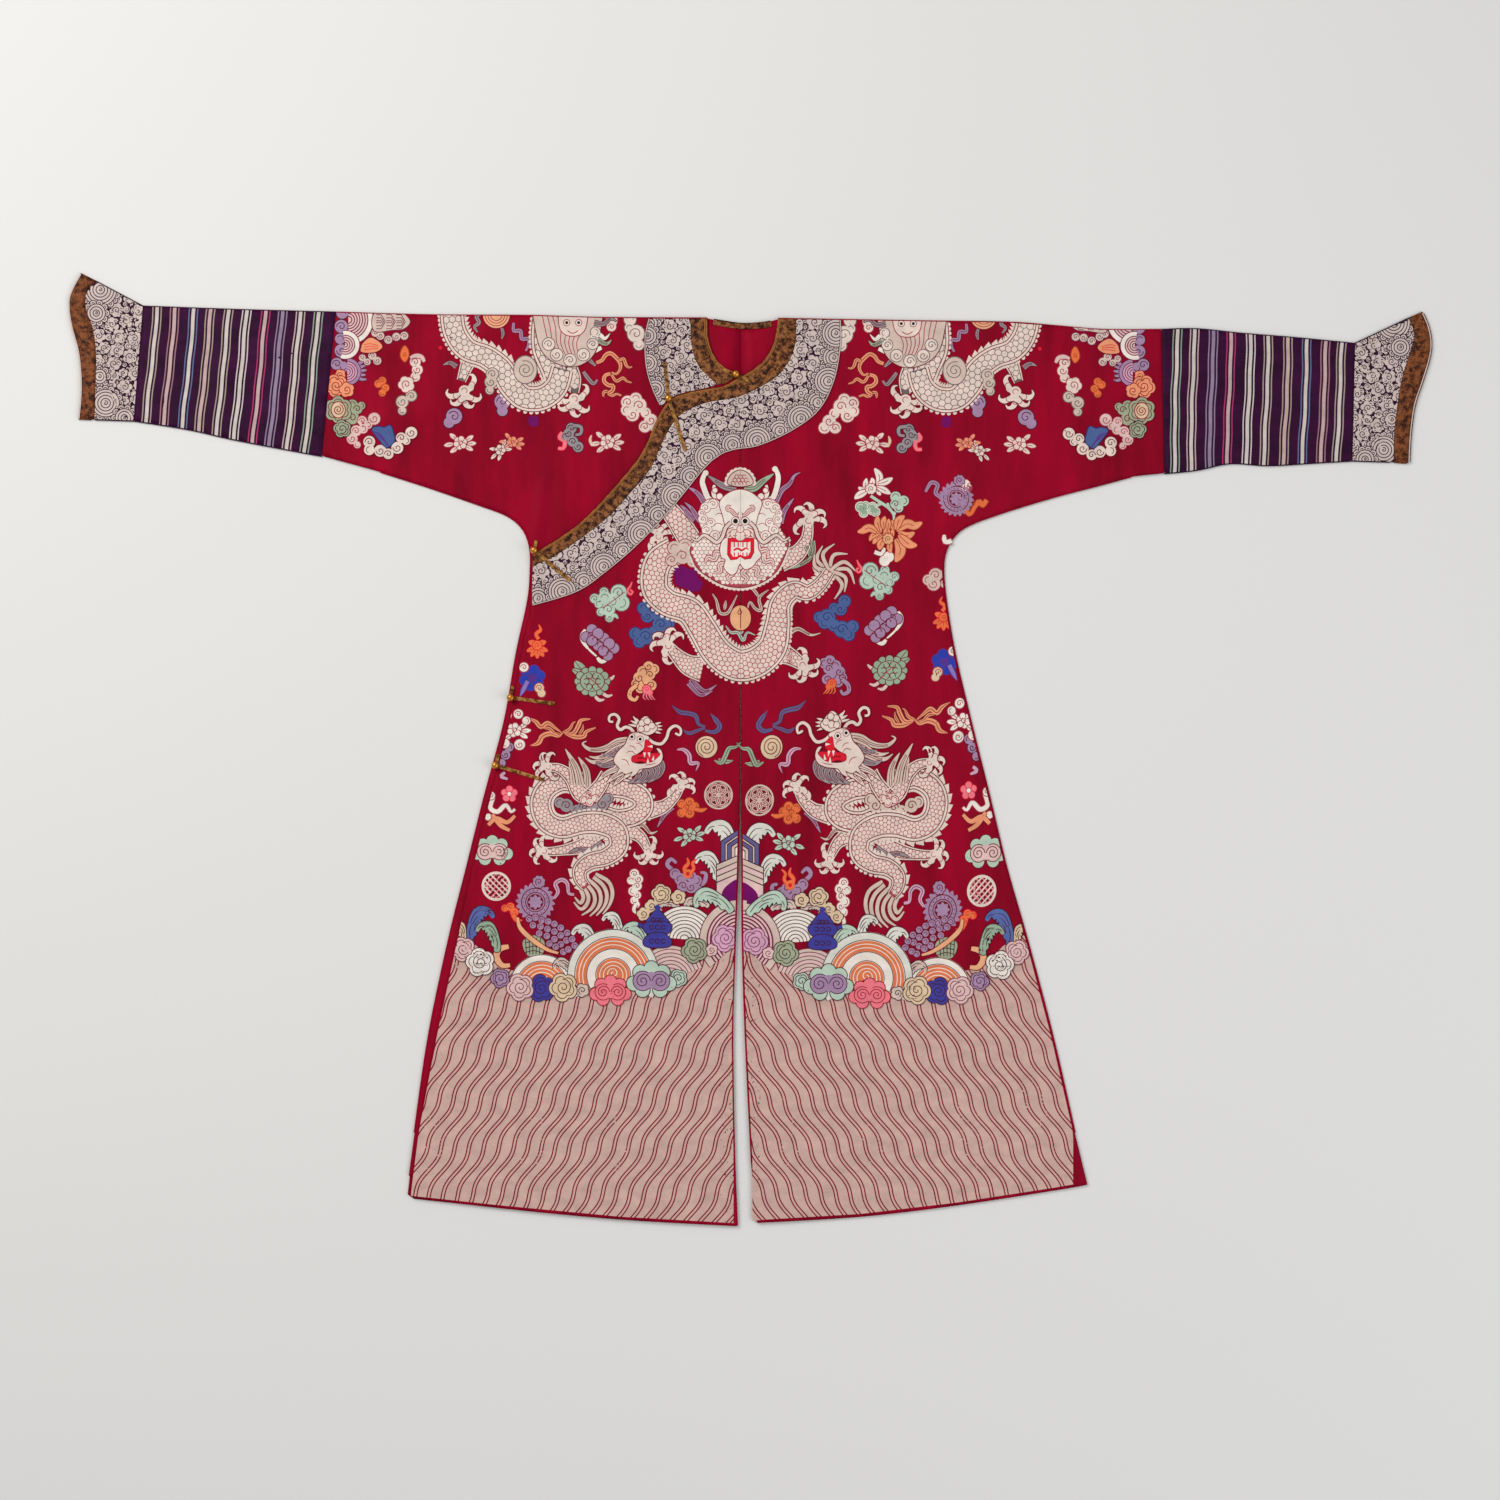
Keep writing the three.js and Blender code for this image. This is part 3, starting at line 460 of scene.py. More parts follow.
def cloth_look(name, colour, other=None, rough=0.62, sheen=0.08, ribs=1.1, bump=0.25, spread=0.5,
               drift_scale=(9.0, 9.0, 9.0), specular=0.12):
    """Woven cloth: ribs along X, a soft drift between two colours, and a sheen."""
    mat = bpy.data.materials.new(name)
    mat.use_nodes = True
    tree = mat.node_tree
    shader = tree.nodes["Principled BSDF"]
    place = node(tree, "ShaderNodeTexCoord").outputs["Object"]
    link = tree.links.new
    weft = node(tree, "ShaderNodeTexWave", {"Scale": 1000 / ribs / 6.28, "Distortion": 0.6},
                bands_direction="Y")
    warp = node(tree, "ShaderNodeTexWave", {"Scale": 1000 / ribs / 6.28, "Distortion": 0.6},
                bands_direction="X")
    weave = node(tree, "ShaderNodeMath", operation="MULTIPLY")
    link(place, weft.inputs["Vector"])
    link(place, warp.inputs["Vector"])
    link(weft.outputs["Fac"], weave.inputs[0])
    link(warp.outputs["Fac"], weave.inputs[1])
    raise_up = node(tree, "ShaderNodeBump", {"Strength": bump, "Distance": 0.0003})
    link(weave.outputs[0], raise_up.inputs["Height"])
    link(raise_up.outputs[0], shader.inputs["Normal"])
    if other:
        drift = node(tree, "ShaderNodeTexNoise", {"Scale": 1.0, "Detail": 6.0, "Roughness": 0.65})
        stretch = node(tree, "ShaderNodeMapping", {"Scale": drift_scale})
        link(place, stretch.inputs["Vector"])
        ramp = node(tree, "ShaderNodeMapRange",
                    {"From Min": 0.5 - spread / 2, "From Max": 0.5 + spread / 2})
        mix = node(tree, "ShaderNodeMix", data_type="RGBA")
        mix.inputs["A"].default_value = linear(colour)
        mix.inputs["B"].default_value = linear(other)
        link(stretch.outputs["Vector"], drift.inputs["Vector"])
        link(drift.outputs["Fac"], ramp.inputs["Value"])
        link(ramp.outputs["Result"], mix.inputs["Factor"])
        link(mix.outputs["Result"], shader.inputs["Base Color"])
    else:
        shader.inputs["Base Color"].default_value = linear(colour)
    shader.inputs["Roughness"].default_value = rough
    shader.inputs["Sheen Weight"].default_value = sheen
    shader.inputs["Sheen Roughness"].default_value = 0.4
    shader.inputs["Sheen Tint"].default_value = linear(colour)
    shader.inputs["Specular IOR Level"].default_value = specular
    return mat


def brocade_look(name, colours, scale=150.0):
    """Figured cloth: small blotches of several colours, darkest first, over a weave."""
    mat = cloth_look(name, colours[0], rough=0.5, bump=0.5, ribs=0.9)
    tree = mat.node_tree
    link = tree.links.new
    place = node(tree, "ShaderNodeTexCoord").outputs["Object"]
    figure = node(tree, "ShaderNodeTexNoise", {"Scale": scale, "Detail": 3.0, "Roughness": 0.6,
                                               "Distortion": 1.2})
    patch = node(tree, "ShaderNodeTexNoise", {"Scale": scale / 2.5, "Detail": 2.0})
    total = node(tree, "ShaderNodeMath", operation="ADD")
    ramp = node(tree, "ShaderNodeValToRGB")
    link(place, figure.inputs["Vector"])
    link(place, patch.inputs["Vector"])
    link(figure.outputs["Fac"], total.inputs[0])
    link(patch.outputs["Fac"], total.inputs[1])
    half = node(tree, "ShaderNodeMath", {1: 0.5}, operation="MULTIPLY")
    link(total.outputs[0], half.inputs[0])
    link(half.outputs[0], ramp.inputs["Fac"])
    stops = ramp.color_ramp.elements
    for i, colour in enumerate(colours):
        where = 0.42 + 0.15 * i / (len(colours) - 1)
        stop = stops[i] if i < 2 else stops.new(where)
        stop.position, stop.color = where, linear(colour)
    link(ramp.outputs["Color"], tree.nodes["Principled BSDF"].inputs["Base Color"])
    return mat


def metal_look(name, colour, other):
    """Worn gilding: bright metal with duller patches and fine dents."""
    mat = bpy.data.materials.new(name)
    mat.use_nodes = True
    tree = mat.node_tree
    shader = tree.nodes["Principled BSDF"]
    place = node(tree, "ShaderNodeTexCoord").outputs["Object"]
    wear = node(tree, "ShaderNodeTexNoise", {"Scale": 260.0, "Detail": 4.0})
    mix = node(tree, "ShaderNodeMix", data_type="RGBA")
    mix.inputs["A"].default_value, mix.inputs["B"].default_value = linear(other), linear(colour)
    rough = node(tree, "ShaderNodeMapRange", {"From Min": 0.3, "From Max": 0.7, "To Min": 0.42,
                                              "To Max": 0.2})
    dents = node(tree, "ShaderNodeBump", {"Strength": 0.15, "Distance": 0.0003})
    tree.links.new(place, wear.inputs["Vector"])
    for target in (mix.inputs["Factor"], rough.inputs["Value"], dents.inputs["Height"]):
        tree.links.new(wear.outputs["Fac"], target)
    tree.links.new(mix.outputs["Result"], shader.inputs["Base Color"])
    tree.links.new(rough.outputs["Result"], shader.inputs["Roughness"])
    tree.links.new(dents.outputs[0], shader.inputs["Normal"])
    shader.inputs["Metallic"].default_value = 1.0
    return mat


crimson = cloth_look("crimson_silk", (156, 0, 38), (112, 0, 24), 0.6, 0.04, spread=0.42,
                     drift_scale=(16, 3.5, 5), specular=0.06)
purple_silk = cloth_look("purple_silk", (58, 10, 52), (34, 4, 32), 0.55, 0.05, spread=0.4,
                         drift_scale=(10, 30, 10), specular=0.08)
dark_brocade = cloth_look("brocade_ground", (50, 12, 48), (36, 6, 34), rough=0.6)
brown_brocade = brocade_look("brown_brocade",
                             [(34, 16, 8), (76, 40, 18), (112, 66, 34), (142, 90, 50)], 320.0)
cuff_brocade = brocade_look("cuff_brocade",
                            [(46, 20, 10), (92, 46, 20), (110, 60, 30), (128, 72, 38)], 320.0)
braid_silk = brocade_look("braid_silk", [(84, 50, 18), (140, 92, 42), (190, 140, 78)], 300.0)
gilt = metal_look("gilt", (232, 164, 72), (150, 92, 34))

# Cloth pieces


def column(rows, i):
    return [(r[i], r[0]) for r in rows]


def before(rows, low, high):
    """Rows of x, y between two x values, with an end row at each."""
    inner = sorted(r for r in rows if low + 2 < r[0] < high - 2)
    ends = [(x, float(rows_at(rows, x, 1))) for x in (low, high)]
    return [ends[0], *inner, ends[1]]


GAP = SEAM / 2

panels = {}
laid_on = {}
left_side = spline(column(SKIRT, 2)[::-1] + LEFT_UNDERARM[6:][::-1])
right_side = spline(RIGHT_UNDERARM[4:] + column(SKIRT, 1))
left_top = spline(before(TOP_EDGE, BACK_NECK[-1][0], LEFT_SLEEVE_TOP[0] - GAP))[::-1]
right_top = spline(before(TOP_EDGE, RIGHT_SLEEVE_TOP[0] + GAP, BACK_NECK[0][0]))[::-1]
left_vent, right_vent = spline(column(VENT, 2)), spline(column(VENT, 1))
neck_line = spline(BACK_NECK)
left_outer = np.vstack([left_side, [beside(LEFT_SLEEVE_FOOT, -GAP)], left_top])
right_outer = np.vstack([right_top, [beside(RIGHT_SLEEVE_FOOT, GAP)], right_side])
left_hem, right_hem = spline(LEFT_HEM[::-1]), spline(RIGHT_HEM)


def body_left():
    b = Build("body_left_cloth")
    neck = neck_line[neck_line[:, 0] > CENTRE_X + 1][::-1]
    back = np.vstack([left_hem, left_outer, neck, [(CENTRE_X + GAP, 639)], left_vent])
    b.slab(back, lift, back_top, HIDDEN_CELL)
    edge = spline(COLLAR_LEFT_INNER[:5])
    edge = edge[edge[:, 0] > CENTRE_X + 1]
    front = np.vstack([left_hem, left_outer, edge, [(CENTRE_X + GAP, 559)], left_vent])
    b.slab(front, outer_bottom, outer_top, CELL)
    b.roll(left_side, lift, outer_top)
    b.roll(left_top, lift, outer_top)
    obj = b.finish([crimson], ["body_left"])


def body_right():
    b = Build("body_right_cloth")
    neck = neck_line[neck_line[:, 0] < CENTRE_X - 1][::-1]
    back = np.vstack([right_outer, right_hem, right_vent[::-1], [(CENTRE_X - GAP, 639)], neck])
    b.slab(back, lift, back_top, HIDDEN_CELL)
    side = right_side[right_side[:, 1] > INNER_FLAP["hem"]]
    flap = [(side[-1][0] - INNER_FLAP["side"], INNER_FLAP["hem"]),
            (INNER_FLAP["centre"], INNER_FLAP["hem"]), (INNER_FLAP["centre"], 520), (-24, 540)]
    front = np.vstack([right_top, [beside(RIGHT_SLEEVE_FOOT, GAP)], side, flap,
                       spline(COLLAR_RIGHT_INNER)[::-1]])
    b.slab(front, inner_bottom, inner_top, CELL)
    b.roll(right_top, lift, inner_top)
    b.roll(side, lift, inner_top)
    obj = b.finish([crimson], ["body_right"])


def overlap_front():
    b = Build("overlap_cloth")
    outline = np.vstack([
        [(CENTRE_X - GAP, 554)], spline(COLLAR_LEFT_INNER[4:]), spline(column(SKIRT, 3)),
        [(-510, -668)], spline([(-505, -671), *RIGHT_HEM[1:]]), right_vent[::-1],
    ])
    b.slab(outline, outer_bottom, outer_top, CELL)
    obj = b.finish([crimson], ["overlap_front"])


def tube(name, fold, end, underarm, look, slot, node_name, cell=CELL):
    """A flattened tube: a lower and an upper layer, rolled together along both long edges."""
    b = Build(name)
    outline = np.vstack([part for part in (fold, end, underarm) if len(part)])
    b.slab(outline, lift, back_top, TUBE_CELL)
    b.slab(outline, inner_bottom, inner_top, cell)
    b.roll(fold, lift, inner_top)
    b.roll(underarm, lift, inner_top)
    obj = b.finish(look, [node_name])
    panels[name] = outline, inner_top, slot


def sleeves():
    fold = spline(before(TOP_EDGE, RIGHT_CUFF_TOP[0] + GAP, RIGHT_SLEEVE_TOP[0] - GAP))[::-1]
    arm = spline(before(RIGHT_UNDERARM, RIGHT_CUFF_FOOT[0] + GAP, RIGHT_SLEEVE_FOOT[0] - GAP))
    tube("sleeve_right_cloth", fold, [], arm, [purple_silk], "striped", "sleeve_right")
    fold = spline(before(TOP_EDGE, LEFT_SLEEVE_TOP[0] + GAP, LEFT_CUFF_TOP[0] - GAP))[::-1]
    arm = spline(before(LEFT_UNDERARM, LEFT_SLEEVE_FOOT[0] + GAP, LEFT_CUFF_FOOT[0] - GAP))
    tube("sleeve_left_cloth", fold, [], arm, [purple_silk], "striped", "sleeve_left")


def straight(a, b):
    return np.linspace(a, b, 6)


def cuffs():
    trim = spline(RIGHT_TRIM) + (GAP, 0)
    fold = straight(beside(RIGHT_CUFF_TOP, -GAP), trim[0])
    arm = straight(trim[-1], beside(RIGHT_CUFF_FOOT, -GAP))
    tube("cuff_right_cloth", fold, trim[1:-1], arm, [dark_brocade], "cuff", "cuff_right")
    inner, outer = spline(RIGHT_TRIM) - (GAP, 0), spline(RIGHT_MOUTH)
    tube("cuff_trim_right_cloth", straight(inner[0], outer[0]), outer[1:-1],
         np.vstack([straight(outer[-1], inner[-1]), inner[::-1][1:-1]]), [cuff_brocade],
         "binding", "cuff_trim_right", 6)
    trim = (spline(LEFT_TRIM) - (GAP, 0))[::-1]
    fold = straight(trim[-1], beside(LEFT_CUFF_TOP, GAP))
    arm = straight(beside(LEFT_CUFF_FOOT, GAP), trim[0])
    tube("cuff_left_cloth", fold, [], np.vstack([arm, trim[1:-1]]), [dark_brocade], "cuff",
         "cuff_left")
    inner, outer = spline(LEFT_TRIM) + (GAP, 0), spline(LEFT_MOUTH)
    tube("cuff_trim_left_cloth", straight(outer[0], inner[0]), inner[1:-1],
         np.vstack([straight(inner[-1], outer[-1]), outer[::-1][1:-1]]), [cuff_brocade],
         "binding", "cuff_trim_left", 6)


left_seam, right_seam = spline(COLLAR_LEFT_SEAM), spline(COLLAR_RIGHT_SEAM)


def moved(path, by):
    return path + sideways(path) * by


def strip(name, outline, surface, thick, look, slot, node_name, cell=CELL):
    b = Build(name)
    b.slab(outline, over(surface, SEAM), over(surface, SEAM + thick), cell)
    obj = b.finish([look], [node_name])
    panels[name] = outline, over(surface, SEAM + thick), slot


def collars():
    strip("collar_left_cloth",
          np.vstack([spline(COLLAR_LEFT_OUTER), moved(left_seam, SEAM)[::-1]]), outer_top, FACING,
          dark_brocade, "brocade", "collar_left")
    strip("collar_right_cloth",
          np.vstack([spline(COLLAR_RIGHT_OUTER), COLLAR_RIGHT_END, moved(right_seam, -SEAM)[::-1]]),
          inner_top, FACING, dark_brocade, "brocade", "collar_right")
    strip("binding_left_cloth",
          np.vstack([left_seam, spline(COLLAR_LEFT_INNER)[::-1]]), outer_top, BINDING,
          brown_brocade, "binding", "binding_left", 5.0)
    strip("binding_right_cloth",
          np.vstack([right_seam, BINDING_RIGHT_END, spline(COLLAR_RIGHT_INNER)[::-1]]), inner_top,
          BINDING, brown_brocade, "binding", "binding_right", 5.0)
    turn = np.linspace(math.pi, 2 * math.pi, 40)
    arch = np.c_[NECK[0] + BACK_COLLAR[0] * np.cos(turn), NECK[1] - 1.6 + BACK_COLLAR[1] * np.sin(turn)]
    near = moved(neck_line, -24)
    near = near[near[:, 1] < 622]
    b = Build("collar_back_cloth")
    b.slab(np.vstack([arch, [(66, 644)], near[::-1], [(-88, 645)]]), level(0), level(FACING), 8)
    obj = b.finish([dark_brocade], ["collar_back"])
    part = neck_line[(neck_line[:, 0] > -57) & (neck_line[:, 0] < 34)]
    far = moved(part, SEAM + FACING)[::-1]
    b = Build("binding_back_cloth")
    top = over(back_top, SEAM + FACING)
    b.slab(np.vstack([moved(part, SEAM - 24), far]), level(0), level(FACING), 5)
    b.slab(np.vstack([moved(part, SEAM), far]), level(0), top, 3)
    b.slab(np.vstack([moved(part, -8), far]), over(back_top, SEAM), top, 3)
    obj = b.finish([brown_brocade], ["binding_back"])


body_left()
body_right()
overlap_front()
sleeves()
cuffs()
collars()

# Inlays: coloured shapes, drawn flat in millimetres and laid on the cloth afterwards

TINTS = {"cream": (232, 210, 198), "pale": (240, 228, 216), "bone": (214, 190, 176),
         "rose_line": (170, 60, 76), "wine": (112, 8, 30), "ink": (70, 22, 44),
         "lishui": (208, 172, 160), "orange": (236, 112, 62), "peach": (236, 172, 128),
         "pink": (242, 122, 134), "lilac": (168, 134, 166), "grey": (152, 142, 146),
         "blue": (88, 106, 168), "mint": (186, 206, 186), "green": (152, 174, 148),
         "purple": (112, 0, 94), "red": (222, 22, 46), "black": (22, 16, 22), "sand": (224, 196, 160),
         "collar_white": (208, 190, 182), "collar_dark": (50, 14, 44), "gold_line": (176, 112, 52),
         "stripe_white": (206, 196, 188), "stripe_cream": (168, 150, 134),
         "stripe_rose": (196, 166, 162), "stripe_pink": (160, 112, 122),
         "stripe_blue": (96, 110, 150), "stripe_magenta": (178, 52, 104),
         "stripe_lilac": (146, 126, 152), "stripe_green": (140, 160, 138), "plum": (120, 30, 70),
         "slate": (96, 92, 140), "moss": (160, 168, 138), "moss_line": (110, 96, 96),
         "pink_white": (226, 190, 184), "mint_white": (222, 218, 206), "pink_lilac": (214, 164, 188),
         "orange_cloth": (238, 152, 112), "orange_thread": (226, 120, 76), "steel": (76, 98, 150),
         "navy_line": (40, 50, 110), "royal": (40, 60, 170), "violet": (90, 50, 140),
         "lilac_blue": (140, 120, 190), "vase_blue": (62, 60, 150), "net_line": (176, 70, 82),
         "rust": (160, 60, 30), "deep_red": (150, 8, 30), "water_line": (132, 6, 32)}
TINT_NAMES = list(TINTS)


class Drawing:
    """Flat triangles in millimetres, each with a tint and a level, drawn in the current frame."""

    def __init__(self):
        self.tris, self.tints, self.levels = [], [], []
        self.turn, self.origin, self.lift = np.eye(2), np.zeros(2), 0

    def add(self, tris, tint, lev):
        tris = np.asarray(tris, float) @ self.turn.T + self.origin
        a, b, c = tris[:, 0], tris[:, 1], tris[:, 2]
        area = (b[:, 0] - a[:, 0]) * (c[:, 1] - a[:, 1]) - (b[:, 1] - a[:, 1]) * (c[:, 0] - a[:, 0])
        tris[area < 0] = tris[area < 0][:, ::-1]
        self.tris.append(tris[np.abs(area) > 1e-6])
        count = len(self.tris[-1])
        self.tints.append(np.full(count, TINT_NAMES.index(tint)))
        self.levels.append(np.full(count, self.lift + lev))


@contextmanager
def local(x, y, turn=0, size=1, flip=False, lift=0):
    """Draws the motif inside at a place in the current frame, in millimetres."""
    kept = art.turn, art.origin, art.lift
    c, s = heading(turn) * size
    own = np.array([[-c if flip else c, -s], [-s if flip else s, c]])
    art.origin = art.origin + art.turn @ np.array([x, y], float)
    art.turn, art.lift = art.turn @ own, art.lift + lift
    yield
    art.turn, art.origin, art.lift = kept


@contextmanager
def placed(px, py, turn=0, size=1, flip=False, lift=0):
    """The same, at a pixel of the photo."""
    with local(*spot(px, py), turn, size, flip, lift):
        yield


def raised(lift):
    """Draws what is inside some levels higher, at the same place."""
    return local(0, 0, lift=lift)


def shape(points, tint, lev=0):
    points = [Vector((p[0], p[1], 0)) for p in points]
    faces = tessellate_polygon([points])
    if faces:
        flat = np.array([(p.x, p.y) for p in points])
        art.add(flat[np.array(faces)], tint, lev)


def soft(points, tint):
    """A closed shape with a smooth outline through the points."""
    p = [*points[-2:], *points, *points[:2]]
    shape(spline(p, 5)[10:-6], tint)


def band(path, low, high, tint, lev=0):
    """The band between two distances to the left of a path."""
    side = sideways(path)
    low = np.broadcast_to(low, len(path))[:, None]
    high = np.broadcast_to(high, len(path))[:, None]
    a, b = path + side * low, path + side * high
    art.add(np.concatenate([np.stack([a[:-1], a[1:], b[:-1]], 1), np.stack([a[1:], b[1:], b[:-1]], 1)]),
            tint, lev)


def stroke(points, width, tint, lev=0, taper=(1, 1), step=2.5, curve=True):
    path = evenly(spline(points, 6) if curve and len(points) > 2 else points, step)
    t = np.linspace(0, 1, len(path))
    half = width / 2 * np.interp(t, [0, 0.25, 0.6, 1], [taper[0], 1, 1 if taper[1] else 0.8, taper[1]])
    band(path, -half, half, tint, lev)


def disc(x, y, r, tint, lev=0, n=16, tall=1.0):
    turn = np.linspace(0, 2 * math.pi, n, endpoint=False)
    ring = np.c_[x + r * np.cos(turn), y + r * tall * np.sin(turn)]
    art.add(np.stack([np.broadcast_to((x, y), ring.shape), ring, np.roll(ring, -1, 0)], 1), tint, lev)


def ringed(x, y, r, tint, line, lev, n, rim=LINE, inset=0):
    """A disc on a wider one, which shows as a line round it."""
    disc(x, y, r + rim, line, lev, n)
    disc(x, y, r - inset, tint, lev + 1, n)


def arc(x, y, r0, r1, tint, lev=0, start=0, end=360, n=24):
    turn = np.radians(np.linspace(start, end, n + 1))
    ring = np.c_[np.cos(turn), np.sin(turn)]
    a, b = (x, y) + ring * r0, (x, y) + ring * r1
    art.add(np.concatenate([np.stack([a[:-1], b[:-1], a[1:]], 1), np.stack([b[:-1], b[1:], a[1:]], 1)]),
            tint, lev)


def spiral(x, y, r, tint, lev=0, turns=1.6, width=0.9, start=0, spin=1):
    t = np.linspace(0.12, 1, int(10 * turns) + 2)
    turn = math.radians(start) + spin * t * turns * 2 * math.pi
    path = np.c_[x + r * t * np.cos(turn), y + r * t * np.sin(turn)]
    band(path, -width / 2, width / 2, tint, lev)


def lobes(rows, tint, line="wine", lev=0):
    """A cloud of merged heads with curls inside: x, y, radius, spin."""
    for x, y, r, spin in rows:
        ringed(x, y, r, tint, line, lev, 14)
    middle = np.mean([row[:2] for row in rows], axis=0)
    for x, y, r, spin in rows:
        if spin:
            spiral(x, y, r * 0.72, line, lev + 2, 1.4, min(LINE, r * 0.18), 40 * spin, spin)
        elif len(rows) > 2:
            out = math.degrees(math.atan2(y - middle[1], x - middle[0]))
            arc(x, y, r * 0.5, r * 0.5 + 1.1, line, lev + 2, out - 110, out + 60, 8)


def tail(points, width, tint, line="wine", lev=0, taper=(1, 0.1)):
    stroke(points, width + 2 * LINE, line, lev, (taper[0], taper[1] + 0.1))
    stroke(points, width, tint, lev + 1, taper)


def ribbon(points, width, tint, line="wine", lev=0, taper=(0.3, 0.1)):
    """A flame or streamer with a fine line along it."""
    tail(points, width, tint, line, lev, taper)
    stroke(points, 1.0, line, lev + 2, (0.3, 0.2))


def leaf(points, width, tint, line="wine", lev=0):
    """A leaf or petal along a path, widest in the middle, with a vein."""
    path = evenly(spline(points, 6) if len(points) > 2 else points, 2.0)
    t = np.linspace(0, 1, len(path))
    half = width / 2 * np.sin(np.pi * np.clip(t * 0.94 + 0.04, 0, 1)) ** 0.7
    band(path, -half - LINE, half + LINE, line, lev)
    band(path, -half, half, tint, lev + 1)
    band(path[: int(len(path) * 0.7)], -0.5, 0.5, line, lev + 2)


def rosette(tint, r=13, line="wine", spin=1, count=5):
    """A scalloped cloud head: a double rim round one long spiral."""
    t = np.linspace(0, 2 * math.pi, 10 * count, endpoint=False)
    rim = r * (0.84 + 0.2 * np.abs(np.cos(count / 2 * (t + spin * 0.5))) ** 0.7)
    ring = np.c_[np.cos(t), np.sin(t)]
    rings = [(0.9, line), (-0.4, tint)]
    if r > 12:
        rings += [(-0.2 * r, line), (-0.2 * r - LINE, tint)]
    for k, (far, colour) in enumerate(rings):
        shape(ring * (rim + far)[:, None], colour, k)
    spiral(0, 0, r * 0.6, line, 4, 2.1 if r > 15 else 1.5, min(LINE, r * 0.12), 60, spin)


def twin(tint, inner, r=15, line="wine"):
    """A scalloped cloud that holds a pair of spirals."""
    rows = [(-22, -4), (-14, 10), (0, 15), (14, 10), (22, -4), (11, -12), (-11, -12)]
    for x, y in rows:
        ringed(x * r / 15, y * r / 15, 0.62 * r, tint, line, 0, 16, 0.9, 0.4)
    for s in (-1, 1):
        disc(s * r * 0.72, -1, r * 0.86, line, 2, 20)
    disc(0, 0, r * 0.7, inner, 3, 16)
    for s in (-1, 1):
        disc(s * r * 0.72, -1, r * 0.86 - LINE, inner, 3, 20)
        spiral(s * r * 0.72, -1, r * 0.66, line, 4, 2.0, LINE, 90 + 90 * s, s)


def flower(tint, centre, petals, r, line, lev=0):
    for parity in (0, 1):
        for i in range(parity, petals, 2):
            turn = 2 * math.pi * i / petals + 0.3
            x, y = r * 0.62 * math.cos(turn), r * 0.62 * math.sin(turn)
            ringed(x, y, r * 0.46, tint, line, lev + 2 * parity, 12, 0.5, 0.7)
    ringed(0, 0, r * 0.34, centre, line, lev + 4, 10, 0, 1)


def sprig(tint, line="rose_line"):
    """A blossom with buds and leaves round it."""
    for x, y, turn, long in ((-20, -3, 190, 15), (16, 6, 35, 14), (-12, 11, 140, 13), (14, -9, -30, 14),
                             (20, -3, 5, 14), (-8, -13, 215, 14)):
        c, s = heading(turn)
        leaf([(x * 0.55, y * 0.55), (x * 0.55 + c * long, y * 0.55 + s * long)], 6.5, tint, line, 0)
    with raised(3):
        flower(tint, tint, 6, 10.5, line)
        spiral(0, 0, 4, line, 7, 1.2, 1.0)


def rosette_at(x, y, r, tint, line="wine", lev=0, spin=1, count=8):
    with local(x, y, lift=lev):
        rosette(tint, r, line, spin, count)


def peony(tint, tassel, line="wine"):
    """A side-on flower with a row of petals, and tassels."""
    for k, (x, y) in enumerate(((-17, 14), (-8, 8), (1, 1), (9, -7), (16, -14))):
        ringed(x + 5, y + 6, 8, tint, line, 2 * (k % 2), 14)
        ringed(x - 4, y - 5, 7.4, tint, line, 4 + 2 * (k % 2), 14)
    for k in range(5):
        x, y = -14 + 7 * k, 12 - 7 * k
        arc(x, y, 3, 3 + LINE, line, 8, 20, 200, 10)
    for points in ([(-22, 20), (-27, 10), (-24, 0), (-18, -8)], [(-4, -22), (2, -28), (10, -26)]):
        tail(points, 6, tassel, line, 2, (0.6, 0.6))
    tail([(-18, -8), (-12, -14), (-5, -20)], 3, tassel, line, 1, (0.8, 0.8))


def medallion(tint, tip, line="wine"):
    """A round flower with a scalloped border, a leaf above and tips round it."""
    leaf([(-26, 30), (-18, 20), (-8, 10)], 14, tint, line, 0)
    leaf([(-30, 18), (-22, 14), (-12, 8)], 9, tint, line, 2)
    for points in ([(14, -16), (22, -22), (30, -20)], [(4, -22), (10, -28), (18, -27)],
                   [(20, 2), (28, 4), (33, 9)]):
        tail(points, 5, tip, line, 1, (0.8, 0.4))
    for parity in (0, 1):
        for i in range(parity, 12, 2):
            turn = math.radians(30 * i)
            ringed(21 * math.cos(turn), 17 * math.sin(turn), 5.7, tint, line, 4 + 2 * parity, 12)
    disc(0, 0, 19, line, 8, 26, 0.8)
    disc(0, 0, 17.6, tint, 9, 26, 0.8)
    for turn in range(0, 360, 60):
        with local(0, 0, turn, lift=10):
            arc(9, 0, 3.6, 3.6 + LINE, line, 0, 40, 320, 12)
    stroke([(-6, 6), (2, 0), (14, -12)], 1.4, "rose_line", 11)


def bat(tint, gem):
    """A bat seen from the side: a chain of lobes that ends in a curl, and a bright head."""
    lobes([(18, 16, 8, 0), (10, 20, 8, -1), (2, 12, 9, 0), (12, 8, 8, 1), (-4, 3, 9, -1), (6, -2, 9, 0),
           (-8, -6, 8, 1), (14, -8, 8, 1), (-2, -12, 8, 0)], tint)
    tail([(-8, -8), (-17, -16), (-18, -26), (-10, -30), (-6, -24)], 6, tint, "wine", 18, (1, 0.6))
    with local(7, -18, lift=20):
        lobes([(0, 4, 6, 1), (5, -1, 4, 0)], gem, "red")
        for x in (-5, 0, 5, 9):
            stroke([(x * 0.5, 0), (x, -8), (x + 4, -12)], 2.2, gem, 1, (1, 0.3))


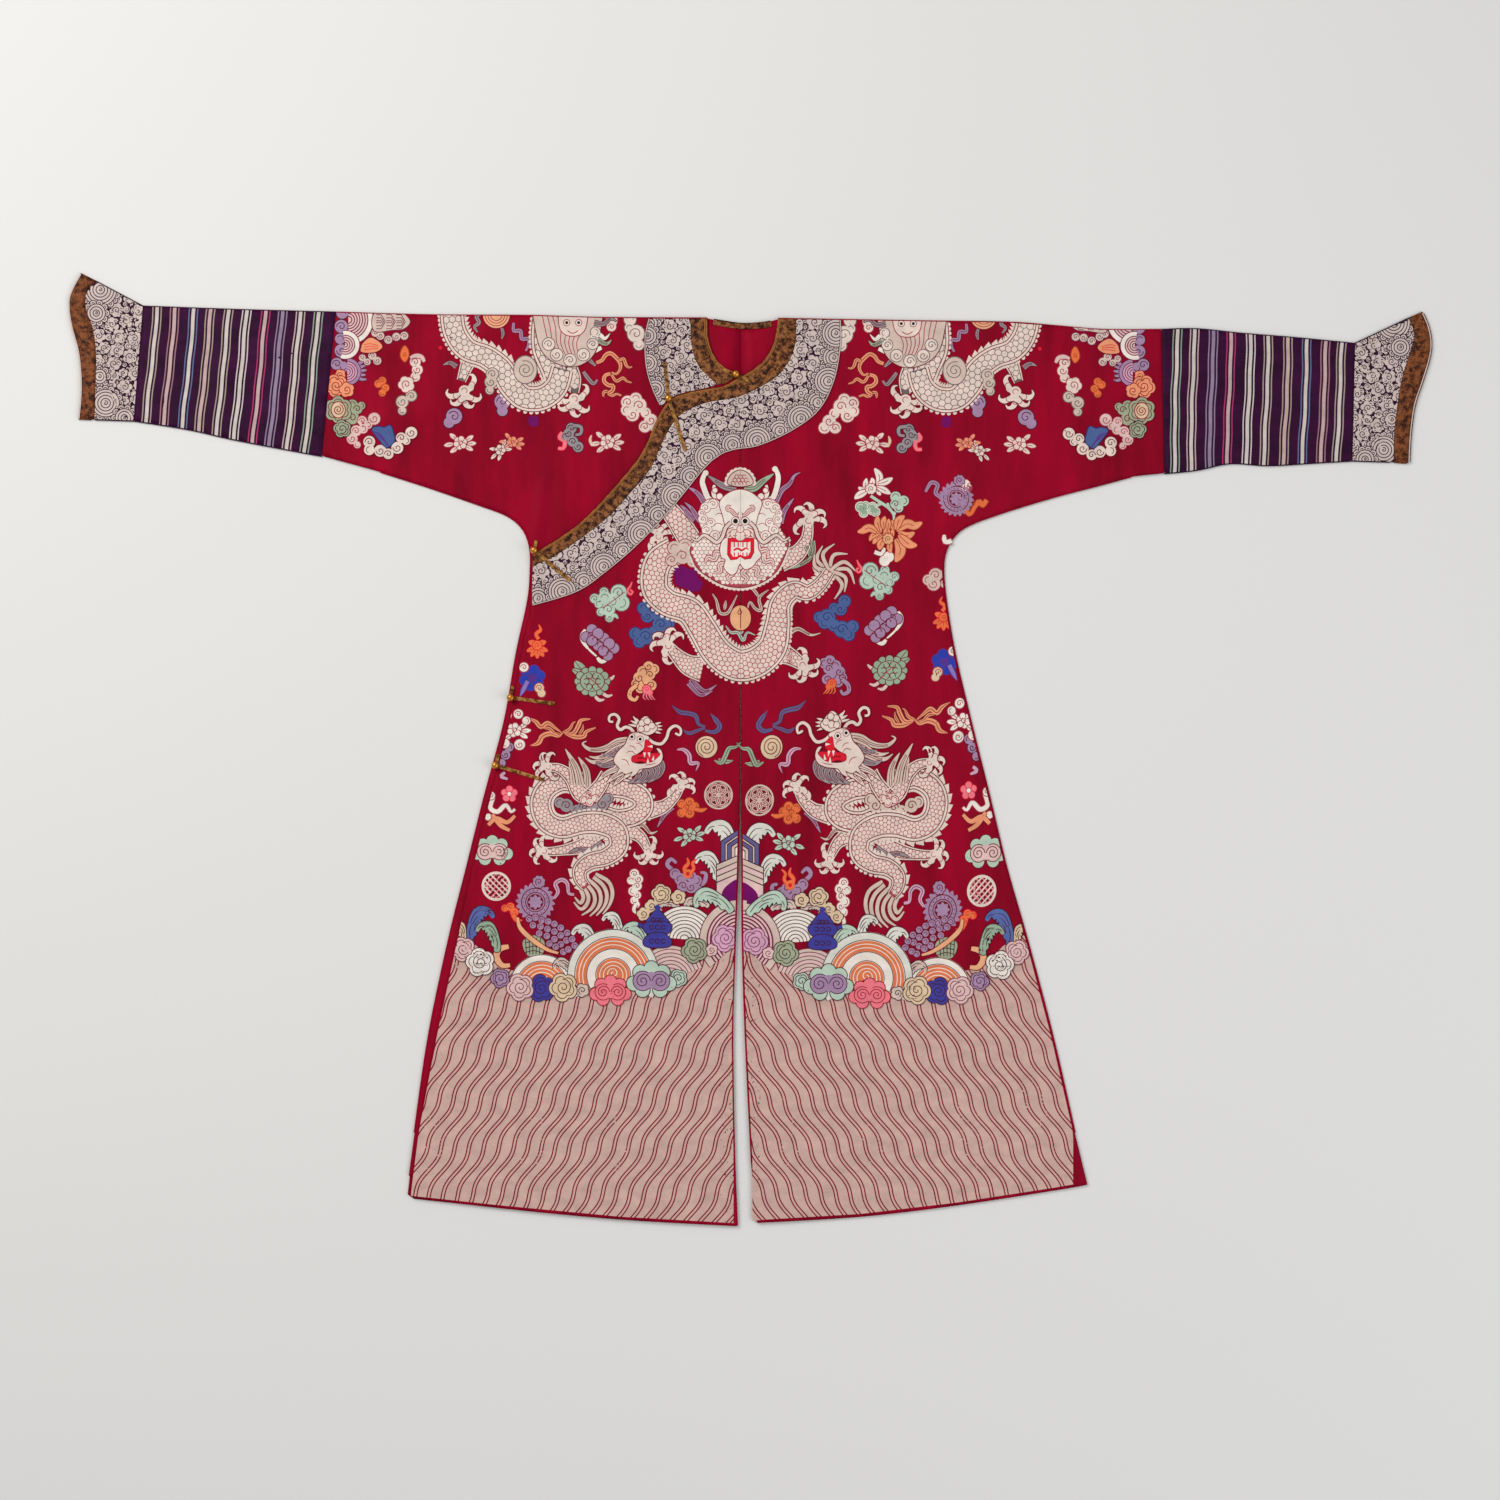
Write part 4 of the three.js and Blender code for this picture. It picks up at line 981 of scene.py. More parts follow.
def flame_flower(tint, line="red"):
    """A small flower with a flame above it."""
    tail([(2, 10), (-2, 18), (5, 24), (2, 32)], 4.5, tint, line, 0, (1, 0.2))
    for turn in (200, 235, 270, 305, 340):
        c, s = heading(turn)
        leaf([(0, -2), (c * 17, -2 + s * 17)], 7, tint, line, 2 if turn % 70 else 0)
    for turn in (20, 160):
        c, s = heading(turn)
        leaf([(0, 2), (c * 14, 2 + s * 14)], 8, tint, line, 4)
    rosette_at(0, 1, 7, tint, line, 6)


def streamer(tint):
    """A bow of ribbon flames, with its knot in the middle."""
    for points, width in (
        ([(-46, 20), (-34, 14), (-26, 6), (-16, 12), (-4, 4), (4, -2)], 6.5),
        ([(-42, -22), (-30, -18), (-24, -8), (-12, -4), (0, -8), (6, -3)], 7.5),
        ([(-24, 4), (-14, 4), (-6, -3), (2, -4)], 4.5),
        ([(4, -3), (16, 2), (22, 12), (26, 14)], 4.5),
        ([(8, -3), (22, -4), (30, 8), (34, 16), (48, 18)], 6.5),
        ([(10, -5), (26, -9), (38, -8), (42, -1), (56, 5)], 6.5),
        ([(30, -6), (36, 2), (37, 10)], 4),
    ):
        ribbon(points, width, tint, "wine", 0, (0.15, 0.25))


def blue_streamer(tint):
    for points, width in (
        ([(-46, 34), (-34, 24), (-22, 22), (-10, 18), (-6, 6), (4, 2)], 6.5),
        ([(12, 22), (20, 12), (26, 2), (18, -6), (4, -4)], 7),
        ([(-30, -2), (-20, -8), (-8, -4), (4, 0)], 5),
    ):
        ribbon(points, width, tint, "wine", 0, (0.1, 0.5))


def swirl(tint, tails=()):
    """A round disc drawn as one spiral line, with streamers of other colours."""
    for k, (points, colour) in enumerate(tails):
        ribbon(points, 6.5, colour, "wine", 3 * (k % 2))
    ringed(0, 0, 16.2, tint, "wine", 6, 28)
    spiral(0, 0, 14.8, "wine", 8, 2.7, LINE)


def roundel():
    """A round badge of plain crossed lattice."""
    disc(0, 0, 22, "cream", 0, 32)
    disc(0, 0, 18.6, "wine", 1, 32)
    for k in range(-2, 3):
        half = math.sqrt(18.6**2 - (k * 6.4) ** 2)
        for turn, tint, lev in ((45, "pink", 2), (-45, "cream", 3)):
            with local(0, 0, turn, lift=lev):
                low, high = k * 6.4 - 1.1, k * 6.4 + 1.1
                shape([(-half, low), (half, low), (half, high), (-half, high)], tint)
    arc(0, 0, 18.2, 19.4, "cream", 5, 0, 360, 30)


def knot():
    """A round badge of interlaced rings."""
    disc(0, 0, 21.5, "bone", 0, 30)
    disc(0, 0, 19.2, "wine", 1, 30)
    for k, turn in enumerate(range(0, 360, 60)):
        with local(0, 0, turn, lift=2 + k % 2):
            arc(9.5, 0, 5.6, 9.4, "bone", 0, 0, 360, 20)
            arc(9.5, 0, 7, 8.2, "rose_line", 2, 0, 360, 20)
    disc(0, 0, 3.6, "bone", 6, 12)


def wheel(tint, line="wine"):
    """A sun wheel with flame points and a small one above it."""
    for i in range(20):
        with local(0, 0, 18 * i):
            soft([(18, -4.5), (28, -3), (23, 3), (17, 4)], tint)
    disc(0, 0, 22, tint, 1, 30)
    for r in (20.5, 14.5):
        arc(0, 0, r - 1.4, r, line, 2, 0, 360, 30)
    for i in range(18):
        turn = math.radians(20 * i)
        disc(16.8 * math.cos(turn), 16.8 * math.sin(turn), 0.9, line, 2, 6)
    disc(0, 0, 11.6, line, 2, 24)
    for i in range(8):
        with local(0, 0, 45 * i, lift=3):
            soft([(1.6, 0), (6, 3), (10.4, 0), (6, -3)], tint)
    disc(0, 0, 2.4, tint, 5, 10)
    rosette_at(5, 29, 9, tint, line, 2)


def scroll(tint):
    """A pair of tied clappers with curled ends."""
    rows = [(0, 26, 7, 1), (6, 18, 7, -1), (-5, 16, 6, 0), (4, 8, 7, 1), (-2, 0, 7, 0), (4, -6, 6, -1),
            (0, -14, 6, 0), (3, -20, 5, 0)]
    lobes(rows, tint, "rose_line")
    tail([(2, -20), (-1, -28), (3, -34)], 5, tint, "rose_line", 14, (1, 0.3))


def breaker(tint, size=1.0, line="ink", flip=False):
    """A breaking wave 57 high: a narrow stem with a combed head that curls to the left."""
    with local(0, 0, 0, size, flip):
        outlined([(5, 0), (7, 16), (5, 32), (2, 44), (-3, 53), (-12, 58), (-23, 57), (-31, 52),
                  (-36, 44), (-32, 40), (-28, 44), (-25, 47), (-22, 42), (-18, 43), (-18, 37),
                  (-14, 38), (-15, 30), (-11, 31), (-12, 22), (-8, 22), (-9, 13), (-5, 8), (-5, 0)],
                 tint, line, 0, LINE / size)
        for points in ([(2, 30), (-2, 42), (-9, 50), (-18, 51)], [(-2, 28), (-6, 38), (-12, 44)],
                       [(0, 4), (2, 18), (-1, 32)], [(-5, 18), (-6, 28), (-10, 35)],
                       [(-22, 50), (-28, 49), (-32, 45)]):
            stroke(points, LINE / size, line, 2, (0.7, 0.4))


def arches(centre, radii, tints, line="ink", start=0, end=180, lev=0, gap=LINE):
    """Nested arches with a fine line between, radii from the outside in, at a pixel."""
    with placed(*centre, lift=lev):
        arc(0, 0, 0, radii[0] + LINE, line, 0, start, end, 36)
        for i, (r, tint) in enumerate(zip(radii, tints)):
            inner = radii[i + 1] + gap if i + 1 < len(radii) else 0
            arc(0, 0, inner, r, tint, 1, start, end, 36)


def even_rings(outer, inner, pitch):
    return list(np.arange(outer, inner, -pitch))


# Dragons


def body(points, widths, tint="cream", net="net_line", lev=0, fins=1, beads=-1, pitch=7.0, gap=0.08):
    """A scaled trunk or limb: fins on the back, beads on the belly, borders and a net of scales."""
    path = evenly(spline(points, 8), 3.0)
    half = np.interp(np.linspace(0, 1, len(path)), np.linspace(0, 1, len(widths)), widths)
    side = sideways(path)
    run = np.r_[0, np.cumsum(np.hypot(*np.diff(path, axis=0).T))]

    def at(s, v):
        s = np.asarray(s, float)
        c = np.stack([np.interp(s, run, path[:, 0]), np.interp(s, run, path[:, 1])], -1)
        n = np.stack([np.interp(s, run, side[:, 0]), np.interp(s, run, side[:, 1])], -1)
        return c + n / np.linalg.norm(n, axis=-1, keepdims=True) * np.asarray(v, float)[..., None]

    if fins:
        s = 4.0
        while s < run[-1] - 3:
            h = np.interp(s, run, half)
            grow = min(1.0, h / 14 + 0.25)
            fin = at([s - 5 * grow, s - 3.4 * grow, s - 3 * grow, s + 4 * grow, s + 5 * grow],
                     np.array([h - 1, h + 4 * grow, h + 8.5 * grow, h + 4.5 * grow, h - 1]) * fins)
            shape(fin, tint, lev)
            s += 9.0 * grow
    if beads:
        s = 2.0
        while s < run[-1] - 2:
            h = np.interp(s, run, half) * beads
            disc(*at(s, h + beads * 1.8), 3.1, tint, lev, 8)
            s += 6.0
    band(path, -half - LINE, half + LINE, "wine", lev + 1)
    band(path, -half, half, net, lev + 2)
    trim = np.minimum(3.2 if fins or beads else 1.8, half * 0.2)
    turn = np.radians(np.arange(0, 360, 60))
    r = pitch * (0.577 - gap)
    for i in range(int(run[-1] / (pitch * 0.87))):
        s = (i + 0.5) * pitch * 0.87
        far = np.interp(s, run, half - trim * 0.6)
        for j in range(-9, 10):
            v = (j + 0.5 * (i % 2)) * pitch
            edge = np.clip(v + r * np.sin(turn), -far, far)
            if edge.max() - edge.min() > 1.2:
                shape(at(s + r * np.cos(turn), edge), tint, lev + 3)
    for s in (-1, 1):
        for low, high, colour, up in ((trim, trim + 1.2, "wine", 4), (0, trim, tint, 5)):
            band(path, (half - high) * s, (half - low) * s, colour, lev + up)


def claw():
    """A spread claw: knuckled toes, each with a hooked talon."""
    reach = 17
    for k, turn in enumerate((-78, -40, 0, 42, 128)):
        bend = 1 if turn < 0 else -1
        with local(0, 0, turn, lift=2 * (k % 2)):
            path = [(0, 0), (reach * 0.35, bend * 3.5), (reach * 0.75, bend * 2), (reach * 1.15, 0),
                    (reach * 1.32, -bend * 6), (reach * 1.1, -bend * 10)]
            stroke(path, 7.4 + 2 * LINE, "wine", 0, (1, 0.35))
            disc(reach * 0.5, bend * 3.4, 4.6 + LINE, "wine", 0, 10)
            stroke(path, 7.0, "cream", 1, (1, 0.12))
            disc(reach * 0.5, bend * 3.4, 4.4, "cream", 1, 10)
            arc(reach * 0.72, bend * 2, 3.4, 4.4, "rose_line", 2, -70, 70, 8)
    disc(0, 0, 7.2, "cream", 5, 14)
    arc(0, 0, 3.2, 4.2, "rose_line", 6, 30, 250, 10)


def limb(points, widths, turn, size=1.0, lev=0):
    body(points, widths, lev=lev, fins=0, beads=0, pitch=6.2)
    path = spline(points, 8)
    with local(*path[-1], turn, size, lift=lev + 4):
        claw()


def plume(root, tips, width, tint, lev):
    """A fan of long tail hairs from one root."""
    root = np.asarray(root, float)
    for k, tip in enumerate(tips):
        tip = np.asarray(tip, float)
        d = tip - root
        mid = root + d * 0.55 + np.array([-d[1], d[0]]) * 0.35
        tail([root, mid, tip], width, tint, "wine", lev + 2 * (k % 2), (0.8, 0.3))


def locks(rows, tint, lev=0, line="wine", width=7.5):
    """Flames of hair, each with fine lines along it."""
    for k, points in enumerate(rows):
        path = evenly(spline(points, 6), 2.5)
        t = np.linspace(0, 1, len(path))
        half = width / 2 * np.interp(t, [0, 0.5, 0.8, 1], [1, 0.75, 0.45, 0.1])
        band(path, -half - LINE * 0.8, half + LINE * 0.8, line, lev + 3 * (k % 2))
        band(path, -half, half, tint, lev + 3 * (k % 2) + 1)
        for off in (-0.3, 0.3):
            stop = int(len(path) * 0.75)
            band(path[:stop], half[:stop] * off - 0.45, half[:stop] * off + 0.45, line,
                 lev + 3 * (k % 2) + 2)


def outlined(points, tint, line="wine", lev=0, rim=LINE):
    """A soft closed shape with a line round it."""
    p = [*points[-2:], *points, *points[:2]]
    ring = spline(p, 5)[10:-6]
    side = sideways(ring)
    area = np.sum(ring[:, 0] * np.roll(ring[:, 1], -1) - np.roll(ring[:, 0], -1) * ring[:, 1])
    shape(ring - side * rim * np.sign(area), line, lev)
    shape(ring, tint, lev + 1)


def face_front():
    """The full face. Its origin is between the eyes; it is about 120 mm wide."""
    locks([[(-52, 24), (-60, 37), (-68, 45), (-79, 51)], [(-56, -4), (-66, 8), (-73, 19), (-83, 28)],
           [(-68, 2), (-77, 10), (-84, 19), (-90, 24)]], "lilac", 0, "wine", 9)
    locks([[(53, 29), (62, 46), (74, 56), (81, 68), (90, 73)],
           [(60, -3), (65, 13), (72, 24), (80, 34)]], "lilac", 0, "wine", 9)
    locks([[(-6, 49), (-23, 52), (-34, 58), (-48, 68)]], "grey", 1, "wine", 12)
    locks([[(6, 49), (21, 50), (34, 60), (50, 71)]], "green", 1, "wine", 13)
    for s, dx, top in ((-1, -4, 60), (1, 0, 66)):
        with local(0, 0, flip=s < 0, lift=6):
            tail([(36 - dx, 30), (48, 34), (54, 48), (57, top), (53, top + 12)], 8, "pale", "wine", 0,
                 (1, 0.8))
            disc(52, top + 12, 4.4, "pale", 1, 10)
            tail([(34, 33), (40, 40), (39, 54)], 6, "pale", "wine", 2, (1, 0.6))
            lobes([(31, 37, 4.4, 0), (38, 46, 3.6, 0)], "pale", "rose_line", 4)
    # Crest of scales with a beaded rim
    for i in range(11):
        turn = math.radians(i * 18)
        disc(20 * math.cos(turn), 57 + 20 * math.sin(turn), 4.2, "cream", 6, 8)
    outlined([(-18, 56), (-16, 66), (-9, 73), (0, 76), (9, 73), (16, 66), (18, 56), (0, 52)], "bone",
             "wine", 7)
    for i in range(-3, 4):
        for j in range(4):
            x, y = 5.6 * i + 2.8 * (j % 2), 57 + 4.9 * j
            if x * x + (y - 56) ** 2 < 230:
                arc(x, y, 2.0, 3.2, "rose_line", 9, 20, 250, 8)
    # The jaw: scales inside a beaded rim, with curls of hair
    jaw = [(-74, -40), (-71, -56), (-64, -70), (-47, -84), (-23, -96), (6, -99), (33, -91), (54, -75),
           (67, -50), (71, -28), (50, -6), (0, 10), (-54, -12)]
    ring = spline([*jaw[-2:], *jaw, *jaw[:2]], 6)[12:-7]
    for p in evenly(spline(jaw[:10], 8), 6.4):
        disc(p[0] * 1.015, p[1] * 1.02, 3.7, "cream", 8, 8)
    outlined(jaw, "net_line", "wine", 9)
    for i in range(-13, 14):
        for j in range(-16, 3):
            x, y = 6.4 * i + 3.2 * (j % 2), 5.6 * j - 2
            if inside(np.array([(x * 1.02, (y + 10) * 1.02 - 10)]), ring)[0]:
                turn = np.radians(np.arange(30, 390, 60))
                shape(np.c_[x + 3.25 * np.cos(turn), y + 3.25 * np.sin(turn)], "pale", 11)
    for k, (x, y, t) in enumerate([(-46, -58, 200), (-33, -72, 235), (-14, -84, 255), (6, -85, 275),
                                   (28, -78, 300), (44, -62, 330), (-34, -50, 210), (36, -46, 330)]):
        with local(x, y, t + 90, 1.1, k % 2 > 0):
            ribbon([(-4, 12), (2, 6), (-4, -1), (3, -8)], 5.5, "cream", "rose_line", 12, (1, 0.3))
    # Ruffs of hair at each cheek
    for s in (-1, 1):
        with local(0, 0, flip=s < 0, lift=15):
            outlined([(30, 26), (44, 33), (58, 24), (62, 6), (58, -10), (46, -24), (30, -30),
                      (22, -14)], "pale", "rose_line")
            for k, (x, y, r) in enumerate([(52, 20, 7.5), (56, 3, 7), (50, -13, 7.5), (38, -22, 7.5),
                                           (41, 26, 7), (58, 12, 5), (44, -2, 6)]):
                ringed(x, y, r, "pale", "rose_line", 2 + 2 * (k % 2), 14, 0.9)
                spiral(x, y, r * 0.7, "rose_line", 6, 1.3, 1.0, 120, 1 if k % 2 else -1)
            for points in ([(24, 8), (32, 12), (38, 8)], [(26, -6), (34, -3), (40, -8)],
                           [(22, -18), (30, -16), (34, -22)]):
                stroke(points, 1.1, "rose_line", 3, (0.6, 0.4))
    outlined([(-31, 26), (-24, 37), (-12, 44.5), (0, 47), (12, 44.5), (24, 37), (32, 27), (26, 8),
              (22, -8), (14, -22), (0, -28), (-14, -22), (-22, -8), (-26, 8)], "pale", "rose_line",
             24)
    # Brow, eyes, nose
    for s in (-1, 1):
        with local(0, 0, flip=s < 0, lift=26):
            ribbon([(3, 8), (8, 10), (14, 16), (19, 17), (19, 22), (14, 21)], 4.4, "cream",
                   "rose_line", 0, (0.6, 0.6))
            stroke([(2, 13), (4, 9), (2, 5)], 1.1, "rose_line", 1)
            ringed(7.2, 0, 5.8, "pale", "rose_line", 1, 18, 1)
            disc(7.2, 0, 3.7, "black", 3, 14)
            tail([(14, -2), (22, -10), (27, -24), (35, -32), (45, -26), (55, -21), (65, -29),
                  (74, -24)], 4.6, "cream", "wine", 4, (1, 0.4))
            tail([(10, -12), (17, -14), (20, -20)], 3.4, "cream", "rose_line", 4, (1, 0.3))
            tail([(11, -17), (18, -21), (19, -27)], 3.4, "cream", "rose_line", 4, (1, 0.3))
    # Mouth: pale ruff, red lips, teeth and tongue
    outlined([(-23, -26), (-30, -40), (-28, -54), (-22, -58), (-24, -70), (-14, -80), (-6, -76),
              (-1, -64), (7, -72), (18, -68), (24, -60), (31, -52), (27, -42), (23, -27), (0, -22)],
             "pale", "rose_line", 29)
    for rim, tint, up in ((0.8, "wine", 0), (0, "red", 1), (-4.4, "pale", 2)):
        outer = [(-18, -26), (-19, -50), (-14, -58), (-5, -57), (0, -53), (6, -57), (15, -56),
                 (20, -47), (20, -26)]
        shape([(x * (1 + rim / 18), -42 + (y + 42) * (1 + rim / 16)) for x, y in outer], tint, 31 + up)
    for x in (-9, -3, 4, 10):
        stroke([(x, -32), (x, -39)], 1.8, "red", 34, (1, 1), 2.5, False)
        stroke([(x, -47), (x, -53)], 1.8, "red", 34, (1, 1), 2.5, False)
    stroke([(-10, -44), (-4, -41), (2, -44), (9, -40), (12, -43)], 3.2, "red", 35, (0.8, 0.5))
    stroke([(-13, -31), (14, -31)], 1.6, "red", 34, (1, 1), 2.5, False)
    for k, (x, y, r) in enumerate([(-9, -19, 6), (9, -19, 6), (0, -22, 7.4), (0, -12, 5)]):
        ringed(x, y, r, "cream", "rose_line", 32 + 2 * k, 14, 1)
    for s in (-1, 1):
        arc(s * 8, -20, 2, 3.1, "rose_line", 40, 200, 340, 8)
    for x in (-3.6, 3.6):
        stroke([(x, 6), (x * 0.6, -6), (x * 1.2, -14)], 1.0, "rose_line", 26)


def pearl():
    """The flaming pearl."""
    r = 15.5
    for points, tint in (([(-42, 36), (-36, 26), (-31, 8), (-20, 7), (-13, 18), (-5, 34)], "bone"),
                         ([(-24, 12), (-22, 26)], "bone"),
                         ([(42, 42), (28, 30), (31, 12), (22, 14), (14, 24), (10, 10)], "bone"),
                         ([(28, 30), (20, 42), (12, 48)], "bone"),
                         ([(-22, -12), (-14, -22), (-4, -22), (4, -34), (10, -22), (22, -26)], "mint"),
                         ([(0, -24), (4, -16)], "mint")):
        ribbon(points, 4.6, tint, "wine", 0, (0.3, 0.3))
    disc(0, 0, r + LINE, "wine", 3, 28, 1.2)
    disc(0, 0, r, "peach", 4, 28, 1.2)
    stroke([(-2, r), (2, 8), (-2, 5), (-4, 9), (0, 11), (0, -r)], 1.2, "wine", 5)


# The front dragon: paths and places in photo pixels
FRONT_DRAGON_PX = {
    "right_leg": [(702, 668), (688, 664), (676, 654), (668, 645)],
    "left_leg": [(776, 650), (790, 656), (802, 664)],
    "left_arm": [(780, 560), (796, 553), (806, 538), (808, 520)],
    "right_leg_hair": [(690, 678), (704, 690), (716, 684)],
    "right_leg_hair_low": [(688, 682), (700, 694), (712, 690)],
    "left_leg_hair": [(782, 640), (796, 628), (810, 634), (820, 632)],
    "left_arm_hair": [(806, 545), (810, 556), (800, 564), (790, 568)],
    "left_arm_hair_low": [(812, 540), (813, 552), (806, 560)],
    "trunk": [(674, 548), (657, 562), (654, 587), (667, 602), (689, 610), (702, 628), (714, 648),
              (727, 660), (741, 665), (758, 660), (772, 646), (777, 624), (780, 602), (793, 589),
              (807, 592), (819, 584), (829, 570)],
    "right_arm": [(668, 508), (680, 524), (693, 545)],
    "tail_root": (829, 570),
    "tail_tips": [(812, 566), (814, 553), (822, 545), (834, 543), (847, 553), (855, 570), (854, 583),
                  (844, 591), (834, 598)],
    "patch": [(672, 564), (684, 566), (690, 569), (694, 567), (698, 577), (703, 582), (699, 590),
              (691, 591), (686, 588), (680, 586), (675, 583)],
    "shoulder_cloud": (682, 555),
    "right_claw": (658, 536),
    "face": (739.8, 520.3),
    "pearl": (740, 617),
}


def main_dragon():
    px = FRONT_DRAGON_PX
    with raised(1):
        limb(spots(px["right_leg"]), [20, 16, 11, 8], 130, 1.15)
        limb(spots(px["left_leg"]), [18, 13, 9], -45, 1.1)
        limb(spots(px["left_arm"]), [17, 13, 9, 7], 80, 1.15)
        locks([spots(px["right_leg_hair"]), spots(px["right_leg_hair_low"])], "lilac")
        locks([spots(px["left_leg_hair"])], "bone")
        locks([spots(px["left_arm_hair"]), spots(px["left_arm_hair_low"])], "green", 3)
    with raised(6):
        body(spots(px["trunk"]), [18, 20, 20, 19, 19, 20, 21, 22, 23, 23, 22, 20, 17, 14, 12, 10, 8],
             fins=1, beads=-1, pitch=7.6)
        body(spots(px["right_arm"]), [14, 17, 18], fins=0, beads=0, lev=4, pitch=7.4)
    root = spot(*px["tail_root"])
    plume(root, spots(px["tail_tips"]), 5.4, "bone", 4)
    shape(spots(px["patch"]), "purple", 3)
    with placed(*px["shoulder_cloud"], lift=15):
        lobes([(-16, -6, 9, 1), (-12, 12, 10, 0), (16, -8, 9, 0), (4, 14, 11, 0), (18, 4, 10, -1),
               (0, 0, 12, 1)], "bone", "rose_line")
    with placed(*px["right_claw"], 100, lift=5):
        claw()
    with placed(*px["face"], lift=18):
        face_front()
    with placed(*px["pearl"], lift=2):
        pearl()


def face_side():
    """A head in three-quarter view looking up to the right, with its origin between the eyes."""
    locks([[(-12, -4), (-28, -6), (-42, -14), (-56, -18), (-70, -17), (-80, -9), (-74, -5)],
           [(-16, -12), (-32, -18), (-44, -26), (-58, -30), (-70, -28)],
           [(-22, -22), (-40, -30), (-54, -36), (-66, -36), (-76, -30)]], "bone", 0, "wine", 11)
    locks([[(-14, -16), (-30, -22), (-42, -26), (-52, -24)],
           [(-24, -36), (-38, -40), (-50, -42), (-60, -38)]], "grey", 4, "wine", 10)
    locks([[(-26, -46), (-38, -50), (-48, -56), (-58, -66)], [(-18, -50), (-32, -58), (-44, -68)],
           [(-14, -52), (-24, -62), (-34, -72)]], "cream", 8, "wine", 9)
    locks([[(34, -32), (40, -42), (37, -54), (28, -64)], [(26, -38), (33, -48), (28, -60), (18, -67)],
           [(17, -42), (24, -52), (18, -62), (7, -68)], [(8, -44), (14, -54), (8, -63), (-3, -68)],
           [(-1, -46), (4, -56), (-2, -64), (-12, -68)]], "grey", 0, "wine", 9.5)
    for points in ([(-2, 6), (-8, 14), (-16, 16), (-23, 12), (-28, 18), (-25, 28), (-31, 35),
                    (-39, 33), (-40, 25), (-34, 24)],
                   [(16, 1), (26, -7), (38, -9), (46, 0), (50, 12), (59, 18), (67, 13), (66, 4),
                    (59, 7)]):
        tail(points, 4.4, "cream", "wine", 6, (1, 0.7))
    for turn in (-25, -8, 8, 24, 130, 148, 166):
        c, s = heading(turn)
        tail([(14 + c * 12, 15 + s * 10), (14 + c * 26, 15 + s * 20)], 3.2, "cream", "wine", 4,
             (1, 0.2))
    tail([(4, 16), (2, 24), (-4, 32)], 4, "cream", "wine", 4, (1, 0.3))
    outlined([(4, 6), (2, 18), (8, 28), (16, 32), (25, 24), (32, 14), (24, 6), (14, 4)], "cream",
             "wine", 8)
    muzzle = [(9, 22, 4.6), (17, 25, 4.6), (24, 18, 4.6), (8, 13, 4.4), (16, 14, 4.8)]
    for k, (x, y, r) in enumerate(muzzle):
        ringed(x, y, r, "cream", "wine", 10 + 2 * (k % 2), 10, 1)
    outlined([(14, 4), (20, 0), (15, -8), (11, -17), (2, -24), (-6, -28), (-6, -36), (4, -39),
              (18, -38), (28, -34), (35, -24), (31, -16), (37, -18), (40, -28), (36, -38), (24, -44),
              (10, -46), (-4, -50), (-16, -54), (-24, -46), (-33, -34), (-26, -20), (-16, -10),
              (-10, 4), (0, 8)], "cream", "wine", 14)
    outlined([(15, -3), (23, -9), (25, -17), (20, -23), (30, -23), (36, -24), (30, -31), (19, -37),
              (6, -35), (-2, -37), (-6, -32), (-1, -26), (9, -24), (13, -14)], "red", "deep_red", 16,
             0.8)
    for x, y, turn in ((13, -25, -90), (20, -25, -80), (18, -35, 90), (26, -31, 80), (22, -13, 180)):
        with local(x, y, turn, lift=18):
            shape([(-3, -2), (5, 0), (-3, 2)], "pale")
    stroke([(2, -31), (10, -30), (16, -32)], 2.2, "deep_red", 18)
    for x, y in ((-6, 1.5), (6.5, -2)):
        ringed(x, y, 4.2, "pale", "rose_line", 17, 14, 1)
        disc(x, y, 2.4, "black", 19, 10)
    for points in ([(-12, 6), (-6, 9), (0, 6)], [(0, -8), (6, -9), (10, -14)],
                   [(-14, -22), (-6, -20), (0, -26)], [(-22, -32), (-14, -34), (-10, -42)],
                   [(-10, -12), (-4, -13), (0, -18)], [(14, -41), (22, -40), (30, -38)]):
        stroke(points, 1.2, "rose_line", 17, (0.6, 0.4))
    for k, (x, y) in enumerate(((-28, -38), (-24, -48), (-14, -55), (-4, -52), (4, -48))):
        tail([(x + 8, y + 8), (x + 2, y), (x - 4, y - 6)], 6, "cream", "wine", 12 + 2 * (k % 2),
             (1, 0.3))


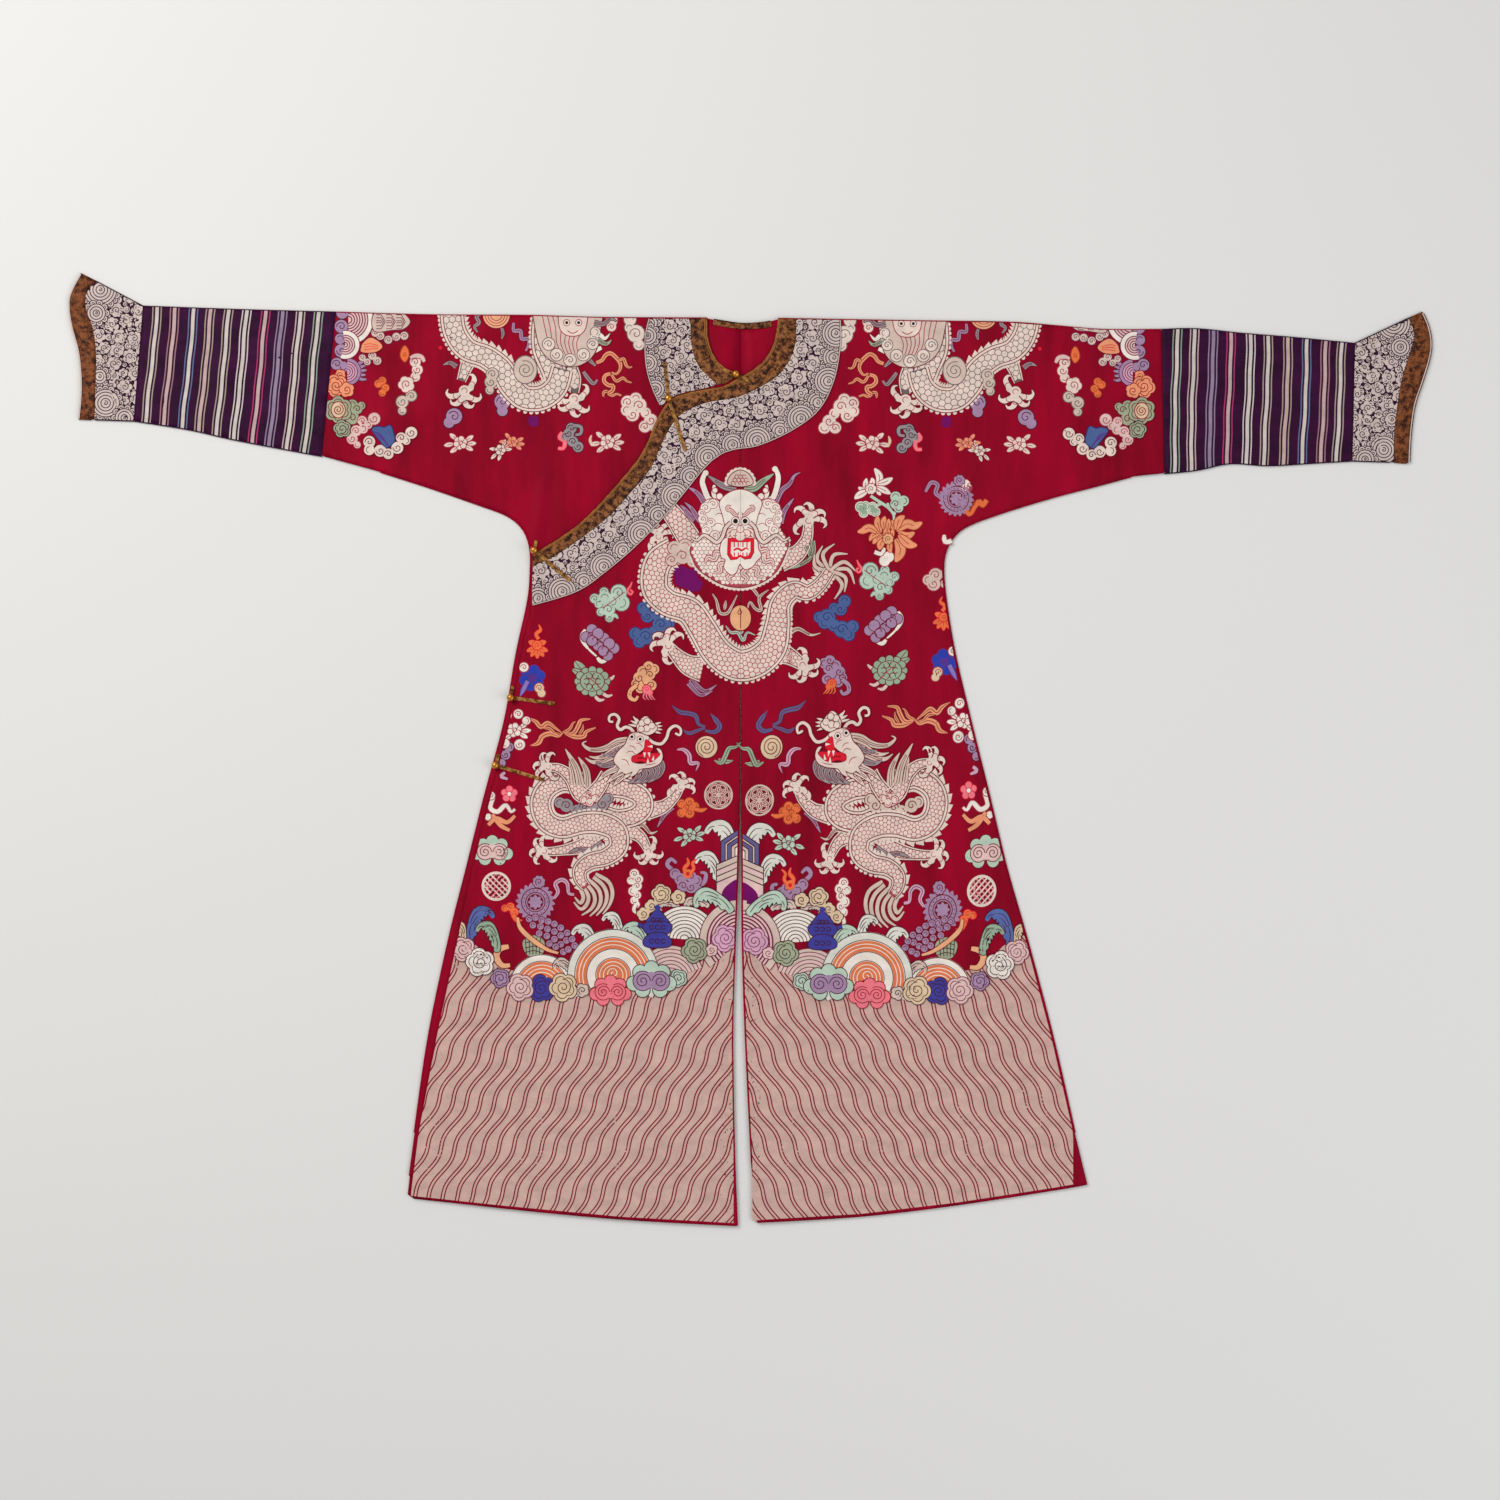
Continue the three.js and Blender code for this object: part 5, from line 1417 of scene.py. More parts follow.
# The left skirt dragon: paths and places in photo pixels
SKIRT_DRAGON_PX = {
    "inner_arm": [(646, 810), (662, 806), (674, 796), (680, 786)],
    "outer_leg": [(600, 838), (578, 846), (556, 850), (544, 850)],
    "inner_leg": [(626, 828), (640, 836), (648, 850)],
    "leg_hair_top": [(602, 842), (590, 849), (578, 848), (568, 852)],
    "leg_hair_middle": [(600, 848), (590, 856), (578, 856)],
    "leg_hair_low": [(596, 852), (586, 859), (576, 860)],
    "inner_arm_hair": [(672, 806), (664, 814), (657, 826)],
    "inner_leg_hair": [(630, 826), (642, 824), (650, 832), (657, 830)],
    "tail_hairs": [[(595, 873), (607.5, 880), (612, 891), (609.5, 903), (602.5, 913)],
                   [(593, 876), (602.5, 884), (606.5, 894), (604, 905), (596, 914.5)],
                   [(590, 880), (598, 888), (600.5, 898), (597.5, 907), (589.5, 915)],
                   [(587, 884), (593, 891.5), (594.5, 900), (590.5, 908), (581.5, 914)],
                   [(583.5, 887), (588, 895), (586.5, 903), (580.5, 908), (573.5, 901)],
                   [(580, 888), (583, 896), (580, 902), (574.5, 896)]],
    "loop": [(598, 790), (610, 787), (626, 788), (640, 795), (643, 806), (634, 815), (616, 818),
             (600, 812)],
    "cloud": (586, 803),
    "trunk": [(580, 784), (562, 780), (546, 788), (540, 803), (546, 820), (562, 827), (582, 822),
              (600, 822), (616, 830), (618, 846), (606, 856), (590, 860), (580, 868), (580, 878),
              (586, 886)],
    "outer_arm": [(592, 798), (580, 792), (572, 778), (560, 768), (548, 766)],
    "neck": [(606, 772), (600, 784), (590, 796)],
    "arm_hair_low": [(574, 782), (572, 770), (569, 758)],
    "arm_hair_middle": [(580, 784), (576, 767), (565, 748)],
    "arm_hair_top": [(587, 786), (586, 770), (578, 756)],
    "arm_cloud": (588, 800),
    "face": (635.5, 736.8),
}


def skirt_dragon(cloud):
    """Drawn at the left dragon's place."""
    px = SKIRT_DRAGON_PX
    with raised(1):
        limb(spots(px["inner_arm"]), [14, 11, 8, 6], 75, 0.95)
        limb(spots(px["outer_leg"]), [15, 12, 8, 6], 180, 0.95)
        limb(spots(px["inner_leg"]), [13, 9, 6], -70, 0.95)
        locks([spots(px["leg_hair_top"]), spots(px["leg_hair_middle"]),
               spots(px["leg_hair_low"])], "grey", 4, "wine", 9)
        locks([spots(px["inner_arm_hair"])], "lilac")
        locks([spots(px["inner_leg_hair"])], "bone", 4)
        for k, points in enumerate(px["tail_hairs"]):
            tail(spots(points), 5.6, "bone", "wine", 2 * (k % 2), (1, 0.35))
    with raised(6):
        body(spots(px["loop"]), [13, 14, 14.5, 14.5, 14.5, 14, 14, 13], fins=-1, beads=1, pitch=6.4)
    with placed(*px["cloud"], lift=11):
        lobes([(-40, 2, 8, 0), (32, 8, 8, 0), (-30, -2, 10, 1), (24, 0, 10, -1), (-14, -10, 9, 0),
               (12, -8, 9, 0), (-4, -4, 9, 1)], cloud)
    with raised(14):
        body(spots(px["trunk"]),
             [12, 13.5, 14.5, 15, 15, 15, 15, 16, 16.5, 15.5, 14, 12.5, 11.5, 10, 7], fins=-1,
             beads=1, pitch=6.4)
    with raised(19):
        limb(spots(px["outer_arm"]), [12, 13, 11, 8, 6], 165, 0.95, 0)
        body(spots(px["neck"]), [9, 11, 13], fins=0, beads=0, lev=1, pitch=6.4)
        locks([spots(px["arm_hair_low"]), spots(px["arm_hair_middle"]),
               spots(px["arm_hair_top"])], "bone", 4, "wine", 12)
        with placed(*px["arm_cloud"], lift=6):
            lobes([(-8, 2, 5, 0), (2, -2, 5.5, 0), (10, 4, 5, 0)], "cream", "rose_line")
    with placed(*px["face"], lift=28):
        face_side()


# The left shoulder dragon: paths and places in photo pixels
SHOULDER_DRAGON_PX = {
    "outer_arm_hair": [(456, 366), (450, 362), (443, 364)],
    "outer_arm": [(472, 352), (466, 366), (461, 380)],
    "outer_claw": (464, 390),
    "inner_arm": [(568, 366), (574, 378), (574, 392)],
    "inner_claw": (574, 398),
    "neck": [(552, 300), (546, 320), (545, 346), (552, 366), (556, 384), (545, 396)],
    "trunk": [(451, 305), (454, 330), (466, 348), (486, 356), (501, 368), (510, 384), (524, 397),
              (542, 397), (556, 386), (562, 368)],
    "breast_cloud": (492, 380),
    "coil": (525, 369),
    "face": (571, 334),
    "pearl": (496, 314),
    "curl": (502, 402),
    "far_curl": (452, 416),
}


def shoulder_dragon():
    """Drawn at the left shoulder's place. The shoulder line cuts it off."""
    px = SHOULDER_DRAGON_PX
    net = {"net": "moss_line", "gap": 0.062}
    with raised(1):
        locks([spots(px["outer_arm_hair"])], "grey")
        body(spots(px["outer_arm"]), [13, 10, 7], fins=0, beads=0, pitch=8, **net)
        with placed(*px["outer_claw"], -80, 1.15, lift=5):
            claw()
        body(spots(px["inner_arm"]), [13, 10, 7], fins=0, beads=0, pitch=8, **net)
        with placed(*px["inner_claw"], -95, 1.15, lift=5):
            claw()
    with raised(5):
        body(spots(px["neck"]), [20, 20, 20, 19, 17, 15], fins=0, beads=-1, pitch=9.4, **net)
    with raised(9):
        body(spots(px["trunk"]),
             [17, 17, 17, 16, 17, 18, 18, 18, 17, 16], fins=1, beads=-1, pitch=9.4, **net)
    with placed(*px["breast_cloud"], lift=14):
        lobes([(0, 10, 9, 1), (-2, -2, 9, -1), (-4, -14, 6, 0)], "bone", "moss_line")
    with placed(*px["coil"], lift=18):
        disc(0, 0, 17 + LINE, "moss_line", 0, 24, 1.2)
        disc(0, 0, 17, "bone", 1, 24, 1.2)
        spiral(0, 0, 14, "moss_line", 2, 2.3, LINE)
    with placed(*px["face"], lift=22):
        outlined([(-50, 60), (-52, 0), (-36, -34), (0, -48), (30, -34), (42, 0), (40, 60)], "bone",
                 "wine")
        for k in range(8):
            stroke([(-46 + 7 * k, 40), (-40 + 8 * k, 12), (-34 + 6 * k, -12), (-24 + 5 * k, -30)], 1.3,
                   "rose_line", 2)
        lobes([(-34, -14, 9, 1), (-22, -30, 9, -1), (-2, -38, 9, 1), (18, -30, 9, -1),
               (32, -14, 8, 1), (36, 4, 7, 0)], "cream", "moss_line", 2)
        outlined([(-14, 40), (-18, 14), (-8, 0), (12, 0), (22, 14), (20, 40)], "cream", "rose_line", 16)
        for s in (-1, 1):
            ringed(2 + s * 9, 18, 4.2, "pale", "rose_line", 18, 14, 1.2)
            disc(2 + s * 9, 18, 2.4, "black", 20, 10)
        stroke([(-6, 6), (2, 2), (10, 6)], 1.4, "rose_line", 18)
        tail([(30, -4), (42, 0), (50, -6), (58, 2)], 6, "pale", "wine", 1)
        locks([[(34, 18), (48, 16), (58, 24), (68, 20)], [(36, 34), (50, 36), (62, 44)]], "grey", 2)
        locks([[(40, -8), (52, -14), (60, -8)]], "green", 2)
    with placed(*px["pearl"], lift=2):
        ringed(0, 0, 20, "peach", "wine", 2, 26)
        for r in (16, 12, 8):
            arc(0, 0, r, r + LINE, "rose_line", 4, 180, 360, 16)
        ribbon([(-20, 2), (-30, -2), (-26, -12), (-33, -18), (-28, -26)], 5.5, "grey", "wine", 0,
               (0.8, 0.4))
        ribbon([(8, -20), (10, -28), (8, -36)], 4.5, "grey", "wine", 0, (0.8, 0.4))
        ribbon([(26, -12), (26, -24), (36, -24), (38, -36), (48, -36), (48, -46), (44, -54)], 5.5,
               "lilac", "wine", 0, (0.6, 0.5))
        ribbon([(20, 6), (30, 2), (36, 8)], 5, "orange", "wine", 0, (0.8, 0.4))
    with placed(*px["curl"], lift=3):
        lobes([(0, -12, 8, 0), (0, 2, 12, 1)], "lilac", "ink")
    with placed(*px["far_curl"], -30, lift=3):
        lobes([(0, -10, 8, 0), (2, 2, 12, 1)], "lilac", "ink")


# Waves, rocks and the standing water at the hem


def mirrored(draw, down=0, tall=1.0, lean=0.0, across=0.0):
    """Draws motifs of the left half at their places, and again mirrored on the right.

    There they can be drawn taller, leaning, and moved across in millimetres and down in pixels.
    draw is called with "left" or "right", for what differs between the sides.
    """
    draw("left")
    x, _ = spot(MIDDLE_PX, 0)
    with local(2 * x - across, -down * PHOTO_MM, flip=True):
        art.turn = np.array([[-1, 0], [-lean, tall]])
        draw("right")


# The wavy lines: pitch, slant, wavelength and swing, distance between a pair's lines, line width
WATER = {"pitch": 21.5, "lean": 0.55, "period": 70.0, "swing": 4.2, "apart": 4.8, "line": 1.9}


# The standing water: its upper and lower edge, and how far its lines run, in photo pixels
WATER_PX = {
    "crest": [(760, 925), (739.5, 930), (700, 945), (668, 975), (620, 975), (560, 978), (500, 965),
              (460, 935), (380, 930)],
    "foot": [(330, 1270), (760, 1270)],
    "lines_y": (1260, 915),
    "lines_x": (370, 745),
}


def water():
    """The lower skirt's ground with its slanting pairs of wavy lines."""
    px = WATER_PX
    crest = spline(spots(px["crest"]))
    outline = np.vstack([crest, spots(px["foot"])])
    low_y, high_y = (spot(0, y)[1] for y in px["lines_y"])
    outer_x, inner_x = (spot(x, 0)[0] for x in px["lines_x"])
    for s in (1, -1):
        with local(0 if s > 0 else 2 * spot(MIDDLE_PX, 0)[0], 0, flip=s < 0):
            cells, faces = flat_mesh(outline, COARSE_EDGE)
            art.add(cells[faces], "lishui", 0)
            y = np.arange(low_y, high_y, 4.0)
            for k in range(-30, 24):
                x = k * WATER["pitch"] + WATER["lean"] * (y + 300)
                phase = 0.35 * math.sin(k * 0.9)
                x = x + WATER["swing"] * np.sin(2 * math.pi * y / WATER["period"] + phase)
                path = np.c_[x - 150, y]
                keep = inside(path, outline) & (path[:, 0] < inner_x) & (path[:, 0] > outer_x)
                if keep.sum() < 3:
                    continue
                a, b = int(np.argmax(keep)), len(keep) - int(np.argmax(keep[::-1]))
                for off in (-WATER["apart"] / 2, WATER["apart"] / 2):
                    band(path[a:b], off - WATER["line"] / 2, off + WATER["line"] / 2, "water_line", 1)


def chevron(half, apex, foot, slope, tint, lev):
    """One half of a peaked band at the vent: half width, apex and foot in pixels."""
    c = MIDDLE_PX
    for rim, colour, up in ((0, "ink", 0), (0.9, tint, 1)):
        shape(spots([(c, apex + rim), (c - half + rim, apex + rim + half * slope),
                     (c - half + rim, foot - rim), (c, foot - rim)]), colour, lev + up)


# Waves of the left half: px, py, turn, size, tint, level
BREAKERS = [(732, 862, 2, 1.12, "mint_white", 2), (719, 884, 8, 0.92, "mint_white", 5),
            (731, 910, 44, 0.98, "mint", 48), (708, 905, 62, 0.6, "bone", 12),
            (594, 955, 6, 0.86, "mint_white", 26), (620, 938, 4, 0.72, "mint_white", 29),
            (646, 954, 8, 0.9, "mint", 32), (470, 941, -4, 0.95, "blue", 20),
            (497, 950, 6, 0.8, "green", 23), (462, 944, -8, 0.6, "sand", 26),
            (575, 975, 30, 0.62, "bone", 30), (678, 905, 66, 0.5, "bone", 12)]
# Nested peaks of the rock: half width, apex, foot, slope, tint
PEAKS = [(19.5, 827, 868, 0.66, "slate"), (15.2, 832, 868, 0.66, "bone"),
         (13.0, 834.5, 868, 0.66, "slate"), (9.0, 839, 868, 0.66, "bone"),
         (5.5, 843, 868, 0.66, "pale"), (24, 853, 878, 0.42, "bone"),
         (24, 859, 884, 0.42, "pink_white"), (24, 865, 890, 0.42, "bone"),
         (24, 871, 896, 0.42, "pink_white")]
# Cloud heads along the water: px, py, radius, tint, spin
HEADS = [(463, 948, 18, "pink_white", 1), (480, 961, 21, "pale", -1), (500, 977, 14, "lilac", 1),
         (520, 986, 20, "pink_white", 1), (541, 987, 20, "vase_blue", -1), (563, 986, 21, "sand", 1),
         (678, 977, 13, "mint", 1), (694, 949, 19, "moss", 1), (711, 949, 9, "pink_white", -1),
         (725, 937, 20, "pink_lilac", 1), (582, 989, 10, "bone", 1)]
SAND_HEADS = [(661, 893, 15), (678, 896, 11), (651, 905, 10), (643, 913, 10)]


# Fans and clouds of the left rocks, in photo pixels
ROCKS_PX = {
    "stone": [(739.5, 880), (727, 885), (722, 894), (727, 902), (739.5, 908)],
    "fan": (684, 938),
    "low_fan": (670, 978),
    "middle_fan": (739.5, 939),
    "orange_fan": (612.8, 974),
    "orange_curl": (612.8, 972),
    "far_fan": (541.7, 986),
    "pink_cloud": (610, 990),
    "mint_cloud": (651, 979),
}


def rocks(side):
    """Rock, waves, arches and cloud heads over the water, left half."""
    px = ROCKS_PX
    for x, y, turn, size, tint, lev in BREAKERS:
        with placed(x, y, turn, lift=lev):
            breaker(tint, size, "ink", tint == "blue")
    for k, (half, apex, foot, slope, tint) in enumerate(PEAKS):
        chevron(half, apex, foot, slope, tint, 8 + 2 * k)
    outlined(spots(px["stone"]), "purple", "purple", 27)
    arches(px["fan"], even_rings(49, 5, 5.4), ["pale"] * 12, "ink", 5, 175, 16)
    for x, y, r in SAND_HEADS:
        with placed(x, y, lift=20):
            rosette("sand", r, "ink", -1)
    arches(px["low_fan"], even_rings(50, 8, 5.6), ["bone", "pink_white"] * 6, "plum", 20, 170, 20)
    arches(px["middle_fan"], [60, *even_rings(48, 12, 5.2)], ["bone", *["pink_white"] * 8], "plum",
           80, 222, 30, 2.4)
    arches(px["orange_fan"], [68, 56, 50.5, 45], ["mint_white", *["orange_thread"] * 3], "pale", -30,
           210, 36)
    arches(px["orange_fan"], [39, 25, 19.5, 14], ["pale", *["orange_thread"] * 3], "pale", -30, 210, 40)
    with placed(*px["orange_curl"], lift=44):
        spiral(0, 0, 9, "pale", 0, 1.6, LINE)
    with placed(*px["orange_fan"], lift=44):
        for r in (68, 57, 39, 25.6):
            arc(0, 0, r, r + 1.1, "ink", 0, -30, 210, 36)
    arches(px["far_fan"], [48, 38, 32.6, 27.2, 21.8, 16], ["pale", *["orange_thread"] * 4, "bone"],
           "pale", 10, 170, 28)
    with placed(*px["far_fan"], lift=31):
        for r in (48, 38.6):
            arc(0, 0, r, r + 1.1, "ink", 0, 10, 170, 30)
    for k, (x, y, r, tint, spin) in enumerate(HEADS):
        with placed(x, y, lift=46 + 5 * (k % 2)):
            rosette(tint, r, "plum" if tint in ("pink_white", "pink_lilac") else "ink", spin)
    with placed(*px["pink_cloud"], lift=56):
        twin("pink", "pink", 15, "deep_red")
    with placed(*px["mint_cloud"], lift=56):
        twin("mint", "lilac", 18, "ink")


def vase():
    """A small covered vase on a foot, with a spout."""
    tail([(-14, -4), (-22, 2), (-28, 4)], 5, "vase_blue", "ink", 0, (1, 0.8))
    outlined([(-12, 13), (0, 25), (12, 13), (15, 5), (-15, 5)], "vase_blue", "ink")
    outlined([(-20, 3), (-8, 8), (8, 8), (20, 3), (14, -9), (-14, -9)], "vase_blue", "ink", 2)
    outlined([(-9, -9), (9, -9), (20, -20), (14, -28), (-14, -28), (-20, -20)], "vase_blue", "ink", 4)
    disc(0, 28, 4, "vase_blue", 1, 10)
    for y, w in ((10, 8), (0, 12), (-20, 12)):
        for x in (-w, 0, w):
            arc(x * 0.7, y, 2.4, 3.8, "ink", 6, 20, 340, 8)


def basket():
    """A lilac flower spray on a curved bar, over a piece of lattice."""
    outlined([(-42, -4), (-24, 6), (-8, -4), (-12, -24), (-34, -26)], "moss", "wine", 0)
    for k in range(5):
        stroke([(-38 + 6 * k, 2), (-36 + 5 * k, -24)], LINE, "ink", 2)
    for y in (-6, -14, -21):
        stroke([(-38, y), (-24, y + 3), (-11, y - 1)], LINE, "ink", 3)
    tail([(-50, 34), (-46, 18), (-28, 0), (-4, -16), (14, -22)], 7, "peach", "wine", 6, (0.6, 0.5))
    grapes = ((-32, 32), (-22, 34), (-12, 30), (-2, 28), (8, 24), (18, 18), (28, 10), (36, 0),
              (40, -10), (-26, 22), (-14, 20), (-3, 16), (8, 12), (18, 6), (27, -2), (-16, 9),
              (-4, 5), (8, 0), (18, -8), (30, -16), (0, -7), (10, -12), (22, -20))
    for k, (x, y) in enumerate(grapes):
        ringed(x, y, 5.2, "lilac", "wine", 4 + 2 * (k % 2), 10, 1.2)
        arc(x, y, 2, 3, "wine", 8, 0, 250, 8)


def chain(rows, tint, line, lev=0):
    """Cloud heads that merge, at pixels: px, py, radius in mm, spin."""
    lobes([(*spot(px, py), r, spin) for px, py, r, spin in rows], tint, line, lev)


# The rocks at the left sleeve, in photo pixels. Heads add a radius in mm and a spin.
SLEEVE_ROCKS_PX = {
    "outer_heads": [(342, 312, 9, 0), (341, 325.6, 10, 1), (340, 338, 8, 0), (341, 350, 10, -1),
                    (336.5, 363, 9, 1), (343, 366, 8, 0)],
    "top_fan": (348, 319),
    "middle_fan": (345, 344),
    "low_fan": (347, 371),
    "bar_heads": [(375, 332, 6, 1), (380, 335, 6, -1), (388, 339, 6, 1), (396, 336, 6, -1),
                  (404, 335, 6, 1)],
    "bar": [(374, 313), (392, 312), (403, 313), (409.6, 321), (403, 328), (392, 329), (374, 330)],
    "stone_heads": [(362, 357, 5, 1), (367, 361, 5, -1), (372, 355, 6, 1), (377, 360, 6, -1)],
    "orange_stone": [(361, 347), (363, 342), (370, 337), (378, 340.5), (382, 346), (377, 350.5),
                     (369, 352), (361, 351)],
    "orange_rosette": (336, 385),
    "small_rosette": (346.5, 389),
    "top_rosette": (340, 374),
    "moss_heads": [(352, 404, 8, 0), (357, 408, 8, 1), (361, 405, 6, 0), (352, 417, 10, 1),
                   (347, 411, 9, 0)],
    "moss_wheel": (338, 409),
    "moss_rosette": (342, 428),
    "pink_heads": [(356, 430, 8, 1), (362, 420, 7, 1), (363, 428, 7, 0), (374, 418, 9, -1),
                   (368, 424, 6, 0), (352, 438, 8, -1), (357, 444, 5, 0)],
    "cream_heads": [(369, 441, 9, 1), (369, 449, 8, 0), (380, 450, 9, -1), (388, 453, 8, 1),
                    (397, 447, 9, -1), (401, 437, 8, 1), (411, 432, 9, -1), (406, 440, 6, 0)],
    "blue_stone": [(372, 429), (378, 426), (384, 427), (390, 425), (393, 432), (394, 440),
                   (388, 446), (384, 445), (380, 440)],
    "pink_curl": [(424, 361), (421, 356), (415, 355), (410, 357)],
    "curl_heads": [(415, 361, 8, 1), (417, 369, 8, -1), (415, 376, 7, 0)],
    "cream_rosette": (406, 383.5),
    "bone_heads": [(411, 395, 8, 1), (402, 401, 9, -1), (402, 410, 6, 0)],
    "orange_gem": [(404.5, 345), (408, 350), (408, 356), (404.5, 361), (400.5, 356), (401, 350)],
    "gem_curl": (404, 354),
    "orange_heads": [(378, 383, 5.5, 0), (382, 380, 5.5, 1), (385, 387, 5.5, -1), (382, 392, 5, 0)],
    "red_dot": (440, 347),
}


def fan_cluster():
    """The rocks and clouds at the left sleeve's end."""
    px = SLEEVE_ROCKS_PX
    chain(px["outer_heads"], "lilac", "ink", 2)
    arches(px["top_fan"], [37, *even_rings(28.5, 3, 4)], ["pale", *["pink_white"] * 8], "plum", -90,
           90, 6, 1.7)
    arches(px["middle_fan"], [21, *even_rings(13.5, 2, 3.6)], ["pale", *["pink_white"] * 5], "plum",
           -110, 100, 12, 1.5)
    for k in range(5):
        tail(spots([(352, 370), (360 + k % 2, 362 + 4 * k), (366 - k % 2, 360 + 4.6 * k)]), 5,
             "lilac", "ink", 8, (1, 0.5))
    arches(px["low_fan"], [20, *even_rings(14.5, 2, 3.6)], ["lilac", *["pink_lilac"] * 5], "plum",
           -90, 90, 10, 1.3)
    chain(px["bar_heads"], "bone", "plum", 8)
    outlined(spots(px["bar"]), "bone", "plum", 11)
    for k in range(3):
        for inset in (0, 3, 6):
            x = 376 + 10 * k
            stroke(spots([(x, 314 + inset), (x + 5, 314 + inset), (x + 9 - inset / 2, 321),
                          (x + 5, 328 - inset), (x, 328 - inset)]), 1.2, "plum", 13, (1, 1), 2.5,
                   False)
    chain(px["stone_heads"], "bone", "plum", 9)
    outlined(spots(px["orange_stone"]), "orange_cloth", "wine", 13)
    for k in range(3):
        stroke(spots([(364, 344 + 2.6 * k), (370, 343 + 2.6 * k), (378, 345 + 1.6 * k)]), 1.0, "red",
               15)
    with placed(*px["orange_rosette"], lift=14):
        rosette("orange_cloth", 17, "deep_red")
    with placed(*px["small_rosette"], lift=19):
        rosette("orange_cloth", 11, "deep_red", -1)
    with placed(*px["top_rosette"], lift=12):
        rosette("orange_cloth", 8, "deep_red")
    chain(px["moss_heads"], "moss", "wine", 20)
    with placed(*px["moss_wheel"], lift=23):
        rosette("moss", 20, "wine", 1, 6)
        disc(0, 0, 11.4, "deep_red", 5, 22, 1.15)
        disc(0, 0, 10, "sand", 6, 22, 1.15)
        spiral(0, 0, 8.4, "deep_red", 7, 2.2, 1.4)
    with placed(*px["moss_rosette"], lift=31):
        rosette("moss", 13, "ink", -1)
    chain(px["pink_heads"], "pink_white", "rose_line", 26)
    chain(px["cream_heads"], "cream", "wine", 29)
    outlined(spots(px["blue_stone"]), "steel", "navy_line", 32)
    for k in range(4):
        stroke(spots([(373 + 2 * k, 431 + 2 * k), (381 + k, 434 + 2 * k), (386 + k, 443 + k)]), 1.4,
               "violet", 34)
    tail(spots(px["pink_curl"]), 6, "pink_white", "rose_line", 6, (0.6, 0.6))
    chain(px["curl_heads"], "cream", "rose_line", 2)
    with placed(*px["cream_rosette"], lift=6):
        rosette("cream", 12, "rose_line")
    chain(px["bone_heads"], "bone", "moss_line", 2)
    outlined(spots(px["orange_gem"]), "orange", "rust", 1)
    with placed(*px["gem_curl"]):
        spiral(0, 0, 3.6, "rust", 3, 1.3, 1.0)
    chain(px["orange_heads"], "orange", "rust", 1)
    with placed(*px["red_dot"]):
        disc(0, 0, 3, "red", 0, 8)


# Between shoulder and collar, in photo pixels. Heads add a radius in mm and a spin.
NECK_PX = {
    "flames": [[(596, 362), (601.6, 359.6), (604.8, 354.8), (609.6, 352.4), (614.4, 355.6),
                (619.2, 361.2), (620, 367.6), (616, 373.2), (611.2, 371.6)],
               [(618.5, 360), (623.2, 358), (625.6, 364.4), (628.8, 366.8), (631.6, 366)],
               [(611.2, 374), (616, 380.4), (622.4, 377.2), (626.4, 380.4), (631.2, 382)],
               [(610, 373), (604.8, 374.8), (603.6, 380.4), (608, 384.4), (612.8, 385.2), (612, 390),
                (608, 392.4), (612, 394.8), (616, 393.2), (620.8, 394.8)],
               [(609, 391), (603.5, 391), (603, 396)]],
    "horn": [(587, 336), (585, 346), (592, 350), (601, 347)],
    "top_ribbon": [(596, 322), (598, 336), (601, 343)],
    "middle_ribbon": [(584, 352), (589, 359), (595, 365)],
    "low_ribbon": [(583, 371), (588, 378), (593, 383), (597, 379)],
    "collar_heads": [(629.6, 319, 9, 0), (635.5, 333, 13, 1), (629, 327, 7, 0), (638.4, 344, 8, 0)],
    "outer_heads": [(611, 320, 9, 0), (611, 326, 7, 1)],
}


def neck_flames():
    """Ribbons and clouds between the shoulder and the collar, left half."""
    px = NECK_PX
    for k, points in enumerate(px["flames"]):
        ribbon(spots(points), 6 if k % 3 == 0 else 4.6, "orange_cloth", "wine", 3 * (k % 2), (0.8, 0.4))
    tail(spots(px["horn"]), 9, "pale", "wine", 1, (0.7, 0.6))
    ribbon(spots(px["top_ribbon"]), 5.5, "grey", "wine", 0, (0.8, 0.5))
    ribbon(spots(px["middle_ribbon"]), 5.5, "grey", "wine", 4, (0.8, 0.5))
    ribbon(spots(px["low_ribbon"]), 5.5, "grey", "wine", 0, (0.8, 0.5))
    chain(px["collar_heads"], "cream", "moss_line", 2)
    chain(px["outer_heads"], "cream", "rose_line", 2)


# Motifs of the chest that don't stand level: the left pixel, then the right one
CHEST_PLACES = {"cloud": ((651, 626), (836, 619)), "mint": ((609, 599), (879, 577)),
                "peony": ((599.5, 642), (883, 624)), "medallion": ((592, 680.5), (889, 669.5)),
                "bat": ((641.5, 679), (836, 673)), "flame": ((537, 645), (943, 617)),
                "royal": ((532, 677), (944, 661))}


# Motifs by the collar and shoulder, in photo pixels
CHEST_PX = {
    "collar_cloud": (641, 413),
    "sprig": (460, 442),
    "pale_sprig": (500, 449),
    "orange_sprig": (512, 441),
    "grey_cloud": (571, 438),
    "inner_sprig": (607, 441),
    "stone": [(529, 417), (536, 416), (537, 424), (530, 424)],
}


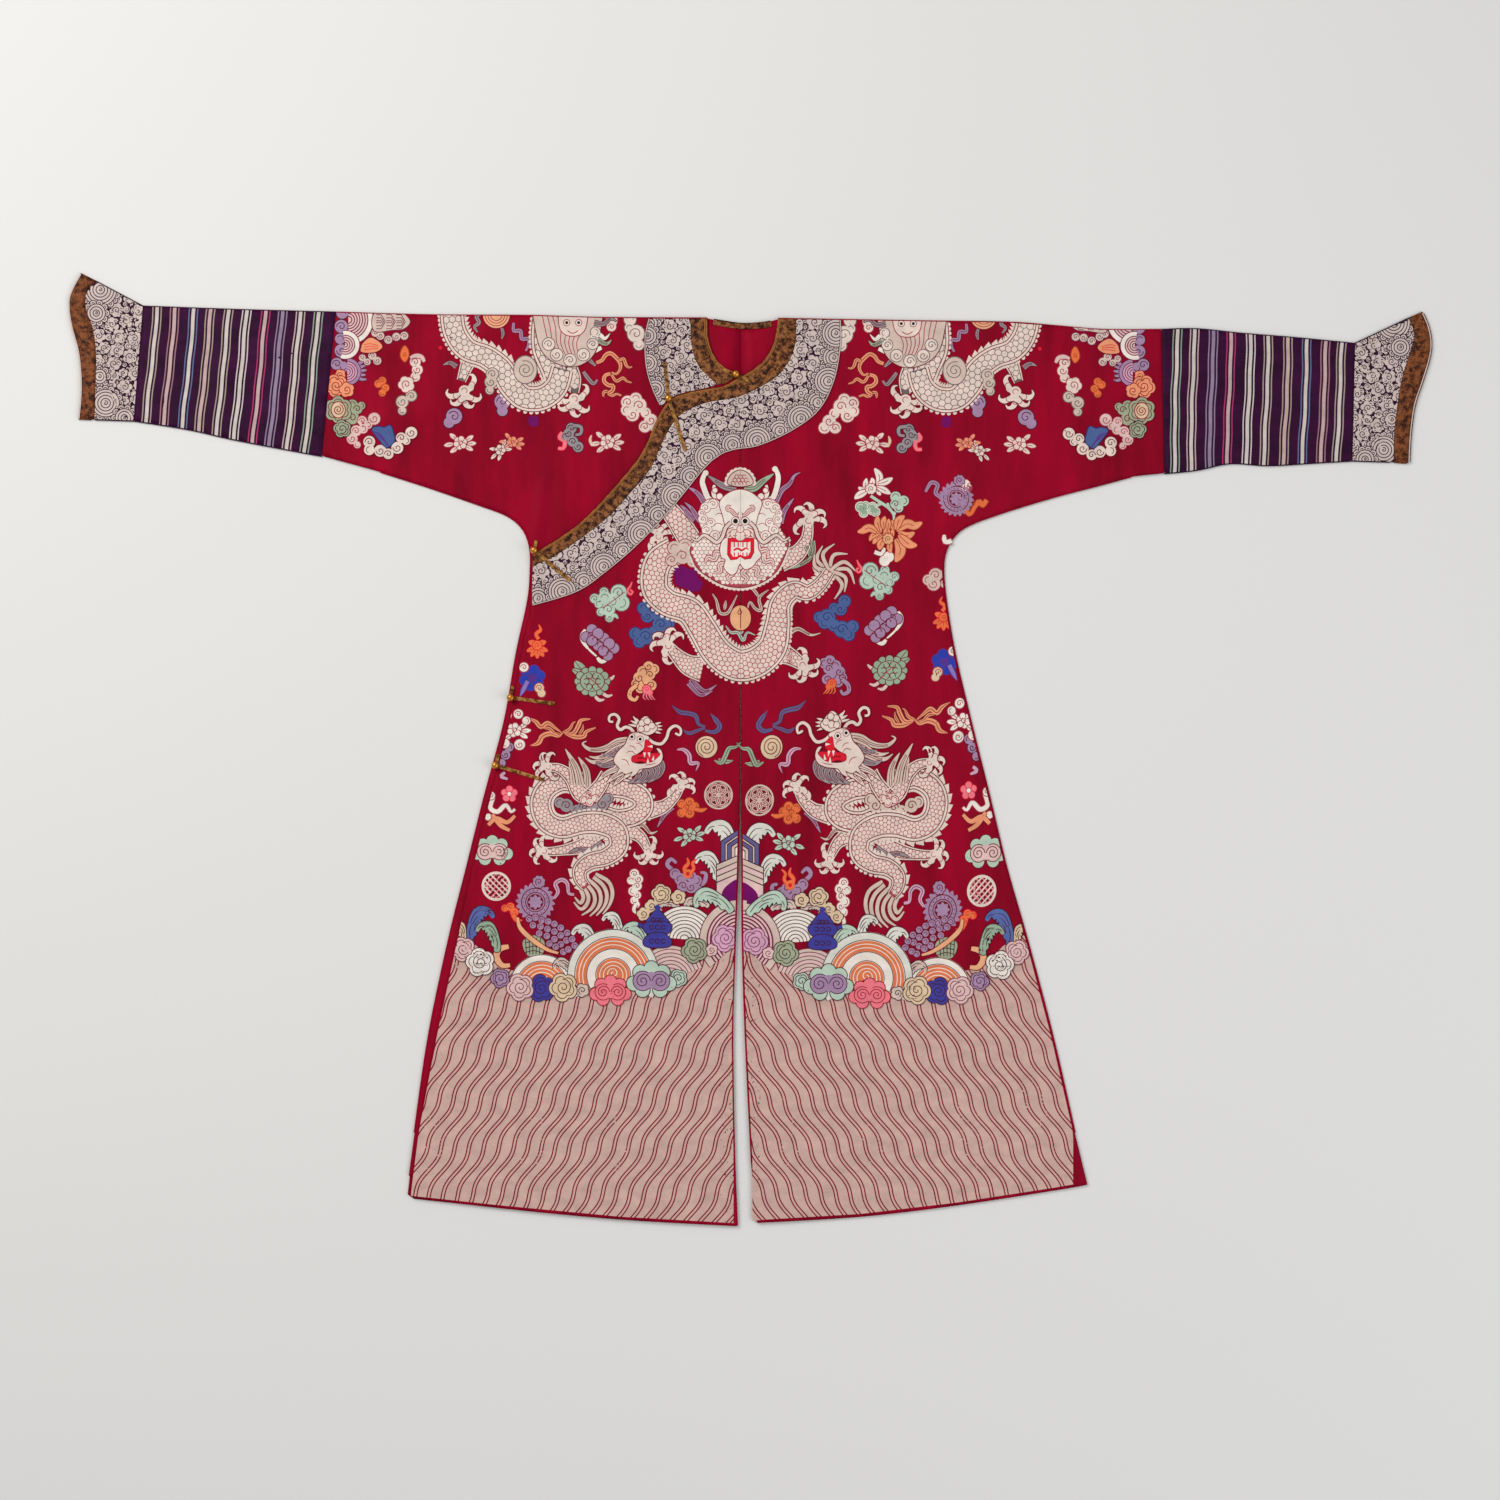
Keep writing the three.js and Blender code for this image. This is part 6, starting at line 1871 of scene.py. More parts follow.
def chest_motifs(side):
    """Small motifs of the chest, left half."""
    px = CHEST_PX
    seats = {name: left if side == "left" else (2 * MIDDLE_PX - right[0], right[1] - 1)
             for name, (left, right) in CHEST_PLACES.items()}
    with placed(*px["collar_cloud"], 15, 1.1):
        lobes([(-18, 10, 8, 0), (-2, 22, 8, 0), (-14, 20, 9, 1), (-12, 2, 9, -1), (0, 12, 10, 1),
               (6, 0, 7, 0), (10, -12, 9, -1), (0, -18, 8, 1), (14, -22, 8, 0)], "cream", "rose_line")
    with placed(*px["sprig"], 0, 0.95):
        sprig("cream")
    with placed(*px["pale_sprig"], 35, 0.75):
        sprig("cream", "wine")
    with placed(*px["orange_sprig"], -10, 0.75):
        sprig("orange_cloth", "rose_line")
    with placed(*px["grey_cloud"]):
        lobes([(0, 16, 8, 1), (-9, 4, 7, 0), (-4, 8, 8, -1), (2, -4, 8, 1), (10, -12, 8, -1)], "grey",
              "ink")
        tail([(2, 20), (14, 18), (14, 8), (6, 6)], 5, "grey", "ink", 4, (1, 0.7))
        tail([(-14, 10), (-18, 2), (-10, -4), (-12, -14), (-20, -14)], 5.5, "pink", "red", 0,
             (0.7, 0.7))
    with placed(*px["inner_sprig"]):
        sprig("cream")
        tail([(-22, -6), (-26, 2), (-24, 10)], 4, "sand", "rose_line", 0, (0.8, 0.4))
    outlined(spots(px["stone"]), "purple", "purple")
    with placed(*seats["cloud"]):
        lobes([(-12, 28, 9, 0), (-6, 16, 9, -1), (4, 18, 7, 0), (-18, -22, 9, 0), (-24, -10, 9, 0),
               (-8, -14, 12, 1), (4, -8, 9, 0), (18, -4, 9, 0), (26, 4, 8, 0), (14, 4, 12, 1)],
              "steel", "navy_line")
    with placed(*seats["mint"]):
        tail([(34, 27), (31, 20), (27, 14), (31, 8), (35, 12), (31, 15)], 2.6, "pink", "red", 0,
             (0.4, 0.8))
        tail([(0, -27), (8, -23), (13, -28)], 5.5, "mint", "moss_line", 0, (1, 0.3))
        lobes([(-8, 12, 6.5, 0), (-22, 2, 7, 1), (-13, -18, 6, 0), (0, -27, 6, -1), (-16, -6, 6, 0),
               (-1.5, -14, 10, 1), (-7, 3, 10, 0), (18, -4.5, 12, 0), (14, 11, 12, 1),
               (4, -2, 11, 0)], "mint", "moss_line")
        stroke([(23, 12), (10, 2), (-10, -12)], LINE, "rose_line", 4)
    with placed(*seats["peony"]):
        peony("lilac", "pale")
    with placed(*seats["medallion"]):
        medallion("green", "pink_white")
    with placed(*seats["bat"]):
        bat(*(("peach", "pink") if side == "left" else ("lilac", "orange")))
    with placed(*seats["flame"]):
        flame_flower("orange")
    with placed(*seats["royal"], 0, 1.15):
        flower("royal", "violet", 6, 16, "violet")
        tail([(-6, -4), (-12, -16), (-16, -24)], 5, "lilac_blue", "violet", 5)
        lobes([(-11, 14, 6, 1)], "pale", "rose_line", 2)
        lobes([(12, -20, 5, 0), (9, -13, 6, 1)], "sand", "rose_line", 4)


# Motifs of the upper skirt, in photo pixels
SKIRT_PX = {
    "streamer_left": (558, 730),
    "streamer_right": (558, 725),
    "blue_streamer": (702, 727),
    "swirl": (706, 746),
    "knot": (718, 794),
    "orange_cloud": (689, 808),
    "mint_sprig": (689, 834),
    "pale_sprig": (514, 729),
    "lilac_curl": (506, 754),
    "pink_flower": (509, 793),
    "pale_curl": (500, 812),
    "mint_twin": (492, 850),
    "roundel": (496, 885),
    "wheel": (535, 901),
    "pink_ribbon": (559, 888),
    "orange_flame": (510, 911),
    "scroll": (634, 890),
    "lilac_cloud": (684, 878),
}


def skirt_motifs(side):
    """Motifs of the upper skirt, left half."""
    px = SKIRT_PX
    skirt_dragon("grey" if side == "left" else "bone")
    with placed(*px["streamer_" + side]):
        streamer("orange_cloth")
    with placed(*px["blue_streamer"]):
        blue_streamer("slate")
    with placed(*px["swirl"]):
        swirl("sand",
              [([(-44, -4), (-34, -4), (-26, -12), (-24, -24), (-12, -24), (-16, -36)], "pink_lilac"),
               ([(12, -20), (22, -24), (28, -14), (34, -2), (44, 0), (52, 8)], "green"),
               ([(18, -18), (30, -22), (40, -20)], "green")])
    with placed(*px["knot"]):
        knot()
    with placed(*px["orange_cloud"]):
        lobes([(-12, 8, 6, 0), (-12, -6, 6, 0), (0, 10, 7, -1), (8, 4, 6, 0), (0, -6, 7, 1),
               (-4, 2, 7, 1)], "orange", "rust")
        tail([(8, 0), (18, -2), (26, 1)], 5, "orange", "rust", 4, (1, 0.3))
    with placed(*px["mint_sprig"], 10, 0.95):
        sprig("mint", "wine")
    with placed(*px["pale_sprig"]):
        sprig("pale", "rose_line")
        lobes([(-10, 22, 6, 0), (6, 24, 7, 1), (18, 14, 6, 0), (-14, -20, 7, 0), (8, -22, 8, -1)],
              "pale", "rose_line", 8)
    with placed(*px["lilac_curl"]):
        lobes([(4, 12, 7, 0), (-1, 0, 7, -1), (-7, -12, 6, 0)], "lilac", "ink")
        tail([(-2, -26), (-8, -32), (2, -36)], 5, "pink_lilac", "wine", 0, (0.8, 0.6))
    with placed(*px["pink_flower"]):
        flower("pink", "pale", 5, 12, "red")
    with placed(*px["pale_curl"]):
        tail([(-10, 24), (-15, 8), (-4, 2), (8, 12), (16, 2), (22, 6)], 6.5, "pale", "rose_line", 0,
             (0.8, 0.5))
        lobes([(-14, 26, 6, 1), (-18, -6, 5, 0)], "pale", "rose_line", 3)
        for points in ([(-18, -18), (-6, -8), (10, -14), (22, -4)], [(-12, -2), (0, -18), (14, -26)]):
            tail(points, 6.5, "orange_cloth", "wine", 5, (0.8, 0.7))
    with placed(*px["mint_twin"]):
        twin("mint", "pink_white", 15, "wine")
    with placed(*px["roundel"]):
        roundel()
    with placed(*px["wheel"], 0, 1.05):
        wheel("lilac")
    with placed(*px["pink_ribbon"]):
        ribbon([(-8, -14), (-2, -4), (-6, 8), (4, 14), (12, 8), (14, -6), (22, -8)], 6, "pink_lilac",
               "wine", 0, (0.6, 0.6))
    with placed(*px["orange_flame"]):
        lobes([(-8, 6, 5, 0), (0, 8, 6, 1), (6, 0, 6, -1)], "orange", "red")
        tail([(4, -4), (10, -12), (18, -12)], 6, "orange", "red", 4)
    with placed(*px["scroll"]):
        scroll("pale")
    with placed(*px["lilac_cloud"]):
        tail([(-18, 14), (-26, 22), (-20, 30), (-12, 24)], 6, "lilac", "wine", 0, (1, 0.6))
        tail([(22, -10), (30, -4), (32, 8), (24, 10)], 6, "lilac", "wine", 0, (1, 0.6))
        lobes([(-14, 8, 8, 0), (18, -2, 8, 0), (-6, 0, 9, 0), (10, 4, 8, 1), (-2, -10, 9, 1),
               (10, -12, 9, -1), (20, -16, 7, 0)], "lilac", "wine", 2)
        with local(4, 12, lift=14):
            tail([(0, -6), (-4, 4), (2, 12), (0, 20)], 5, "orange", "red", 0, (1, 0.3))
            tail([(4, -4), (10, 4), (8, 12), (14, 18)], 4, "orange", "red", 0, (1, 0.3))
            disc(1, -4, 7, "orange", 2, 14)
            disc(1, -4, 3, "red", 3, 10)


# Motifs just above the waves, in photo pixels
FOOT_PX = {
    "vase": (657, 926),
    "basket": (549, 938),
    "peach_curl": (503, 956),
}


def skirt_foot(side):
    """Motifs just above the waves, left half."""
    px = FOOT_PX
    with placed(*px["vase"], size=1.05, lift=52):
        vase()
    with placed(*px["basket"], size=0.95, lift=8):
        basket()
    with placed(*px["peach_curl"], lift=20):
        tail([(8, 16), (-6, 12), (-10, 0), (-2, -12), (10, -12)], 9, "peach", "wine", 0, (0.7, 0.6))


# Petals of the two flowers on the right of the chest: points in photo pixels, then a width in mm
ORANGE_PETALS = [([(896, 530), (906, 523), (914, 525), (921.5, 521.5)], 13),
                 ([(898, 531), (906, 535), (914, 531.5)], 10),
                 ([(898, 534), (908, 543), (916.5, 544.5)], 13),
                 ([(895, 538), (900, 549), (895, 561)], 15),
                 ([(890, 540), (889, 547), (890.5, 552)], 8),
                 ([(883, 538), (880, 543), (879, 549)], 10),
                 ([(882, 534), (876, 538), (872.5, 543)], 8),
                 ([(880, 532), (872, 535), (869, 540)], 7),
                 ([(877, 532), (869, 527), (862, 530), (857, 531)], 11),
                 ([(880, 532), (877, 522), (877, 515)], 10),
                 ([(884, 529), (883, 521), (884.5, 515.5)], 9),
                 ([(887, 529), (888, 523), (888, 518)], 7), ([(893, 530), (892, 524), (892, 519)], 7),
                 ([(896, 529), (898, 520), (904, 515)], 11), ([(884, 536), (885, 527)], 5),
                 ([(888, 536), (888, 527)], 5), ([(892, 536), (892, 528)], 5)]
WHITE_PETALS = [
    ([(877, 485), (879, 476), (874, 467.5)], 10), ([(877, 483), (885, 481), (892, 477)], 9),
    ([(876, 486), (883, 489), (890, 493)], 9), ([(876, 488), (880, 494.5)], 6),
    ([(864, 488), (865, 482), (866, 477.5)], 7), ([(869, 486), (872, 481), (871, 477)], 8),
    ([(865, 489), (860, 488), (858, 486)], 6), ([(867, 490), (859, 494), (854, 498)], 10),
]


# Motifs of the right chest, in photo pixels. Heads add a radius in mm and a spin.
RIGHT_CHEST_PX = {
    "stems": [[(870, 495), (879, 501), (888, 507), (893, 514), (893, 521)],
              [(893, 514), (896, 508), (897, 502)], [(882, 502), (876, 505), (872, 509), (867, 510)],
              [(888, 507), (887, 502)]],
    "mint_heads": [(895, 496, 8, 0), (895, 503, 8, 1), (903, 500, 8, 0), (898, 507, 7, 0)],
    "upper_leaf": [(860, 506, 7, 0), (863, 512, 6, 0), (865, 505, 6, 0)],
    "lower_leaf": [(872, 505, 5, 0), (875, 511, 6, 0), (871, 510, 5, 0)],
    "orange_heart": (887.5, 538),
    "white_heart": (870.5, 488),
    "petal_curl": [(884, 547), (881, 553), (874, 551)],
    "petal_heads": [(884, 560, 8, 0), (888, 556, 8, 0)],
    "wheel": (955.5, 498),
    "wheel_ribbon": [(940, 496), (935, 492), (937, 484), (931, 481.5), (927.5, 486), (925, 491)],
    "wheel_flame": [(966, 509), (969, 513), (974, 505), (979, 501), (982, 504.5), (986, 499)],
    "wheel_heads": [(964, 484, 8, 0), (967, 487, 6, 1)],
    "bone_heads": [(927.5, 579, 8, 0), (935, 574, 10, 1), (933, 583, 10, -1), (943, 573, 6, 0),
                   (944, 583, 6, 1)],
    "small_curl": [(943.5, 534), (944.5, 541), (951, 540)],
}


def right_chest_motifs():
    """Motifs that only the right half has."""
    px = RIGHT_CHEST_PX
    for points in px["stems"]:
        tail(spots(points), 4.5, "mint", "wine", 0, (1, 0.6))
    chain(px["mint_heads"], "mint", "wine", 2)
    chain(px["upper_leaf"], "green", "pale", 2)
    chain(px["lower_leaf"], "green", "pale", 2)
    for petals, tint, line in ((ORANGE_PETALS, "orange_cloth", "rust"),
                               (WHITE_PETALS, "pale", "rose_line")):
        for k, (points, width) in enumerate(petals):
            leaf(spots(points), width, tint, line, 5 + 2 * (k % 3))
    rosette_at(*spot(*px["orange_heart"]), 8, "peach", "rust", 12)
    rosette_at(*spot(*px["white_heart"]), 8, "pale", "rose_line", 12)
    tail(spots(px["petal_curl"]), 6, "pale", "wine", 2, (0.5, 1))
    chain(px["petal_heads"], "pale", "rose_line", 4)
    with placed(*px["wheel"], 0, 0.95):
        wheel("lilac")
    ribbon(spots(px["wheel_ribbon"]), 6, "lilac", "wine", 0, (1, 0.6))
    tail(spots(px["wheel_flame"]), 7.5, "orange", "rust", 0, (1, 0.8))
    chain(px["wheel_heads"], "pale", "rose_line")
    chain(px["bone_heads"], "bone", "rose_line")
    tail(spots(px["small_curl"]), 6.5, "pale", "rose_line", 0, (0.6, 1))


def both_shoulders(side):
    shoulder_dragon()
    fan_cluster()
    neck_flames()


art = Drawing()
water()
mirrored(rocks, down=3)
mirrored(skirt_motifs, down=2.2, tall=1.095, lean=0.041, across=3.0)
mirrored(skirt_foot, down=2)
mirrored(both_shoulders, down=1)
mirrored(chest_motifs, down=1)
right_chest_motifs()
main_dragon()


# Laying the inlays on the cloth


def split_long(tris, tints, levels, longest):
    """Halves the longest edge of each large triangle until all are small."""
    for _ in range(24):
        a, b, c = tris[:, 0], tris[:, 1], tris[:, 2]
        edge = np.stack([np.hypot(*(b - a).T), np.hypot(*(c - b).T), np.hypot(*(a - c).T)], 1)
        big = edge.max(axis=1) > longest
        if not big.any():
            break
        t, k = tris[big], edge[big].argmax(axis=1)
        rows = np.arange(len(t))
        p, q, r = t[rows, k], t[rows, (k + 1) % 3], t[rows, (k + 2) % 3]
        m = (p + q) / 2
        halves = np.concatenate([np.stack([p, m, r], 1), np.stack([m, q, r], 1)])
        tris = np.concatenate([tris[~big], halves])
        tints = np.concatenate([tints[~big], tints[big], tints[big]])
        levels = np.concatenate([levels[~big], levels[big], levels[big]])
    return tris, tints, levels


def cut(tris, tints, levels, depth):
    """Keeps the part of each triangle where depth(x, y) is above 0."""
    d = depth(tris[..., 0], tris[..., 1])
    inside_count = (d > 0).sum(axis=1)
    out = [(tris[inside_count == 3], tints[inside_count == 3], levels[inside_count == 3])]
    for count in (1, 2):
        rows = np.where(inside_count == count)[0]
        if not len(rows):
            continue
        t, dd = tris[rows], d[rows]
        odd = (dd > 0).argmax(axis=1) if count == 1 else (dd <= 0).argmax(axis=1)
        n = np.arange(len(rows))
        p, q, r = t[n, odd], t[n, (odd + 1) % 3], t[n, (odd + 2) % 3]
        dp, dq, dr = dd[n, odd], dd[n, (odd + 1) % 3], dd[n, (odd + 2) % 3]
        pq = p + (q - p) * (dp / (dp - dq))[:, None]
        pr = p + (r - p) * (dp / (dp - dr))[:, None]
        parts = [(p, pq, pr)] if count == 1 else [(pq, q, r), (pq, r, pr)]
        for part in parts:
            out.append((np.stack(part, 1), tints[rows], levels[rows]))
    return tuple(np.concatenate(x) for x in zip(*out))


def depth_in(outline, margin=0.0):
    """How far inside an outline a place is, less a margin."""
    a = np.asarray(outline, float)
    a = a[np.r_[True, np.hypot(*np.diff(a, axis=0).T) > 0.01]]
    edge = np.roll(a, -1, axis=0) - a
    long = (edge**2).sum(axis=1)
    lo, hi = a.min(axis=0), a.max(axis=0)

    def depth(x, y):
        p = np.c_[x.ravel(), y.ravel()]
        out = np.full(len(p), -99.0)
        near = np.where(((p > lo - 30) & (p < hi + 30)).all(axis=1))[0]
        for rows in np.array_split(near, len(near) // 4000 + 1):
            if len(rows):
                to = p[rows, None] - a
                t = np.clip((to * edge).sum(axis=2) / long, 0, 1)
                d = np.hypot(*np.moveaxis(to - t[..., None] * edge, 2, 0)).min(axis=1)
                out[rows] = np.where(inside(p[rows], a), d, -d)
        return out.reshape(x.shape) - margin

    return depth


def lay(name, drawing, surface, cuts, on):
    """Lays a drawing on a surface, cut to a panel."""
    tris, tints, levels = (np.concatenate(x) for x in (drawing.tris, drawing.tints, drawing.levels))
    tris, tints, levels = split_long(tris, tints, levels, COARSE_EDGE)
    for depth in cuts:
        tris, tints, levels = cut(tris, tints, levels, depth)
    tris, tints, levels = split_long(tris, tints, levels, LONGEST_EDGE)
    x, y = tris[..., 0], tris[..., 1]
    spread = (np.arange(len(tris)) * 0.618034) % 1 * INLAY_SPREAD
    z = surface(x, y) + INLAY_RISE + (levels * INLAY_STEP + spread)[:, None]
    used = np.unique(tints)
    b = Build(name)
    b.add(np.stack([x, y, z], -1).reshape(-1, 3), np.arange(len(tris) * 3).reshape(-1, 3))
    b.looks = [np.searchsorted(used, tints)]
    obj = b.finish([thread(TINT_NAMES[i]) for i in used], smooth_faces=False)
    laid_on.setdefault(on, []).append(obj)
    print(name, len(tris), "triangles")


def lay_on(panel, name, drawing, margin=0.3):
    outline, surface, slot = panels[panel]
    lay(name, drawing, surface, [depth_in(outline, margin)], panel)


THREADS = {}


def thread(name):
    if name not in THREADS:
        colour = TINTS[name]
        dim = tuple(c * 0.86 for c in colour)
        THREADS[name] = cloth_look("thread_" + name, colour, dim, 0.6, 0.05, 1.1, 0.3,
                                   drift_scale=(40, 60, 40))
    return THREADS[name]


def top_y(x):
    return rows_at(TOP_EDGE, x, 1)


def hem_y(x):
    return np.interp(x, *np.array(sorted({*RIGHT_HEM, *LEFT_HEM})).T)


def seam_y(x):
    """The collar's seam, and the end of the overlap's front edge beyond it."""
    return np.where(x > -328, np.interp(x, *np.array(sorted(COLLAR_LEFT_SEAM)).T), 270)


def vent_right(y):
    return rows_at(VENT, y, 1)


def vent_left(y):
    return rows_at(VENT, y, 2)


def right_slant(y):
    return np.interp(y, *np.array([RIGHT_SLEEVE_FOOT, RIGHT_SLEEVE_TOP]).T[::-1])


def left_slant(y):
    return np.interp(y, *np.array([LEFT_SLEEVE_FOOT, LEFT_SLEEVE_TOP]).T[::-1])


def overlap_edge(y):
    """The overlap's free side, with its last stretch down to the hem."""
    return np.where(y < -574, np.interp(y, [-668, -574], [-510, -498]), rows_at(SKIRT, y, 3))


def beside_vent(sign):
    """How far a place lies past the front centre: past the seam, and below it past the vent's edge."""
    edge = vent_left if sign > 0 else vent_right

    def depth(x, y):
        seam, vent = CENTRE_X + sign * CENTRE_MARGIN, edge(y) + sign * HEM_MARGIN * 0.6
        return sign * (x - np.where(y > VENT_TOP_Y, seam, vent))

    return depth


def below_top(x, y):
    return top_y(x) - TOP_MARGIN - y


def above_hem(x, y):
    return y - hem_y(x) - HEM_MARGIN


def in_left_side(x, y):
    return np.where(y < ARM_Y, rows_at(SKIRT, y, 2) - SIDE_MARGIN, 2000) - x


for part, side in (("chest", 1), ("skirt", -1)):
    lay("art_left_" + part, art, outer_top, [
        lambda x, y, side=side: side * (y - WAIST_Y) + 0 * x,
        beside_vent(1),
        lambda x, y: left_slant(y) - SLEEVE_MARGIN - x,
        below_top,
        in_left_side,
        above_hem,
    ], "body_left_cloth")
    lay("art_overlap_" + part, art, outer_top, [
        lambda x, y, side=side: side * (y - WAIST_Y) + 0 * x,
        beside_vent(-1),
        lambda x, y: seam_y(x) - y,
        lambda x, y: x - overlap_edge(y) - OVERLAP_MARGIN,
        above_hem,
    ], "overlap_cloth")
lay("art_right", art, inner_top, [
    lambda x, y: CENTRE_X - INNER_MARGIN - x,
    lambda x, y: y - seam_y(x) - COLLAR_MARGIN,
    lambda x, y: x - right_slant(y) - SLEEVE_MARGIN,
    below_top,
], "body_right_cloth")

# The collar, cuffs, sleeves and bindings


def wave_fan(r):
    """Rings of a wave with a row of foam heads round it."""
    count = int(2 * math.pi * r / 8) // 2 * 2
    for parity in (0, 1):
        for i in range(parity, count, 2):
            turn = 2 * math.pi * i / count
            x, y = r * math.cos(turn), r * math.sin(turn)
            ringed(x, y, 4.5, "collar_white", "collar_dark", 2 * parity, 12)
            with local(x, y, math.degrees(turn), lift=2 * parity + 2):
                arc(0, 0, 1.2, 2.4, "collar_dark", 0, -150, 100, 8)
    at = r - 2
    ringed(0, 0, at, "collar_white", "collar_dark", 4, 36)
    while at > 8:
        arc(0, 0, at - 4.2, at - 2.8, "collar_dark", 6, 0, 360, 32)
        at -= 4.7
    spiral(0, 0, max(at - 2, 2.5), "collar_dark", 7, 1.3, LINE)


def puff(r):
    """A cloud of several heads, each outlined, with spirals."""
    rows = [(0.62, 200, 0.44, 0), (0.62, 270, 0.40, 1), (0.60, 140, 0.42, 0), (0.55, 325, 0.42, 0),
            (0.60, 80, 0.44, -1), (0.60, 20, 0.46, 1)]
    for i, (far, way, size, spin) in enumerate(rows):
        x, y = r * far * math.cos(math.radians(way)), r * far * math.sin(math.radians(way))
        lev = 2 * (i % 2)
        ringed(x, y, r * size, "collar_white", "collar_dark", lev, 12, 0.9, 0.2)
        if spin and r > 8:
            arc(x, y, r * size * 0.3, r * size * 0.3 + 1.2, "collar_dark", lev + 2, way, way + 280, 8)
    disc(0, 0, r * 0.56, "collar_white", 4, 14)
    spiral(0, 0, r * 0.52, "collar_dark", 5, 1.5, LINE, 90)


def sky(outline, fans, radii=(12.5, 11, 9.5, 8)):
    """Packs wave fans, given as x, y, radius, and clouds over the rest of a panel."""
    depth = depth_in(outline)
    taken = [np.array(f) for f in fans]
    for k, (x, y, r) in enumerate(fans):
        with local(x, y, lift=10 + k % 2 * 8):
            wave_fan(r)
    lo, hi = outline.min(axis=0), outline.max(axis=0)
    for r in [*radii, 5.4, 3.6, 2.4]:
        tries = int((hi - lo).prod() / (r * r) * 9)
        spots_in = rng.uniform(lo, hi, (tries, 2))
        spots_in = spots_in[depth(spots_in[:, 0], spots_in[:, 1]) > -r * 0.4]
        for x, y in spots_in:
            known = np.array(taken) if taken else np.zeros((0, 3))
            far = np.hypot(known[:, 0] - x, known[:, 1] - y) if len(known) else np.array([99])
            need = (known[:, 2] + r * 0.92) if len(known) else 0
            if (far < need).any():
                continue
            taken.append(np.array([x, y, r * 0.92]))
            with local(x, y, rng.uniform(0, 360)):
                if r > 6:
                    puff(r)
                elif r > 3:
                    ringed(0, 0, r, "collar_white", "collar_dark", 0, 12, 0.6, 0.4)
                    spiral(0, 0, r * 0.7, "collar_dark", 2, 1.2, 1.1)
                else:
                    stroke([(-2.4, -1), (-0.6, 1.4), (0.8, -1), (2.6, 1)], 1.6, "collar_white", 0,
                           (0.7, 0.7), 1.2)


def along_edge(path, pitch, inset, radius, start=12):
    """Places along a path, on its left side: x, y, radius."""
    path = evenly(path, 2)
    side = sideways(path)
    run = np.arange(start, 2 * len(path) - start, pitch)
    out = []
    for k, s in enumerate(run):
        i = min(int(s / 2), len(path) - 1)
        out.append((*(path[i] + side[i] * inset), radius * (1 if k % 2 else 0.8)))
    return out


def edge_line(path, inset, width, tint):
    path = evenly(path, 3)
    band(path, inset, inset + width, tint, 30)


art = Drawing()
outline = panels["collar_left_cloth"][0]
edge = spline(COLLAR_LEFT_OUTER)[::-1]
sky(outline, along_edge(edge, 38, 8, 22))
edge_line(edge, 0.1, 1.3, "collar_white")
edge_line(edge, 1.4, 0.8, "collar_dark")
lay_on("collar_left_cloth", "collar_left_clouds", art, 0.1)

art = Drawing()
outline = panels["collar_right_cloth"][0]
edge = spline(COLLAR_RIGHT_OUTER)
sky(outline, along_edge(edge, 21, 4, 15, 6), (11, 9.5, 8))
edge_line(edge, 0.1, 1.3, "collar_white")
edge_line(edge, 1.4, 0.8, "collar_dark")
lay_on("collar_right_cloth", "collar_right_clouds", art, 0.1)

for side, fans in (
    ("right", [(-974, 690, 26), (-980, 655, 15), (-966, 520, 22), (-938, 498, 15), (-975, 560, 12)]),
    ("left", [(965, 640, 26), (975, 604, 15), (950, 450, 22), (922, 436, 15), (962, 495, 12)]),
):
    art = Drawing()
    sky(panels[f"cuff_{side}_cloth"][0], fans, (11, 9.5, 8, 7))
    lay_on(f"cuff_{side}_cloth", f"cuff_{side}_clouds", art, 0.2)

art = Drawing()
edge_line(spline(COLLAR_LEFT_INNER), 1.0, 1.1, "gold_line")
edge_line(spline(COLLAR_LEFT_INNER), 3.0, 0.8, "gold_line")
lay_on("binding_left_cloth", "binding_left_piping", art, 0.1)
art = Drawing()
edge_line(spline(COLLAR_RIGHT_INNER), -2.6, 1.3, "gold_line")
edge_line(spline(COLLAR_RIGHT_INNER), -5.0, 0.9, "gold_line")
lay_on("binding_right_cloth", "binding_right_piping", art, 0.1)
for side, mouth in (("right", RIGHT_MOUTH), ("left", LEFT_MOUTH)):
    art = Drawing()
    edge_line(spline(mouth), 0.3 if side == "right" else -1.9, 1.6, "collar_white")
    lay_on(f"cuff_trim_{side}_cloth", f"cuff_trim_{side}_line", art, 0.1)

# Bundles of stripes across a sleeve: pixel at the top fold, edge colour and middle colour
RIGHT_STRIPES = [
    (157, "stripe_cream", "stripe_white"), (175, "stripe_pink", "stripe_rose"),
    (194, "stripe_blue", "stripe_white"), (211, "stripe_cream", "stripe_rose"),
    (229, "stripe_cream", "stripe_white"), (247, "stripe_white", "stripe_white"),
    (266, "stripe_magenta", "stripe_rose"), (283, "stripe_lilac", "stripe_lilac"),
    (301, "stripe_rose", "stripe_white"), (319, "stripe_green", "stripe_white"),
]
LEFT_STRIPES = [
    (1177, "stripe_green", "stripe_white"), (1194, "stripe_rose", "stripe_white"),
    (1213, "stripe_lilac", "stripe_lilac"), (1231, "stripe_magenta", "stripe_rose"),
    (1251, "stripe_white", "stripe_white"), (1269, "stripe_cream", "stripe_white"),
    (1289, "stripe_cream", "stripe_rose"), (1308, "stripe_blue", "stripe_white"),
    (1327, "stripe_pink", "stripe_rose"), (1343, "stripe_cream", "stripe_white"),
]
